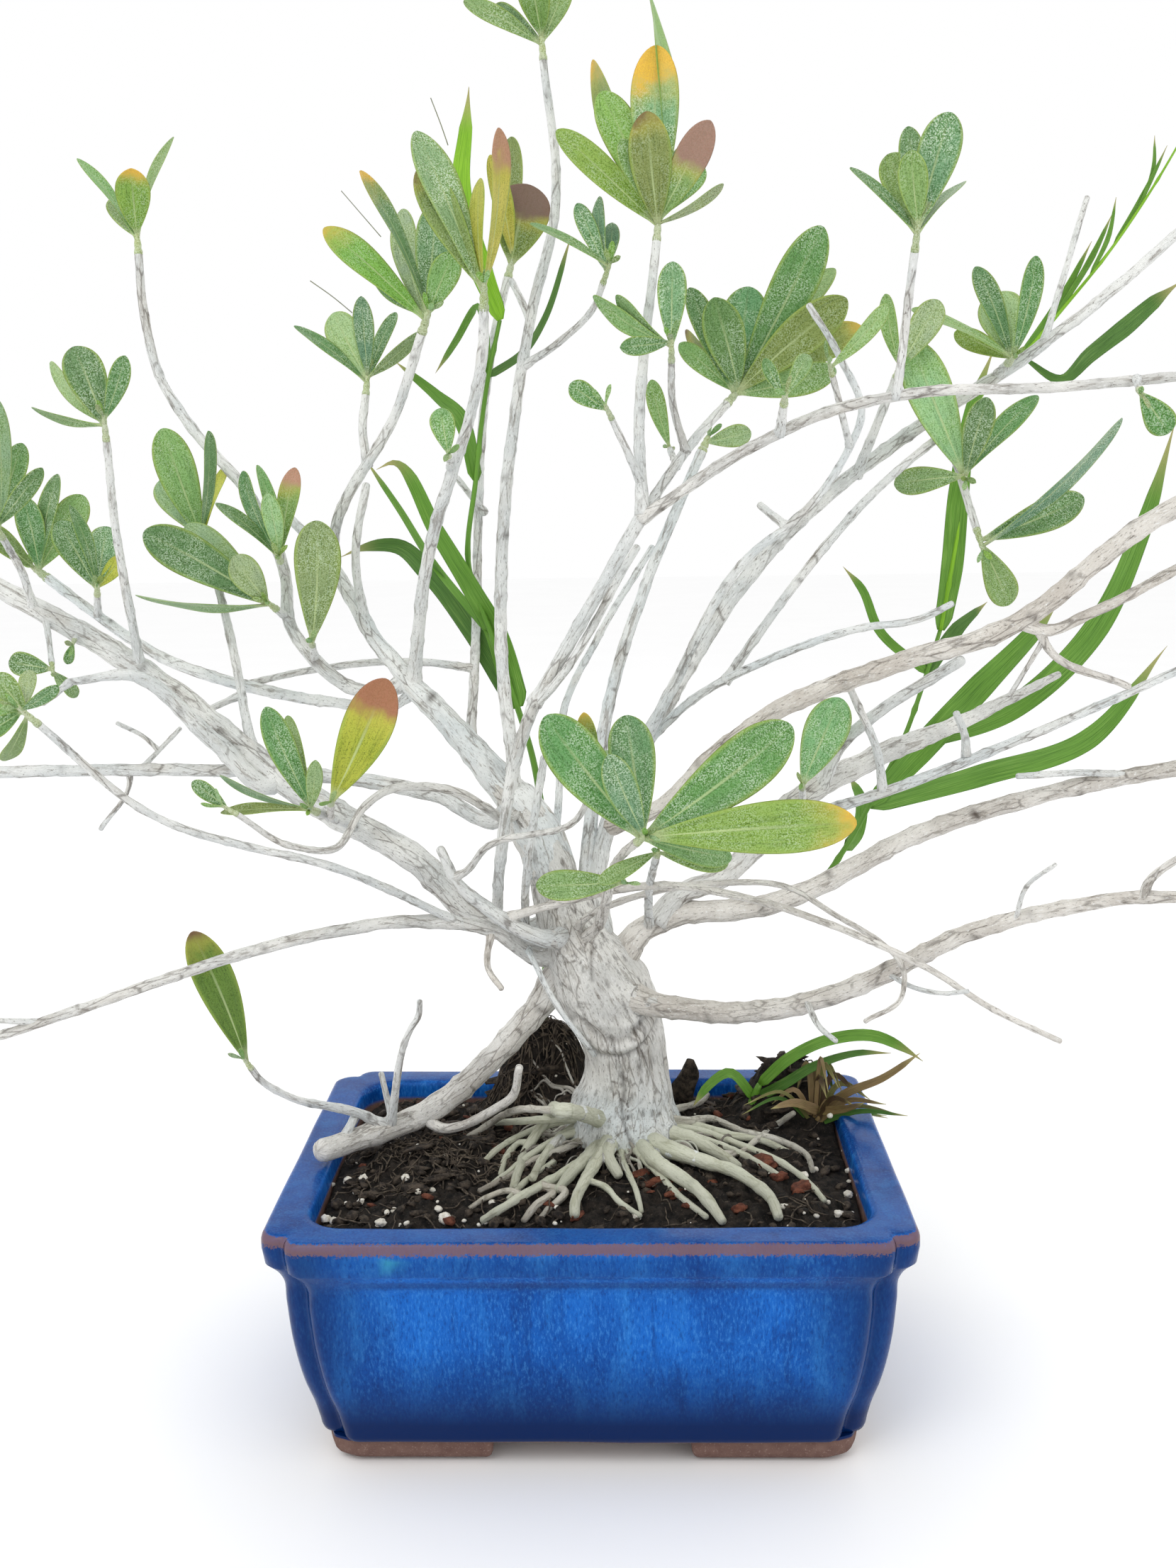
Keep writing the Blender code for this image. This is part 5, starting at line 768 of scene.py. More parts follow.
def grass_look():
    """Grass: `hue`, `tip` and `blade` as on the leaves."""
    look = Look("weed_grass", 0.42, Specular_IOR_Level=0.4)
    place = look.parts("blade")
    hue, tip = look.mark("hue", "Color"), look.mark("tip", "Color")
    lines = look.node("ShaderNodeCombineXYZ", X=look.times(place["X"], 9.0),
                      Y=look.times(place["Y"], 3.0), Z=place["Z"]).outputs[0]
    streaks = look.noise(2.2, lines, 2.0)
    patches = look.noise(70.0)
    colour = look.mix(look.span(patches, 0.3, 0.7, 0.0, 0.45), hue,
                      look.tinted(hue, 220, 230, 150))
    colour = look.mix(look.span(streaks, 0.45, 0.66, 0.0, 0.6), colour,
                      look.tinted(colour, 150, 178, 130))
    colour = look.layers(colour, (streaks, 0.4, 0.25, 0.5, 160, 190, 96))
    turned = look.sum("SUBTRACT", place["Y"], look.mark("tip", "Alpha"))
    colour = look.mix(look.span(turned, 0.0, 0.2), colour, tip)
    return look.dress(colour, look.span(streaks, 0.3, 0.7, 0.36, 0.6),
                      look.bump(streaks, 0.5, 0.3))


def glaze_look():
    """Cobalt glaze that has run down: `arris` is where the glaze breaks to mauve brown over an
    edge, `side` darkens it, as painted shade towards the back corners, on the rim's flat top
    and just under the rim, and also in a band on the rim's face, towards the bottom and in a
    small pit, `spot` is a turquoise fault and `bare` is where the clay has no glaze."""
    look = Look("cobalt_glaze", 0.2, IOR=1.22)
    runs = look.noise(110.0, look.stretch(look.place, 1.0, 1.0, 0.12), 4.0, 0.62)
    grain = look.noise(1300.0, look.stretch(look.place, 1.0, 1.0, 0.3), 3.0, 0.7)
    clouds = look.noise(30.0, look.stretch(look.place, 1.0, 1.0, 0.6), 3.0, 0.55)
    fine = look.noise(1500.0, None, 3.0, 0.7)
    colour = look.layers(look.mix(look.span(clouds, 0.36, 0.64), srgb(10, 76, 158),
                                  srgb(20, 98, 188)),
                         (runs, 0.48, 0.68, 0.55, 44, 124, 204),
                         (runs, 0.44, 0.3, 0.55, 6, 52, 122),
                         (grain, 0.5, 0.68, 0.45, 66, 140, 212),
                         (grain, 0.48, 0.33, 0.45, 4, 40, 106))
    # the dark blue of `side`: painted shade, and a darker band on the rim's face, the lower wall and
    # a pit
    colour = look.mix(look.mark("side"), colour, srgb(3, 34, 84))
    broken = look.sum("ADD", look.mark("arris"),
                      look.times(look.sum("SUBTRACT", fine, 0.5), 1.5))
    colour = look.layers(colour, (broken, 0.4, 0.66, 0.9, 112, 86, 90))
    colour = look.mix(look.mark("spot"), colour, srgb(70, 176, 190))
    clay = look.mix(look.noise(260.0, None, 4.0), srgb(88, 64, 60), srgb(130, 104, 94))
    clay = look.layers(clay, (fine, 0.58, 0.66, 0.5, 160, 138, 126))
    bare = look.span(look.mark("bare"), 0.35, 0.65)
    colour = look.mix(bare, colour, clay)
    rough = look.node("ShaderNodeMix", {"data_type": "FLOAT"})
    for socket, value in ((0, bare), (2, look.span(clouds, 0.3, 0.7, 0.16, 0.3)), (3, 0.85)):
        look.put(rough.inputs[socket], value)
    normal = look.bump(fine, 0.08, 0.3, look.bump(runs, 0.2, 1.0))
    return look.dress(colour, rough.outputs[0], normal)


def earth_look(name, dark, light, scale, roughness=0.95, depth=0.8, fleck=None):
    """Soil, bark chips, perlite and fibres: a grainy mix of two colours."""
    look = Look(name, roughness, Specular_IOR_Level=0.2)
    broad = look.noise(scale, None, 5.0, 0.65)
    fine = look.noise(scale * 6, None, 3.0, 0.7)
    colour = look.mix(look.span(broad, 0.35, 0.68), srgb(*dark), srgb(*light))
    if fleck:
        colour = look.layers(colour, (fine, 0.62, 0.7, 0.8, *fleck))
    height = look.sum("ADD", broad, look.times(fine, 0.5))
    return look.dress(colour, look.span(fine, 0.3, 0.7, roughness, roughness - 0.15),
                      look.bump(height, 0.8, depth))


BARK = bark_look()
LEAF = leaf_look("olive_leaf")
LEAF_YELLOW = leaf_look("olive_leaf_yellowing", 0.3)
GRASS = grass_look()
GLAZE = glaze_look()
SOIL = earth_look("potting_mix", (15, 14, 13), (48, 42, 37), 300.0, fleck=(92, 84, 74))
CHIP = earth_look("bark_chips", (74, 40, 30), (118, 70, 52), 380.0, 0.85, fleck=(150, 112, 90))
DARK_CHIP = earth_look("dark_bark_chips", (26, 22, 20), (84, 74, 64), 420.0, 0.85)
PERLITE_WHITE = earth_look("perlite_grains", (206, 200, 186), (238, 235, 226), 700.0, 0.8, 0.5)
FIBRE = earth_look("root_fibres", (44, 38, 34), (100, 90, 78), 500.0, 0.9, 0.2)
PLASTIC = earth_look("drain_mesh_plastic", (18, 18, 19), (34, 34, 36), 400.0, 0.55, 0.05)


def put_marks(mesh, values):
    """Values at the vertices, which the materials read: numbers, vectors or colours."""
    for label, data in values.items():
        data = data.astype(np.float32)
        kind, key = {1: ("FLOAT", "value"), 3: ("FLOAT_VECTOR", "vector"),
                     4: ("FLOAT_COLOR", "color")}[1 if data.ndim == 1 else data.shape[1]]
        mesh.attributes.new(label, kind, "POINT").data.foreach_set(key, data.ravel())


class Skin:
    """Vertices, faces and point values gathered for one mesh, in millimetres."""

    def __init__(self):
        self.places, self.faces, self.values, self.count = [], [], {}, 0

    def add(self, places, faces, **values):
        places = np.asarray(places, float)
        for face in faces:
            self.faces.append(tuple(int(i) + self.count for i in face))
        self.places.append(places)
        for name, value in values.items():
            value = np.asarray(value, float)
            if value.ndim == 0 or (value.ndim == 1 and len(value) != len(places)):
                value = np.broadcast_to(value, (len(places),) + value.shape)
            self.values.setdefault(name, []).append(value)
        self.count += len(places)

    def rings(self, rings, **values):
        """A closed skin through equal rings (rows, round, 3), its ends shut by a fan."""
        rows, round_ = rings.shape[:2]
        index = np.arange(rows * round_).reshape(rows, round_)
        beside = np.roll(index, -1, axis=1)
        faces = np.stack([index[:-1], beside[:-1], beside[1:], index[1:]],
                         axis=-1).reshape(-1, 4).tolist()
        first, last = rows * round_, rows * round_ + 1
        faces += [(first, int(beside[0, k]), int(index[0, k])) for k in range(round_)]
        faces += [(last, int(index[-1, k]), int(beside[-1, k])) for k in range(round_)]

        def flat(value):
            return np.concatenate([value.reshape(rows * round_, *value.shape[2:]),
                                   [value[0].mean(axis=0)], [value[-1].mean(axis=0)]])

        spread = {}
        for name, value in values.items():
            value = np.asarray(value, float)
            spread[name] = flat(value) if value.shape[:2] == (rows, round_) else value
        self.add(flat(rings), faces, **spread)

    def mesh(self, name):
        mesh = bpy.data.meshes.new(name)
        mesh.from_pydata((np.concatenate(self.places) * MM).tolist(), [], self.faces)
        return mesh

    def piece(self, name, look, slot, *replaced):
        mesh = self.mesh(name)
        put_marks(mesh, {label: np.concatenate(parts) for label, parts in self.values.items()})
        mesh.shade_smooth()
        shown(name, mesh, look, slot, *replaced)


def shown(name, mesh, look, slot, *replaced):
    """A finished piece: it rides on the part's one body and stands for the nodes named."""
    mesh.materials.clear()
    mesh.materials.append(look)
    made = placed(name, mesh)
    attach(made, "root")
    if replaced:
        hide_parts(*replaced)


def modified(made):
    """The mesh that an object's modifiers give."""
    bpy.context.view_layer.update()
    return bpy.data.meshes.new_from_object(
        made.evaluated_get(bpy.context.evaluated_depsgraph_get()))


def sampled(points, values, step):
    """Places on a smooth curve through `points`, about `step` apart, with the value at each
    and the distance run."""
    knots = np.array([tuple(p) for p in points], float)
    run = np.concatenate([[0.0], np.cumsum(np.linalg.norm(np.diff(knots, axis=0), axis=1))])
    slope = np.gradient(knots, run, axis=0) if len(knots) > 2 else np.tile(
        (knots[1] - knots[0]) / run[-1], (2, 1))
    count = max(2, int(math.ceil(run[-1] / step)))
    at = np.linspace(0.0, run[-1], count + 1)
    k = np.clip(np.searchsorted(run, at, side="right") - 1, 0, len(run) - 2)
    wide = run[k + 1] - run[k]
    t = ((at - run[k]) / wide)[:, None]
    wide = wide[:, None]
    line = ((2 * t ** 3 - 3 * t ** 2 + 1) * knots[k] + (t ** 3 - 2 * t ** 2 + t) * wide * slope[k]
            + (3 * t ** 2 - 2 * t ** 3) * knots[k + 1] + (t ** 3 - t ** 2) * wide * slope[k + 1])
    return line, np.interp(at, run, values), at


def unit(vectors):
    length = np.linalg.norm(vectors, axis=-1, keepdims=True)
    return vectors / np.maximum(length, 1e-9)


def cross_frames(line):
    """Two directions square to a line at each of its points, turning as little as they can, and
    the line's own direction."""
    ahead = unit(np.gradient(line, axis=0))
    one = [unit(np.cross(ahead[0], (0.0, 1.0, 0.13)))]
    for direction in ahead[1:]:
        one.append(unit(one[-1] - direction * np.dot(one[-1], direction)))
    one = np.array(one)
    return one, np.cross(ahead, one), ahead


def circle(sides):
    return np.linspace(0, 2 * math.pi, sides, endpoint=False)


def spokes(one, two, angles, flat=1.0):
    """Directions all round a line, from the two that are square to it."""
    return one[:, None] * np.cos(angles)[None, :, None] \
        + two[:, None] * (flat * np.sin(angles))[None, :, None]


def tube(line, size, sides, flat=1.0):
    """Rings of the given size round a line, its size being the same or other all round."""
    one, two, _ = cross_frames(line)
    size = size[:, None, None] if size.ndim == 1 else size[..., None]
    return line[:, None] + spokes(one, two, circle(sides), flat) * size


def grain_of(size, run, angles):
    """The bark's place: round the limb, and drawn together along it."""
    return np.stack([size[:, None] * np.cos(angles), size[:, None] * np.sin(angles),
                     np.tile(run[:, None] * ALONG_GRAIN, (1, len(angles)))], axis=-1) * MM


def cubic_noise(places, scale, seed=0.0):
    """Noise from -1 to 1 at each place, its lumps about 1 / scale across."""
    shift = Vector((seed * 7.13, seed * 3.71, seed * 5.37))
    return np.array([noise.noise(Vector(p) * scale + shift) for p in places])


def bell(value, wide):
    return np.exp(-(value / wide) ** 2)


# the wood: how beige a limb is, from 0 to 1, and for some roots that and how dark
BEIGE = {"low_right": 0.85, "low_right_fork": 0.7, "rising_right": 0.8, "beige_right": 0.95,
         "beige_right_fork": 0.9, "beige_drop": 0.8, "right_sweep": 0.75, "right_sweep_thin": 0.7,
         "fallen": 0.6, "fallen_crook": 0.7, "low_left": 0.45, "low_left_hanger": 0.9,
         "left": 0.3, "arch_right": 0.5, "thick_back": 0.45, "bowed_left": 0.5,
         "leaf_twig_centre": 0.7, "leaf_twig_centre_left": 0.5, "yellow_twig": 0.6,
         "air_root": 0.0, "pale_middle": 0.0, "pale_thin": 0.0, "pale_arc": 0.0,
         "pale_right": 0.05, "pale_back": 0.0, "leader": 0.05, "back_right_twin": 0.05}
ROOT_TINT = {"root_left_brown": (1.0, 0.45), "root_front_brown": (1.0, 0.4),
             "root_front_brown_twin": (1.0, 0.45), "root_front_wisp": (1.0, 0.3),
             "root_left_long": (0.9, 0.25), "root_right_rising": (0.9, 0.3),
             "root_loop": (0.9, 0.35), "root_right_back": (0.8, 0.2)}
PLAIN_BEIGE, PLAIN_ROOT = 0.22, (0.45, 0.08)
# a limb's rounded end: how far past the line's end, and how wide, in radii
ROUNDED = ((0.35, 0.88), (0.6, 0.55), (0.7, 0.2))


def limb_run(name, step=None):
    """A limb's smooth centre line, its radii and the distance run."""
    centres, radii = PATHS[name]
    if name.startswith("root_"):
        # the solid's roots are stout bars, each of which stands for a strand of thinner ones
        radii = [min(r, 0.5 * r + 0.6) for r in radii]
    thin = sum(radii) / len(radii)
    return sampled(centres, radii, step or min(2.4, max(1.3, thin)))


def parent_radius(name):
    parent = LIMBS[name][0] if name in LIMBS else ROOT_FROM.get(name, "trunk")
    start = PATHS[name][0][0]
    return min(zip(*PATHS[parent]), key=lambda pair: (pair[0] - start).length)[1]


def limb_skin(skin, name):
    """A limb as a round bar that flares where it leaves its parent, swells at each old leaf scar
    and bends a little there."""
    draw = random.Random(name)
    line, radii, run = limb_run(name)
    root = name.startswith("root_")
    leaves_at = parent_radius(name) if name != "leader" else 0.0
    thick = float(radii.mean())
    angles = circle(16 if thick > 3.2 else 12 if thick > 1.5 else 9)
    dark = np.zeros((len(line), len(angles)))
    swell = np.ones(len(line))
    shift = np.zeros((len(line), 2))
    spot, turn = leaves_at + draw.uniform(4, 8), draw.uniform(0, 6.3)
    while spot < run[-1] - 1.0:
        near = bell(run - spot, 0.9 + 0.25 * thick)
        swell += near * draw.uniform(0.05, 0.15) * (0.6 if root else 1.0)
        facing = np.clip(np.cos(angles - turn), 0, 1) ** 5
        close = bell(run - spot - 0.6, 0.45 + 0.12 * thick)
        dark += close[:, None] * facing * draw.uniform(0.2, 0.9)
        late = 1 / (1 + np.exp(-(run - spot) / 2.0))
        amount = draw.uniform(0.05, 0.16) * thick
        shift += late[:, None] * np.array([math.cos(turn), math.sin(turn)]) * amount
        spot += draw.uniform(7.0, 15.0)
        turn += 2.4 + draw.uniform(-0.5, 0.5)
    shift -= (run / run[-1])[:, None] * shift[-1]
    past = np.clip(run - leaves_at, 0, None)
    collar = min(leaves_at, 1.6 * thick)
    flare = 1 + (0.12 if root else 0.36 if leaves_at else 0.0) * np.exp(
        -past / (0.8 * collar + 0.6))
    one, two, ahead = cross_frames(line)
    line = line + one * shift[:, :1] + two * shift[:, 1:]
    lumps = cubic_noise(line, 0.2 if root else 0.11, len(name)) * (0.22 if root else 0.07)
    size = radii * swell * flare * (1 + lumps)
    out = spokes(one, two, angles)
    rings = line[:, None] + out * size[:, None, None]
    rough = cubic_noise(rings.reshape(-1, 3), 0.45, 2.0).reshape(dark.shape)
    rings = rings + out * (rough * np.minimum(0.26, 0.08 * size[:, None]))[..., None]
    cap = [line[-1] + ahead[-1] * size[-1] * push + out[-1] * size[-1] * keep
           for push, keep in ROUNDED]
    rings = np.concatenate([rings, np.array(cap)])
    reach = np.concatenate([run, run[-1] + size[-1] * np.array([push for push, _ in ROUNDED])])
    dark = np.concatenate([dark, np.tile(dark[-1], (len(ROUNDED), 1))])
    sizes = np.concatenate([size, np.tile(size[-1], len(ROUNDED))])
    grain = grain_of(sizes, reach, angles) + draw.uniform(0, 0.5)
    tint, green = BEIGE.get(name, PLAIN_BEIGE), 0.0
    if root:
        tint, gloom = ROOT_TINT.get(name, PLAIN_ROOT)
        green = 0.6 if gloom < 0.1 else 0.2
        far = np.clip((reach / reach[-1] - 0.55) / 0.45, 0, 1)[:, None]
        dark = np.clip(dark * 0.5 + gloom * (0.6 + 0.4 * far) + far * 0.22, 0, 1)
    skin.rings(rings, grain=grain, tint=np.full(dark.shape, tint), dark=np.clip(dark, 0, 0.9),
               green=np.full(dark.shape, green))


# marks on the trunk, on the ruler plane
CRACK = [(10.6, 110.5), (11.4, 104), (10.0, 98), (10.8, 92.4), (13.5, 84)]
FISSURE = [(0.9, 155), (0.2, 149), (0.7, 143.5)]
SCAR = [(-4.4, 128), (-1, 123), (4.5, 119.6), (10, 119), (15.5, 122), (20.6, 129.5)]
SCAR_UPPER = [(-6, 136), (-2.5, 131), (4, 127.4), (11, 127), (17, 130.5), (20, 136)]
VOXEL, TRUNK_SIDES = 0.75, 20
LEADER_PART = 62.0     # how much of the leader is melted into the trunk


def ruler_marks(places):
    """Where each place is seen on the ruler plane: (across, up)."""
    eye = np.array(EYE)
    reach = (-eye[1] / (places[:, 1] - eye[1]))[:, None]
    return (eye + (places - eye) * reach)[:, [0, 2]]


def away_from(marks, route):
    """Distance on the ruler from each mark to a route."""
    route = np.array(route, float)
    best = np.full(len(marks), 1e9)
    for one, two in zip(route, route[1:]):
        run = two - one
        t = np.clip(((marks - one) @ run) / (run @ run), 0, 1)
        best = np.minimum(best, np.linalg.norm(marks - one - t[:, None] * run, axis=1))
    return best


def evened(places, edges, rounds, pull=0.5):
    """Each place drawn towards the middle of its neighbours."""
    count = len(places)
    links = np.concatenate([edges[:, 0], edges[:, 1]])
    others = np.concatenate([edges[:, 1], edges[:, 0]])
    total = np.maximum(np.bincount(links, minlength=count), 1)[:, None]
    for _ in range(rounds):
        middle = np.stack([np.bincount(links, places[others, i], count) for i in range(3)], axis=1)
        places = places + (middle / total - places) * pull
    return places


def taken(items, key, wide, kind=np.float32):
    """A value of each item of a mesh, as rows."""
    data = np.empty(len(items) * wide, kind)
    items.foreach_get(key, data)
    return data.reshape(-1, wide)


def mesh_arrays(mesh):
    return (taken(mesh.vertices, "co", 3).astype(float) / MM,
            taken(mesh.edges, "vertices", 2, np.int32),
            taken(mesh.vertex_normals, "vector", 3).astype(float))


def set_places(mesh, places):
    mesh.vertices.foreach_set("co", (places * MM).astype(np.float32).ravel())


def trunk_piece():
    """The trunk with its buttress roots and the collars of its limbs, melted into one skin."""
    rough = Skin()
    bars = []

    def bar(line, radii, run):
        rough.rings(tube(line, radii, TRUNK_SIDES))
        bars.append((line, radii, run, *cross_frames(line)))

    bar(*limb_run("trunk", 3.0))
    line, radii, run = limb_run("leader", 3.0)
    keep = run < LEADER_PART
    bar(line[keep], radii[keep] * np.linspace(1.06, 0.9, keep.sum()), run[keep])
    for name in list(LIMBS) + list(ROOTS):
        limb = name in LIMBS
        if limb and LIMBS[name][0] not in ("trunk", "leader"):
            continue
        line, radii, run = limb_run(name, 1.5)
        if radii[0] < (2.4 if limb else 1.9):
            continue
        reach = parent_radius(name) + radii[0] * (3.0 if limb else 4.5)
        keep = run < reach
        if keep.sum() < 3:
            continue
        fade = np.interp(run[keep], [0, parent_radius(name), reach],
                         [1.3, 1.18, 0.86] if limb else [1.15, 1.06, 0.84])
        bar(line[keep], radii[keep] * fade, run[keep])
    lump = placed("trunk_rough", rough.mesh("trunk_rough"))
    melt = lump.modifiers.new("melt", "REMESH")
    melt.mode = "VOXEL"
    melt.voxel_size = VOXEL * MM
    mesh = modified(lump)
    bpy.data.objects.remove(lump, do_unlink=True)
    places, edges, normals = mesh_arrays(mesh)
    places = evened(places, edges, 9)

    # the grain follows whichever bar is nearest in its own radii
    best = np.full(len(places), 1e9)
    grain = np.zeros((len(places), 3))
    for k, (line, radii, run, one, two, ahead) in enumerate(bars):
        for j in range(len(line)):
            off = places - line[j]
            miss = np.linalg.norm(off, axis=1) / radii[j]
            near = miss < best
            best[near] = miss[near]
            part = off[near]
            grain[near] = np.stack([part @ one[j] + k * 31.0, part @ two[j],
                                    (part @ ahead[j] + run[j]) * ALONG_GRAIN], axis=1)
    marks = ruler_marks(places)
    facing = np.clip((normals * unit(np.array(EYE) - places)).sum(axis=1) * 3, 0, 1)
    crack = 0.6 * bell(away_from(marks, CRACK), 0.6) * facing
    crack += 0.5 * bell(away_from(marks, FISSURE), 0.7) * facing
    fold = away_from(marks, SCAR)
    flutes = cubic_noise(places * (1, 1, 0.22), 0.14, 3.0)
    lumps = cubic_noise(places, 0.1, 5.0)
    ridges = cubic_noise(grain, 0.62, 8.0)
    push = 1.2 * flutes + 0.8 * lumps + 0.35 * ridges - 1.7 * crack
    push += facing * (1.5 * bell(fold, 1.7) + 0.8 * bell(away_from(marks, SCAR_UPPER), 1.5))
    push -= facing * 1.0 * bell(fold - 2.9, 1.0)
    dashes = cubic_noise(grain * (1, 1, 0.42), 1.15, 12.0)
    slits = np.clip((-ridges - 0.34) * 2.2, 0, 0.5) + np.clip((dashes - 0.42) * 2.4, 0, 0.55)
    folded = 0.35 * bell(fold - 2.6, 0.6) * facing
    places = places + normals * push[:, None]
    set_places(mesh, places)
    put_marks(mesh, {"tint": 0.5 - 0.5 * np.clip((112 - marks[:, 1]) / 16, 0, 1),
                     "dark": np.clip(slits + crack * 0.95 + folded, 0, 0.95),
                     "green": 0.25 * np.clip((88 - places[:, 2]) / 12, 0, 1),
                     "grain": grain * MM})
    mesh.shade_smooth()
    shown("trunk", mesh, BARK, "bark", "tree_wood")


FINE_ROOTS, FINE_ROOT_STEPS, FINE_ROOT_SIDES = 88, 6, 8
BED = (84, 56)         # how far from the middle of the soil a fine root may creep


def fine_roots(skin):
    """Many thin roots that fan from the trunk's foot and creep over the soil."""
    draw = random.Random(5)
    foot = Vector((TRUNK[0][0], TRUNK[0][2]))
    for k in range(FINE_ROOTS):
        # most of them on the left and in front
        heading = math.radians(draw.triangular(-215, 25, -150 if k % 3 else -60))
        x = foot.x + 17.5 * math.cos(heading)
        y = foot.y + 17.0 * math.sin(heading)
        step = draw.uniform(12, 30) * (0.75 if math.sin(heading) > 0 else 1.0) / FINE_ROOT_STEPS
        knots = [(x, y, soil_height(x, y) + draw.uniform(2.0, 7.0))]
        for n in range(FINE_ROOT_STEPS):
            heading += draw.uniform(-0.34, 0.34)
            x += step * math.cos(heading)
            y += step * math.sin(heading)
            rise = draw.uniform(0.9, 2.6) if n < FINE_ROOT_STEPS - 1 else -0.4
            if abs(x) > BED[0] or abs(y) > BED[1]:
                break
            knots.append((x, y, soil_height(x, y) + rise))
        if len(knots) < 3:
            continue
        wide = draw.uniform(0.4, 0.95)
        line, size, run = sampled(knots, np.linspace(wide, wide * 0.5, len(knots)), 1.2)
        size = size * (1 + 0.16 * cubic_noise(line, 0.7, k))
        brown = draw.choice((0.05, 0.15, 0.3, 0.42, 0.55))
        dark = np.clip(brown + 0.3 * (run / run[-1]) ** 2, 0, 0.8)[:, None] * np.ones(
            FINE_ROOT_SIDES)
        skin.rings(tube(line, size, FINE_ROOT_SIDES), dark=dark,
                   grain=grain_of(size, run, circle(FINE_ROOT_SIDES)) + 0.01 * k,
                   tint=np.full(dark.shape, 0.9 if brown > 0.1 else 0.3),
                   green=np.full(dark.shape, 0.1 if brown > 0.1 else 0.45))


trunk_piece()
limbs, roots = Skin(), Skin()
for name in [*LIMBS, "leader"]:
    limb_skin(limbs, name)
for name in ROOTS:
    limb_skin(roots, name)
fine_roots(roots)
limbs.piece("limbs_and_twigs", BARK, "bark", "tree_wood")
roots.piece("surface_roots", BARK, "bark", "tree_wood")


# leaf colours by letter: screen red, green, blue and how frosty
HUES = {"D": (92, 138, 76, 0.7), "G": (128, 166, 98, 0.6), "T": (104, 152, 112, 0.95),
        "O": (124, 146, 72, 0.4), "B": (134, 174, 74, 0.45), "P": (158, 184, 138, 0.5),
        "Y": (200, 198, 88, 0.1), "S": (130, 172, 118, 1.0), "L": (92, 128, 42, 0.15),
        "A": (168, 186, 62, 0.1)}
SHOOT_HUE = (196, 202, 176, 0.6)
# colours that leaf ends turn, and where on the leaf that starts: past its end, the plain leaf
TIPS = {"y": (226, 184, 70, 0.88), "p": (184, 138, 118, 0.74), "b": (112, 78, 60, 0.9),
        "m": (118, 92, 88, 0.56), "n": (150, 180, 110, 2.0), "g": (160, 124, 114, 0.55),
        "o": (232, 186, 58, 0.72), "u": (160, 104, 82, 0.68)}
# how the leaves of a tuft look, in the order of its list: one letter of HUES and one of TIPS
TUFT_LOOKS = {
    "leaves_top_left": "G P By G", "leaves_left_high": "D P D G", "leaves_left_edge": "P D D G D",
    "leaves_left_edge_back": "D G O D", "leaves_left_inner": "D T D Yb",
    "leaves_left_spread": "D P P G", "leaves_left_bunch": "D D P Op G",
    "leaves_left_pair": "G P D Y", "leaf_left_single": "G", "leaves_far_left": "G P D G D O",
    "leaves_left_low": "D G P D O", "leaves_upper_left": "D P T D G",
    "leaves_upper_left_crown": "By D Dy T G P", "leaves_crown_left": "S Ob Yp Y",
    "leaves_crown_left_back": "Om O Y", "leaves_tall_tip": "G D O G",
    "leaves_crown_small": "T T G T", "leaves_top": "B D G B So Ob Gg G P D B Oy",
    "leaves_tuft_left": "T G D G", "leaves_tuft": "D G D T D G O Oy G Ob",
    "leaf_twin_twig": "P", "leaves_right_high": "D O G D T D", "leaf_pale_right": "P G",
    "leaves_right_tuft": "D P D B G", "leaves_hanger": "D G T", "leaves_hanger_upper": "P G D D",
    "leaves_right_edge": "B G P D", "leaves_centre": "D D T D By G",
    "leaf_centre_low": "G", "leaf_centre_right": "S", "leaf_mid_left": "G",
    "leaf_pale_middle": "P", "leaf_tuft_spur": "G",
    "leaves_centre_left": "P P Oy", "leaf_centre_pale": "G G",
    "leaf_yellow_low": "Lb", "leaf_yellow_left": "Au"}
SPARE_LOOKS = "D G T D O By D P"
LEAF_ROWS, LEAF_COLUMNS, GRASS_COLUMNS = 22, 9, 9
BLADE_PEAK = 0.545     # what the outline's two powers reach where a leaf is broadest
# leaves that the photo shows behind their neighbours: how much deeper their tips lie
FURTHER = {("leaves_top", 10): 16.0, ("leaves_crown_left", 0): 12.0}


def solid_points(name):
    return taken(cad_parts[name].data.vertices, "co", 3).astype(float) / MM


def on_solid(tips, corners):
    """Which of the tips lies on a corner of the solid."""
    gaps = [np.linalg.norm(corners - np.array(tip), axis=1).min() for tip in tips]
    return gaps.index(min(gaps))


def round_blade(columns):
    """The points round a flat blade: how far across, 1 in front and 0 behind, 1 in front and -1
    behind, and how plump it is there."""
    u = np.sin(np.linspace(-1, 1, columns) * math.pi / 2)
    around = np.concatenate([u, u[-2:0:-1]])
    front = np.concatenate([np.ones(columns), np.zeros(columns - 2)])
    way = np.where(front > 0.5, 1, -1)
    return around, front, way, np.sqrt(np.clip(1 - around ** 2, 0, 1)) * way


def blade_marks(around, part, front):
    """(across, along, side) at each point of a blade's rings."""
    rows = len(part)
    return np.stack([np.tile(around, (rows, 1)), np.tile(part[:, None], (1, len(around))),
                     np.tile(front, (rows, 1))], axis=-1)


def rolled(side, face, roll):
    return side * np.cos(roll) + face * np.sin(roll), face * np.cos(roll) - side * np.sin(roll)


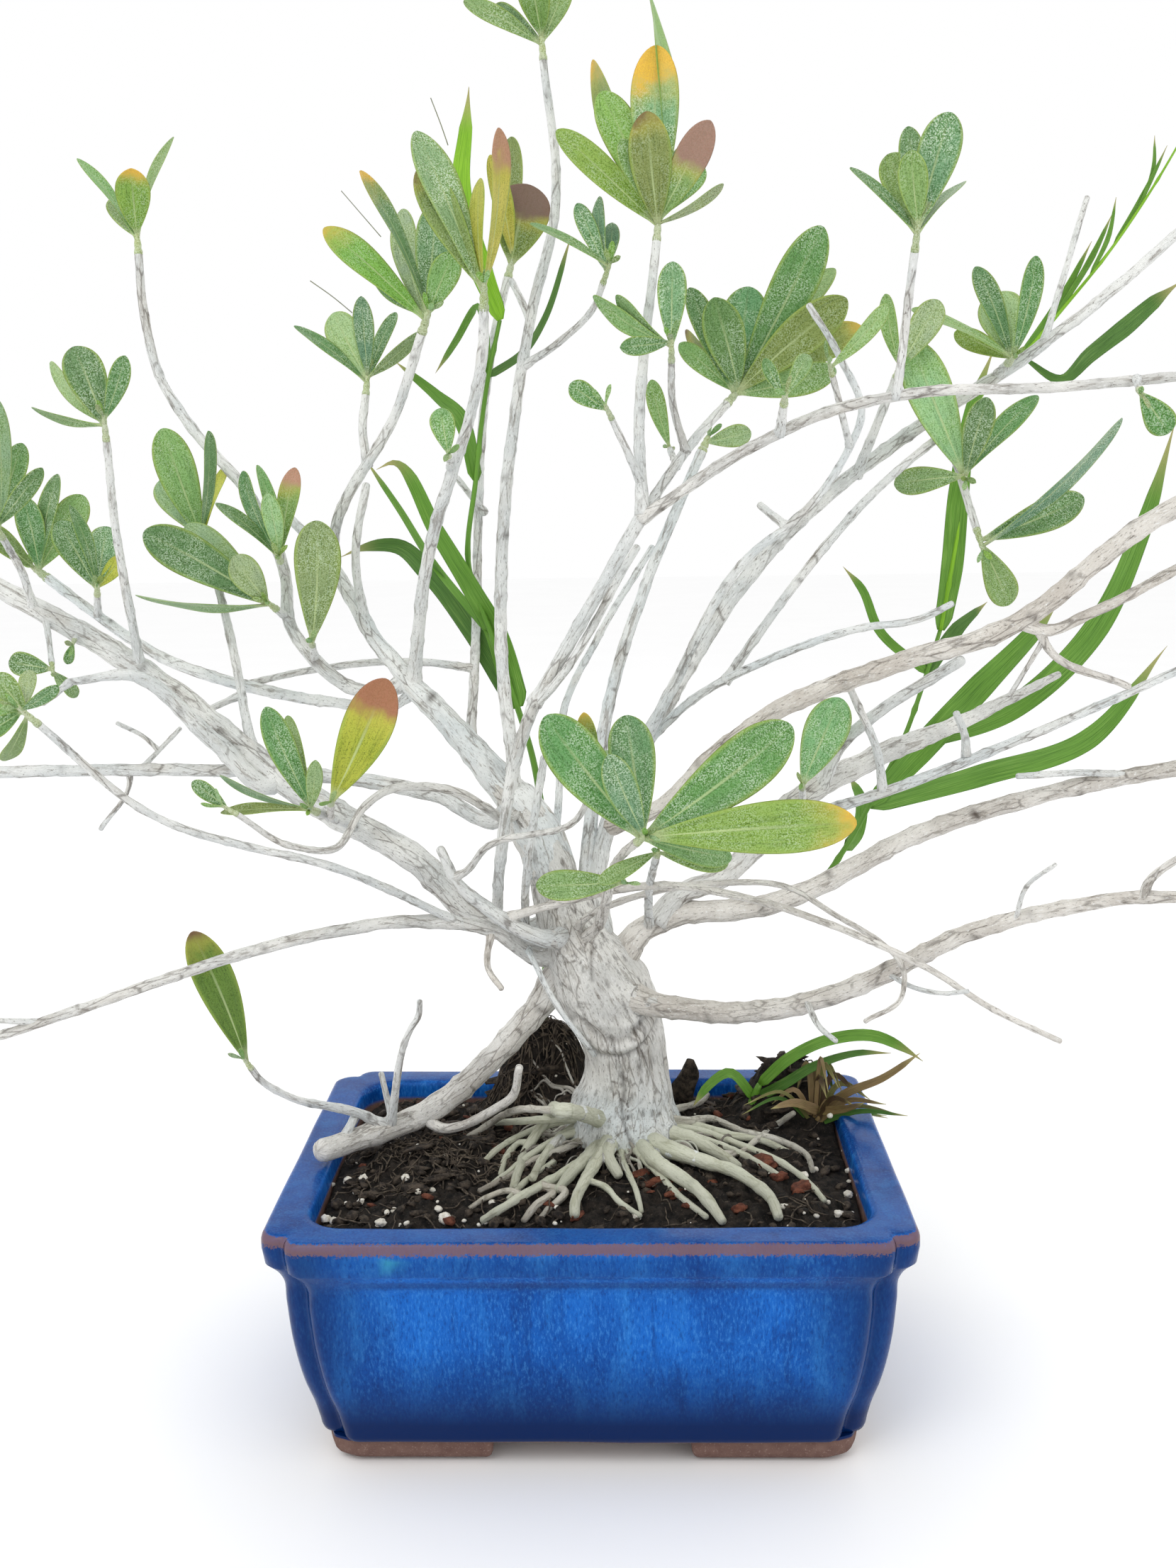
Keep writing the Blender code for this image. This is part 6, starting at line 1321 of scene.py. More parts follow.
def leaf_skin(skin, base, tip, seen_width, sign, code, draw):
    """One leaf: narrow at the stalk, broadest past the middle, round at the tip, its midrib sunk
    and its edges waved, in the place, turn and width of its solid."""
    length = (tip - base).length
    axis = (tip - base) / length
    middle = (base + tip) / 2
    side = axis.cross((EYE - middle).normalized())
    side = side.normalized() if side.length > 0.05 else Vector((1, 0, 0))
    face = side.cross(axis).normalized()
    seen_width *= scale_at(middle.y)
    real = max(seen_width, 0.235 * length)
    roll = math.acos(min(1.0, seen_width / real)) * sign
    side, face = (side * math.cos(roll) + face * math.sin(roll),
                  face * math.cos(roll) - side * math.sin(roll))
    axis, side, face = (np.array(v) for v in (axis, side, face))
    t = 1 - (1 - np.linspace(0, 1, LEAF_ROWS)) ** 1.5
    t[-1] = 0.998
    half = real / 2 * t ** 0.85 * (1 - t ** draw.uniform(2.3, 3.1)) ** 0.6 / BLADE_PEAK
    stalk = 0.42 + 0.02 * real
    half = np.where(t < 0.5, np.maximum(half, stalk * (1 - t)), half)
    around, front, _, plump = round_blade(LEAF_COLUMNS)
    front[[0, LEAF_COLUMNS - 1]] = 0.5
    thick = np.interp(t, [0, 0.1, 0.3, 1], [1.0, 0.8, 0.5, 0.36])
    arch = 0.045 * length * np.sin(math.pi * t)
    curl = draw.uniform(-0.03, 0.05) * length * np.clip(t - 0.55, 0, 1) ** 1.6
    wave = draw.uniform(0.05, 0.13) * half * np.sin(t * draw.uniform(5, 8) + draw.uniform(0, 6))
    bend = draw.uniform(-0.02, 0.02) * length * np.sin(math.pi * t)
    lift = 0.16 * half[:, None] * np.abs(around) ** 1.3
    groove = np.exp(-(around / 0.16) ** 2) * np.where(front > 0.5, -0.16, -0.2)
    groove = groove[None] * np.clip(1.15 - t, 0, 1)[:, None]
    height = (arch + curl)[:, None] + lift + groove + plump[None] * thick[:, None] / 2
    height = height + wave[:, None] * around[None] * np.abs(around[None])
    rings = (np.array(base) + axis * (length * t)[:, None])[:, None] \
        + side * (half[:, None] * around + bend[:, None])[..., None] + face * height[..., None]
    hue = toned(*HUES[code[0]]) * np.array([*(draw.uniform(0.86, 1.16) for _ in range(3)), 1.0])
    skin.rings(rings, blade=blade_marks(around, t, front), hue=hue,
               tip=toned(*TIPS[code[1:] or "n"]))


def shoot_skin(skin, start, along, length, radius):
    """The green grey end of a twig, with the rings that old leaves left."""
    line = np.array([start + along * (length * f) for f in np.linspace(0, 1, 9)])
    size = radius * np.linspace(1.05, 0.55, 9) * (1 + 0.12 * np.sin(np.arange(9) * 2.3))
    skin.rings(tube(line, size, 10), blade=(0.5, 0.5, 1.0), hue=toned(*SHOOT_HUE),
               tip=toned(*TIPS["n"]))


def tuft_piece(name, twig, leaves, look, slot):
    centres, radii = PATHS[twig]
    end, along = centres[-1], (centres[-1] - centres[-2]).normalized()
    shoot = 4.5 if len(leaves) < 3 else 7.5
    start = end + along * (GAP + 0.1)
    corners = solid_points(name)
    draw = random.Random(name)
    codes = TUFT_LOOKS.get(name, SPARE_LOOKS).split()
    skin = Skin()
    shoot_skin(skin, start - along * 1.2, along, shoot + 1.2, radii[-1])
    for k, (across, up, width, *lean) in enumerate(leaves):
        depth = end.y + (lean[0] if lean else LEAN[k % len(LEAN)])
        base = start + along * (shoot * (0.45 + 0.4 * ((k * 2) % 5) / 5.0))
        tips = [base.lerp(seen(across, up, depth + shift), part)
                for part in (1.0, 0.82, 0.66) for shift in TRIES]
        tip = tips[on_solid(tips, corners)]
        if (name, k) in FURTHER:
            # drawn back along the same line of sight
            tip = EYE + (tip - EYE) * (1 + FURTHER[name, k] / (tip.y - EYE.y))
        leaf_skin(skin, base, tip, width * LEAF_WIDEN, 1 if k % 2 else -1,
                  codes[k % len(codes)], draw)
    # the youngest leaves round the bud
    side = along.orthogonal().normalized()
    for k in range(2 + len(leaves) // 3):
        spread = side.copy()
        spread.rotate(Matrix.Rotation(2.4 * k + len(name), 3, along))
        base = start + along * (shoot * 0.92)
        reach = (along + spread * draw.uniform(0.35, 0.8)).normalized() * draw.uniform(4.0, 7.0)
        leaf_skin(skin, base, base + reach, draw.uniform(1.3, 2.0), 1, "PGB"[k % 3], draw)
    skin.piece(name + "_blades", look, slot, name)


for name, (twig, leaves) in TUFTS.items():
    tuft_piece(name, twig, leaves, LEAF, "leaf")
for name, (twig, leaves) in SINGLES_YELLOW.items():
    tuft_piece(name, twig, leaves, LEAF_YELLOW, "yellowing_leaf")


# the weeds
GRASS_HUES = {"light": (140, 194, 40, 0.2), "mid": (102, 152, 50, 0.3), "dark": (78, 122, 46, 0.3),
              "awn": (150, 150, 138, 0.1), "brown": (84, 62, 46, 0.1), "olive": (124, 120, 72, 0.1),
              "straw": (146, 120, 88, 0.1)}
GRASS_TIP = (176, 168, 110, 0.8)
NO_TIP = 2.0           # a start past the end, so that the tip keeps the blade's colour
CULM_SIDES, DEAD_BLADES = 12, 22
FAR_TRIES = (65, -65, 80, -80)     # further shifts that a blade's solid may have
GRASS_LOOKS = {"grass_left": "mid dark mid mid light mid dark".split(),
               "grass_right": "mid mid mid dark mid mid mid".split(),
               "grass_low": "mid dark mid".split(), "grass_dead": "straw straw straw".split()}
# blades that the photo shows wider than their solids
WIDER = {("grass_left", 4): 1.45, ("grass_right", 1): 1.2, ("grass_right", 5): 1.4,
         ("grass_right", 6): 1.4}
# and one that it shows in front: how much nearer its tip lies
NEARER = {("grass_left", 4): 12.0}
# the right weed's seed stem, as ruler marks, and its last blade and seed blades, as ruler marks
# and seen widths
SEED_STEM = [(116, 262), (122, 300), (128, 338), (140, 349), (152, 363), (165, 379), (179, 400),
             (187, 414)]
SEED_BLADES = [([(140, 348), (153, 341), (161, 348), (171, 356), (181, 365), (189, 371)],
                (1.2, 4, 6.5, 7, 5, 1.5)), ([(139, 348), (150, 364), (160, 383)], (2.6, 3.6, 1.2)),
               ([(150, 361), (160, 378), (166, 391)], (1.6, 2.6, 1)),
               ([(160, 373), (165, 384), (167, 396)], (1.2, 2, 0.8)),
               ([(167, 382), (175, 396), (182, 411)], (1.4, 2.2, 0.8)),
               ([(174, 392), (178, 404), (178, 414)], (1, 1.8, 0.7))]
# thin awns on the left weed: (ruler marks, width, depth)
AWNS = [([(-75, 402), (-69, 395), (-63, 388)], 0.3, 30),
        ([(-86, 375), (-79, 370), (-73, 365)], 0.34, 28),
        ([(-46, 429), (-43, 421), (-41, 415)], 0.34, 34)]


def ribbon_skin(skin, marks, widths, near, far, hue):
    """A grass blade along ruler marks, with a keel, parallel veins and a fine point."""
    count = len(marks)
    knots = [seen(a, u, near + (far - near) * k / (count - 1)) for k, (a, u) in enumerate(marks)]
    wide = [np.interp(k / (count - 1) * (len(widths) - 1), range(len(widths)), widths)
            for k in range(count)]
    line, wide, run = sampled(knots, wide, 2.6)
    part = run / run[-1]
    half = wide / 2 * np.clip((1 - part) * 6, 0.03, 1) ** 0.8 * np.clip(part * 14 + 0.45, 0, 1)
    ahead = unit(np.gradient(line, axis=0))
    side = unit(np.cross(ahead, unit(np.array(EYE) - line)))
    face = np.cross(side, ahead)
    turn = np.radians(28 * np.sin(0.9 * part * (count - 1) + count))[:, None]
    side, face = rolled(side, face, turn)
    around, front, way, plump = round_blade(GRASS_COLUMNS)
    ribs = 0.05 * np.cos(around * 11) * way
    height = half[:, None] * 0.3 * np.abs(around) ** 1.2 + plump * 0.2 + ribs * (half[:, None] > 1.4)
    rings = line[:, None] + side[:, None] * (half[:, None] * around)[..., None] \
        + face[:, None] * height[..., None]
    skin.rings(rings, blade=blade_marks(around, part, front), hue=toned(*hue),
               tip=toned(*GRASS_TIP))


def culm_skin(skin, knots, radii, hue, joint=34.0):
    """A grass stem: smooth, ridged lengthwise, with a swollen joint at even steps."""
    line, size, run = sampled(knots, radii, 2.5)
    swell = sum(bell(run - spot, 1.1) for spot in np.arange(joint / 2, run[-1], joint))
    angles = circle(CULM_SIDES)
    size = (size * (1 + 0.4 * swell))[:, None] * (1 + 0.05 * np.cos(6 * angles))
    blade = blade_marks(np.sin(angles), run / run[-1], np.ones(CULM_SIDES))
    skin.rings(tube(line, size, CULM_SIDES), blade=blade, hue=toned(*hue),
               tip=toned(*hue[:3], NO_TIP))


def weed_piece(name, culm, culm_width, blades):
    corners = solid_points(name)
    hues = [GRASS_HUES[h] for h in GRASS_LOOKS[name]]
    skin = Skin()
    radii = [culm_width * scale_at(m[2]) / 2 * (1 - 0.5 * k / (len(culm) - 1))
             for k, m in enumerate(culm)]
    culm_skin(skin, [seen(*m) for m in culm], radii, hues[0] if name == "grass_left" else hues[-1])
    for k, (marks, widths, tip_depth) in enumerate(blades):
        widths = [w * WIDER.get((name, k), 1.0) for w in widths]
        start = min(culm, key=lambda m: math.hypot(m[0] - marks[0][0], m[1] - marks[0][1]))
        marks = [start[:2]] + (marks[1:] if len(marks) > 2 else marks)
        shifts = TRIES + FAR_TRIES
        tips = [seen(*marks[-1], tip_depth + shift) for shift in shifts]
        far = tip_depth + shifts[on_solid(tips, corners)] - NEARER.get((name, k), 0.0)
        ribbon_skin(skin, marks, widths, start[2], far, hues[k % len(hues)])
    if name == "grass_dead":
        # the rest of the dead tuft, a fan of short dry blades
        draw = random.Random(3)
        for k in range(DEAD_BLADES):
            lean = draw.uniform(-30, 33)
            rise = draw.uniform(6, 27) * (1 - abs(lean) / 48)
            marks = [(77, 91), (77 + lean * 0.5, 92 + rise),
                     (77 + lean, 92 + rise * draw.uniform(0.3, 0.95))]
            wide = draw.uniform(1.2, 2.6)
            ribbon_skin(skin, marks, (wide, wide, wide * 0.5), 31, draw.uniform(12, 46),
                        GRASS_HUES[draw.choice(("straw", "brown", "dark", "olive"))])
    if name == "grass_right":
        near = culm[-1][2]
        culm_skin(skin, [seen(a, u, near) for a, u in SEED_STEM],
                  np.linspace(0.95, 0.35, len(SEED_STEM)), GRASS_HUES["light"])
        for k, (marks, widths) in enumerate(SEED_BLADES):
            ribbon_skin(skin, marks, widths, near, near + 4.0 * (k % 3),
                        GRASS_HUES["mid" if k else "dark"])
    if name == "grass_left":
        for marks, wide, depth in AWNS:
            culm_skin(skin, [seen(a, u, depth) for a, u in marks], [wide / 2] * len(marks),
                      GRASS_HUES["awn"], 99.0)
    slot = "dead_grass" if name == "grass_dead" else "grass"
    skin.piece(name + "_blades", GRASS, slot, name)


for name, weed in WEEDS.items():
    weed_piece(name, *weed)


# the pot
STRAIGHT_LONG, STRAIGHT_SHORT, ARC = 22, 14, 8
HOLE_SIDES = 40


def fine_plan(inset, notch=True, corner=6.0):
    """The part's outline of the pot with rounder corners: always the same number of points."""
    half_w, half_d = POT_WIDTH / 2 - inset, POT_DEPTH / 2 - inset

    def arc(x, y, radius, steps):
        return [(x + radius * math.cos(math.radians(a)), y + radius * math.sin(math.radians(a)))
                for a in np.linspace(0.0, 90.0, steps)]

    if notch:
        step_x, step_y = half_w - NOTCH_LONG, half_d - NOTCH_DEEP
        first = arc(half_w - corner, step_y - corner, corner, ARC)
        second = arc(step_x - 4.6, half_d - 4.6, 4.6, ARC)
        # the hollow between the two panels is eased as thick glaze eases it
        hollow = [(step_x + 1.6, step_y - 0.1), (step_x + 0.45, step_y + 0.45),
                  (step_x + 0.05, step_y + 1.5)]
        turned = first + hollow + second
    else:
        turned = arc(half_w - corner, half_d - corner, corner, 2 * ARC + 3)
    low, high = turned[0], turned[-1]
    quarter = [(half_w, low[1] * k / STRAIGHT_SHORT) for k in range(STRAIGHT_SHORT)] + turned
    quarter += [(high[0] * (1 - k / STRAIGHT_LONG), half_d) for k in range(1, STRAIGHT_LONG + 1)]
    outline = quarter + [(-x, y) for x, y in reversed(quarter[:-1])]
    outline += [(-x, -y) for x, y in quarter[1:]]
    outline += [(x, -y) for x, y in reversed(quarter[1:-1])]
    return outline


def fine_levels(levels, step):
    line = sampled([(inset, z, 0.0) for inset, z in levels], [0.0] * len(levels), step)[0]
    return [(p[0], p[1]) for p in line]


def foot_skin(side_x, side_y):
    """A corner foot with its edges rounded over, in the outline of its solid."""
    out_x, out_y, in_x, in_y, arm = 85.4, 58.4, 32.0, 26.0, 11.0

    def sole(grow):
        x, y = out_x + grow, out_y + grow
        points = [(x - 8, y), (in_x - grow * 0.6, y), (in_x - grow * 0.4, y - arm),
                  (x - arm - 2, y - arm), (x - arm - 2, in_y - grow * 0.4),
                  (x, in_y - grow * 0.6), (x, y - 8), (x - 2.4, y - 2.4)]
        ring = []
        for k, here in enumerate(points):
            before, after = np.array(points[k - 1]), np.array(points[(k + 1) % len(points)])
            here = np.array(here)
            into, onto = unit(before - here), unit(after - here)
            reach = 1.3
            for t in np.linspace(0, 1, 5):
                ring.append(((1 - t) ** 2) * (here + into * reach) + 2 * t * (1 - t) * here
                            + t ** 2 * (here + onto * reach))
        return [(a * side_x, b * side_y) for a, b in ring]

    levels = [(-6.2, 0.0), (-5.4, 0.05), (-3.4, 0.5), (-1.9, 1.4), (-0.9, 2.5), (-0.2, 3.9),
              (0.1, 5.6), (0.3, 7.4), (0.3, 9.4)]
    rings = np.array([[(x, y, z) for x, y in sole(grow)] for grow, z in levels])
    return rings if side_x * side_y > 0 else rings[:, ::-1]


def closed_mesh(name, rings):
    """A closed mesh object from equal rings, for a Boolean."""
    skin = Skin()
    skin.rings(rings)
    mesh = skin.mesh(name)
    shape = bmesh.new()
    shape.from_mesh(mesh)
    bmesh.ops.triangulate(shape, faces=shape.faces)
    bmesh.ops.recalc_face_normals(shape, faces=shape.faces)
    shape.to_mesh(mesh)
    shape.free()
    return placed(name, mesh)


def combined(first, others, operation):
    for one in others:
        step = first.modifiers.new(operation, "BOOLEAN")
        step.operation, step.solver, step.object = operation, "MANIFOLD", one
    mesh = modified(first)
    first.modifiers.clear()
    first.data = mesh
    for one in others:
        bpy.data.objects.remove(one, do_unlink=True)


def outward_turn(places, edges, normals, rounds):
    """How sharply the surface turns outward at each vertex, from -1 to 1."""
    run = places[edges[:, 1]] - places[edges[:, 0]]
    length = np.maximum(np.linalg.norm(run, axis=1), 1e-6)
    slope = ((normals[edges[:, 1]] - normals[edges[:, 0]]) * run).sum(axis=1) / length ** 2
    total, weight = np.zeros(len(places)), np.zeros(len(places))
    for end in (0, 1):
        total += np.bincount(edges[:, end], slope * length, len(places))
        weight += np.bincount(edges[:, end], length, len(places))
    turn = total / np.maximum(weight, 1e-6)
    for _ in range(rounds):
        mean = np.bincount(edges[:, 0], turn[edges[:, 1]], len(places)) \
            + np.bincount(edges[:, 1], turn[edges[:, 0]], len(places))
        turn = 0.5 * turn + 0.5 * mean / np.maximum(np.bincount(edges.ravel(),
                                                                 minlength=len(places)), 1)
    return turn


def pot_piece():
    outside = fine_levels(OUTSIDE[:-3], 1.6) + [(0.0, 78.4), (0.0, 80.2)]
    lip = [(0.05, 81.6), (0.3, 82.6), (0.75, 83.4), (1.5, 83.9), (2.4, 84.0)]
    ring_top = [(RIM_RING - 6, 83.95), (RIM_RING - 3.4, 84.0), (RIM_RING - 2.2, 84.0),
                (RIM_RING - 1.2, 83.7), (RIM_RING - 0.4, 83.0), (RIM_RING, 82.0)]
    inside = fine_levels([(RIM_RING + 0.1, 80.5)] + INSIDE[2:], 3.0)
    levels = [(fine_plan(inset), z) for inset, z in outside + lip]
    # the rim's flat ring passes from the notched outline to the plain one
    for share, (inset, z) in zip((0.5, 1.0, 1.0, 1.0, 1.0, 1.0), ring_top):
        one = np.array(fine_plan(inset))
        two = np.array(fine_plan(inset, False, IN_CORNER))
        levels.append((one * (1 - share) + two * share, z))
    levels += [(fine_plan(inset, False, IN_CORNER), z) for inset, z in inside]
    rings = np.array([[(x, y, z) for x, y in outline] for outline, z in levels])
    pot = closed_mesh("glazed_pot", rings)
    feet = [closed_mesh("foot", foot_skin(x, y)) for x in (1, -1) for y in (1, -1)]
    combined(pot, feet, "UNION")
    holes = [closed_mesh("hole", np.array([[(s * DRAIN_AT + DRAIN_HOLE * math.cos(a),
                                             DRAIN_HOLE * math.sin(a), z)
                                            for a in circle(HOLE_SIDES)]
                                           for z in (2.0, FLOOR_TOP + 8)])) for s in (-1, 1)]
    combined(pot, holes, "DIFFERENCE")
    mesh = pot.data
    places, edges, normals = mesh_arrays(mesh)
    outer = normals[:, 2] < 0.99
    waves = cubic_noise(places * (1, 1, 0.5), 0.035, 4.0) * 0.35 * outer
    places = places + normals * waves[:, None]
    set_places(mesh, places)
    turn = outward_turn(places, edges, normals, 3)
    x, y, z = np.abs(places[:, 0]), np.abs(places[:, 1]), places[:, 2]
    # the wall is 8.6 mm thick or more, so what lies 7 mm in from the outside is inside
    inset = 7.0 + np.interp(z, [level[1] for level in OUTSIDE], [level[0] for level in OUTSIDE])
    inside_wall = (x < POT_WIDTH / 2 - inset) & (y < POT_DEPTH / 2 - inset) & (z > FLOOR_TOP - 1)
    arris = 0.4 * np.clip(turn * 2.4, 0, 1) * (z > 22)
    # the glaze thins along the rim's upper edge, most of all in front
    front = np.where(places[:, 1] < -POT_DEPTH / 2 + RIM_RING, 1.0, 0.6)
    edge = 1.05 * bell(z - 82.2, 2.1) * front
    edge *= np.clip(np.maximum((x - POT_WIDTH / 2 + 12) / 3, (y - POT_DEPTH / 2 + 9.5) / 3), 0, 1)
    top = np.maximum(x - POT_WIDTH / 2 + 3.4, y - POT_DEPTH / 2 + 3.4) / 3.0
    edge = np.where(z > 83.6, 0.6 * front * np.clip(top, 0, 1), edge)
    arris = np.clip(np.maximum(arris, edge), 0, 0.9)
    # painted shade: the glaze darkens towards the back corners of the ends
    side = 0.8 * np.clip((x - 60) / 26, 0, 1) * (y > 50) * (z < 82) * ~inside_wall
    # painted shade on the rim's flat top
    side = np.maximum(side, 0.45 * (z > 83.6))
    # darker towards the bottom of the outer wall
    side = np.maximum(side, np.clip((46 - z) / 30, 0, 1) * ~inside_wall)
    # a small dark pit in the front wall
    pit = np.hypot(places[:, 0] + 54, z - 38)
    side = np.maximum(side, np.exp(-(pit / 1.3) ** 4) * (places[:, 1] < 0))
    # a painted shadow just under the rim
    side = np.maximum(side, 0.65 * bell(z - 68.6, 1.5) * ~inside_wall)
    # a darker band on the rim's outer face
    side = np.maximum(side, 0.4 * (z > 72) * np.clip((82 - z) / 3, 0, 1) * ~inside_wall)
    spot = np.exp(-(((places[:, 0] + 59) / 2.6) ** 2 + ((z - 77.5) / 1.2) ** 2) ** 2) * (
        places[:, 1] < 0)
    # bare clay inside below the glazed lip, and on the feet
    bare = np.where(inside_wall, np.clip((79 - z) / 3, 0, 1),
                    np.clip((FOOT_HEIGHT + 1.4 - z) / 1.2, 0, 1))
    under = (z < FOOT_HEIGHT + 1) & (normals[:, 2] < -0.5)
    bare = np.where(under & ~inside_wall, 1.0, bare)
    put_marks(mesh, {"arris": arris, "bare": bare, "side": side, "spot": spot})
    mesh.shade_smooth()
    mesh.set_sharp_from_angle(angle=math.radians(50))
    bpy.data.objects.remove(pot, do_unlink=True)
    shown("glazed_pot", mesh, GLAZE, "glaze", "pot")


pot_piece()

# the soil
SOIL_STEP = 0.95
# below the surface: how far the soil's side draws in from its rim, and the height there
SOIL_SIDE = (3.2, 44.0), (9.2, 20.0), (12.8, FLOOR_TOP + GAP)


def on_soil(x, y, height=78.0):
    """The place on the soil that is seen at (x, y) of the level 80 plane."""
    at = over(x, y, height)
    for _ in range(3):
        at = over(x, y, soil_height(at.x, at.y))
    return at


def crumbs(x, y):
    """The fine relief of the soil, in millimetres."""
    spot = Vector((x, y, 0.0))
    coarse = noise.noise(spot * 0.21) * 1.5 + noise.noise(spot * 0.5) * 1.1
    grains = noise.cell(spot * 0.42) * 0.5
    return coarse + grains + abs(noise.noise(spot * 1.1)) * 1.3


def soil_piece():
    inner = WALL_FACE + 0.2
    half_w, half_d = POT_WIDTH / 2 - inner, POT_DEPTH / 2 - inner
    columns, rows = int(2 * half_w / SOIL_STEP), int(2 * half_d / SOIL_STEP)
    skin = Skin()
    places = []
    for j in range(rows + 1):
        for i in range(columns + 1):
            u, v = 2 * i / columns - 1, 2 * j / rows - 1
            pull = (u * u * v * v) ** 2
            x, y = u * half_w * (1 - 0.048 * pull), v * half_d * (1 - 0.068 * pull)
            ease = min(1.0, 6 * (1.02 - max(abs(u), abs(v))))
            places.append((x, y, soil_height(x, y) + crumbs(x, y) * ease))
    index = np.arange(len(places)).reshape(rows + 1, columns + 1)
    quads = np.stack([index[:-1, :-1], index[:-1, 1:], index[1:, 1:], index[1:, :-1]],
                     axis=-1).reshape(-1, 4).tolist()
    border = np.concatenate([index[0, :-1], index[:-1, -1], index[-1, :0:-1], index[:0:-1, 0]])
    last = border
    for shrink, z in SOIL_SIDE:
        ring = []
        for k in border:
            x, y, _ = places[k]
            ring.append(len(places))
            places.append((x * (1 - shrink / half_w), y * (1 - shrink / half_d), z))
        ring = np.array(ring)
        quads += np.stack([np.roll(last, -1), last, ring, np.roll(ring, -1)], axis=-1).tolist()
        last = ring
    middle = len(places)
    places.append((0.0, 0.0, FLOOR_TOP + GAP))
    quads += [(int(a), int(b), middle) for a, b in zip(np.roll(last, -1), last)]
    skin.add(places, quads)
    skin.piece("soil_surface", SOIL, "potting_mix", "soil")


def lump_skin(skin, at, size, turn, draw, subdivisions=2, rough=0.25):
    """A broken grain: a ball pushed in and out, flattened and turned."""
    ball = bmesh.new()
    bmesh.ops.create_icosphere(ball, subdivisions=subdivisions, radius=1.0)
    places = np.array([v.co for v in ball.verts])
    faces = [[v.index for v in f.verts] for f in ball.faces]
    ball.free()
    push = 1 + rough * cubic_noise(places, 1.7, draw.uniform(0, 50))
    places = places * push[:, None] * np.array(size)
    spin = np.array(Matrix.Rotation(turn[0], 3, "Z") @ Matrix.Rotation(turn[1], 3, "X"))
    skin.add(places @ spin.T + np.array(at), faces)


# perlite grains, as seen on the level 80 plane
GRAINS = [(-87, -24), (-82.5, -22), (-78, -30), (-80, -38), (-81.5, -51.5), (-73, -50),
          (-67, -54), (-65.5, -45), (-58, -53), (-63, -19), (-60, -29), (-52.5, -29), (-49, -43),
          (-46, -52), (-40, -51), (-35, -54), (-30.5, -54), (-32, -38.5), (-11, -41.5),
          (-11, -53), (-86, 46), (-70, 52), (14.6, -51), (33, -15.5), (61, -44), (72, -48.5),
          (76, -13), (88, -33.5), (88, 2), (87, -14.5), (86, -22.5), (77, -38.5), (83.5, -46.5),
          (87, 34)]
# reddish bark chips: (x, y, length, width)
REDDISH = [(22, -24, 13, 5), (17, -18, 8, 3.6), (28, -33, 9, 4), (59, -8, 8, 9), (70, -28, 9, 6),
           (63, -20, 6, 4), (48, -44, 6, 3.4), (-4, -49, 6, 3)]
SMALL_GRAINS, CRUMBS, STRIPS, FIBRES = 60, 420, 54, 620
STUMP_SIDES, FIBRE_SIDES = 14, 5


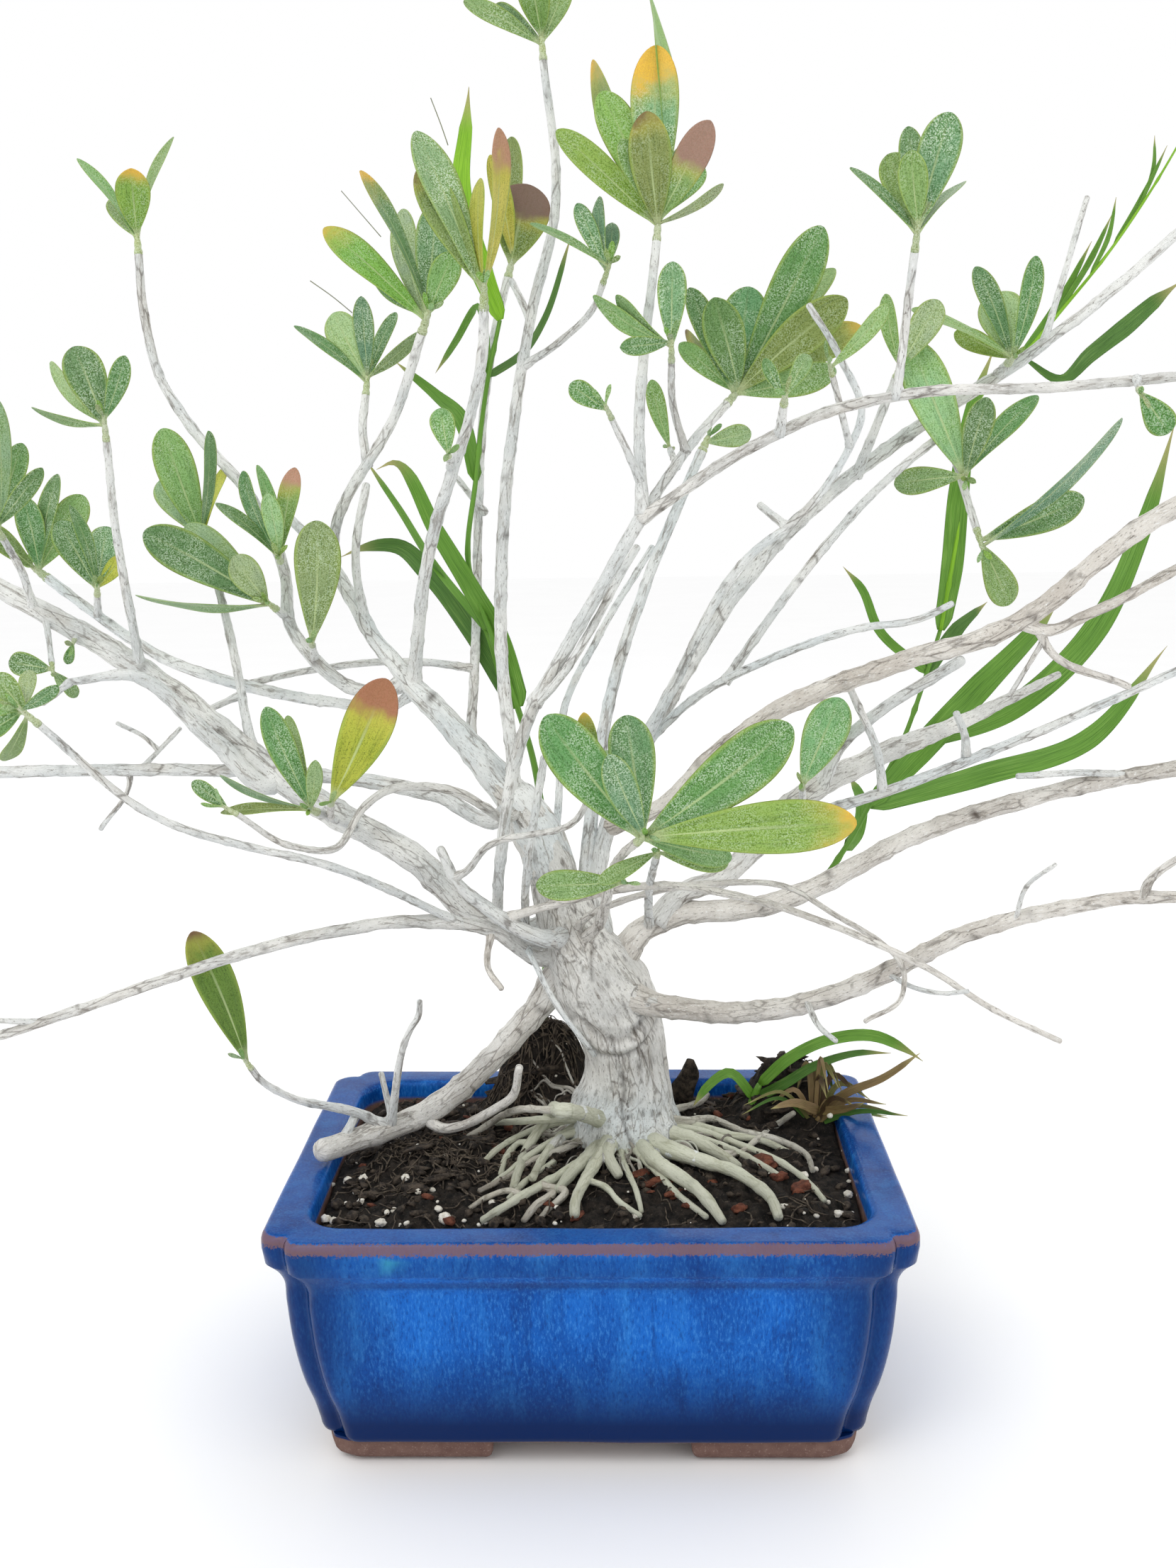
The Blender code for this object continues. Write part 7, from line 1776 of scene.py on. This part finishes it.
def litter():
    """Perlite, bark chips and root fibres that lie on the soil."""
    draw = random.Random(11)
    white, red, brown, hair = Skin(), Skin(), Skin(), Skin()
    for k, (x, y) in enumerate(GRAINS):
        at = on_soil(x, y)
        r = draw.uniform(0.7, 1.35)
        lump_skin(white, at + Vector((0, 0, r * 0.5)), (r * 1.15, r, r * 0.8),
                  (draw.uniform(0, 6), draw.uniform(0, 1)), draw)
    for k in range(SMALL_GRAINS):
        x, y = draw.uniform(-84, 84), draw.uniform(-57, 57)
        r = draw.uniform(0.3, 0.65)
        lump_skin(white, (x, y, soil_height(x, y) + 1.2), (r, r, r * 0.8), (k, 0.4), draw, 1)
    for x, y, size in PERLITE:
        at = on_soil(x, y)
        lump_skin(white, at + Vector((0, 0, size * 0.3)), (size * 0.42, size * 0.36, size * 0.32),
                  (1.7 * len(white.faces), 0.5), draw, 3, 0.45)
    for x, y, long_, wide in REDDISH:
        at = on_soil(x, y)
        lump_skin(red, at + Vector((0, 0, 1.0)), (long_ * 0.5, wide * 0.5, 1.5),
                  (draw.uniform(0.2, 0.9), draw.uniform(-0.2, 0.2)), draw, 3, 0.5)
    for _ in range(CRUMBS):
        x, y = draw.uniform(-85, 85), draw.uniform(-58, 58)
        long_ = draw.uniform(0.8, 3.4)
        target = brown if draw.random() < 0.94 else red
        lump_skin(target, (x, y, soil_height(x, y) + draw.uniform(0.6, 1.6)),
                  (long_, long_ * draw.uniform(0.4, 0.9), long_ * draw.uniform(0.25, 0.6)),
                  (draw.uniform(0, 6), draw.uniform(-0.5, 0.5)), draw, 1, 0.6)
    for k in range(STRIPS):
        # larger strips of bark, most of them on the left
        x, y = (draw.uniform(-82, -8), draw.uniform(-34, 54)) if k % 4 else \
            (draw.uniform(30, 84), draw.uniform(-40, 54))
        long_ = draw.uniform(3.0, 6.5)
        lump_skin(brown, (x, y, soil_height(x, y) + draw.uniform(0.8, 2.2)),
                  (long_, long_ * draw.uniform(0.25, 0.5), draw.uniform(0.6, 1.3)),
                  (draw.uniform(0, 6), draw.uniform(-0.4, 0.4)), draw, 2, 0.6)
    # the ragged stump that stands up behind the trunk
    low, high = over(33, 52, 82.0), seen(34, 115, 40)
    line, size, run = sampled([low, low.lerp(high, 0.55) + Vector((0.5, 0, 0)), high],
                              [4.6, 4.0, 1.4], 1.6)
    ragged = 1 + 0.3 * np.cos(3 * circle(STUMP_SIDES))[None] * np.sin(run * 0.3)[:, None]
    brown.rings(tube(line, size[:, None] * ragged, STUMP_SIDES, 0.55))
    for k in range(FIBRES):
        mound = k % 3
        if mound == 0:
            x, y = draw.gauss(-19, 11), draw.gauss(38, 12)
        elif mound == 1:
            x, y = draw.gauss(-55, 18), draw.gauss(-8, 14)
        else:
            x, y = draw.uniform(-84, 84), draw.uniform(-56, 56)
        if abs(x) > 85 or abs(y) > 58:
            continue
        turn = draw.uniform(0, 6.3)
        step = draw.uniform(1.4, 3.2)
        knots = []
        for _ in range(6):
            knots.append((x, y, soil_height(x, y) + draw.uniform(0.6, 2.2)))
            turn += draw.uniform(-0.7, 0.7)
            x, y = x + step * math.cos(turn), y + step * math.sin(turn)
            if abs(x) > 87 or abs(y) > 60:
                break
        if len(knots) < 3:
            continue
        line, size, _ = sampled(knots, [draw.uniform(0.14, 0.34)] * len(knots), 1.4)
        hair.rings(tube(line, size, FIBRE_SIDES))
    white.piece("perlite", PERLITE_WHITE, "potting_mix", "soil")
    red.piece("reddish_bark_chips", CHIP, "potting_mix", "soil")
    brown.piece("dark_bark_chips", DARK_CHIP, "potting_mix", "soil")
    hair.piece("root_fibres", FIBRE, "potting_mix", "soil")


soil_piece()
litter()

for name in ("drain_screen_left", "drain_screen_right"):
    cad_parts[name].material_slots[0].material = PLASTIC


# the floor and the light
def studio():
    scene = bpy.context.scene
    scene.view_settings.view_transform = "Standard"
    look = Look("pale_floor", 0.9, Specular_IOR_Level=0.1)
    look.dress(look.mix(look.noise(6.0), srgb(250, 250, 250), srgb(254, 254, 254)))
    mesh = bpy.data.meshes.new("floor")
    wide = 6.0
    mesh.from_pydata([(-wide, -wide, 0), (wide, -wide, 0), (wide, wide, 0), (-wide, wide, 0)], [],
                     [(0, 1, 2, 3)])
    mesh.materials.append(look.material)
    floor = placed("floor", mesh)
    world = bpy.data.worlds.new("studio")
    world.use_nodes = True
    world.node_tree.nodes["Background"].inputs["Color"].default_value = (1, 1, 1, 1)
    world.node_tree.nodes["Background"].inputs["Strength"].default_value = 1.0
    scene.world = world
    middle = Vector((0.0, 0.0, 0.2))
    lamps = (("key", (-0.7, -1.1, 1.7), 0.9, 9.0), ("fill", (1.2, -0.9, 0.9), 1.2, 2.0),
             ("back", (0.3, 1.4, 1.3), 1.2, 3.0))
    for name, place, size, power in lamps:
        data = bpy.data.lights.new(name, "AREA")
        data.size, data.energy = size, power
        lamp = placed(name, data)
        lamp.location = place
        lamp.rotation_euler = (middle - Vector(place)).to_track_quat("-Z", "Y").to_euler()


studio()
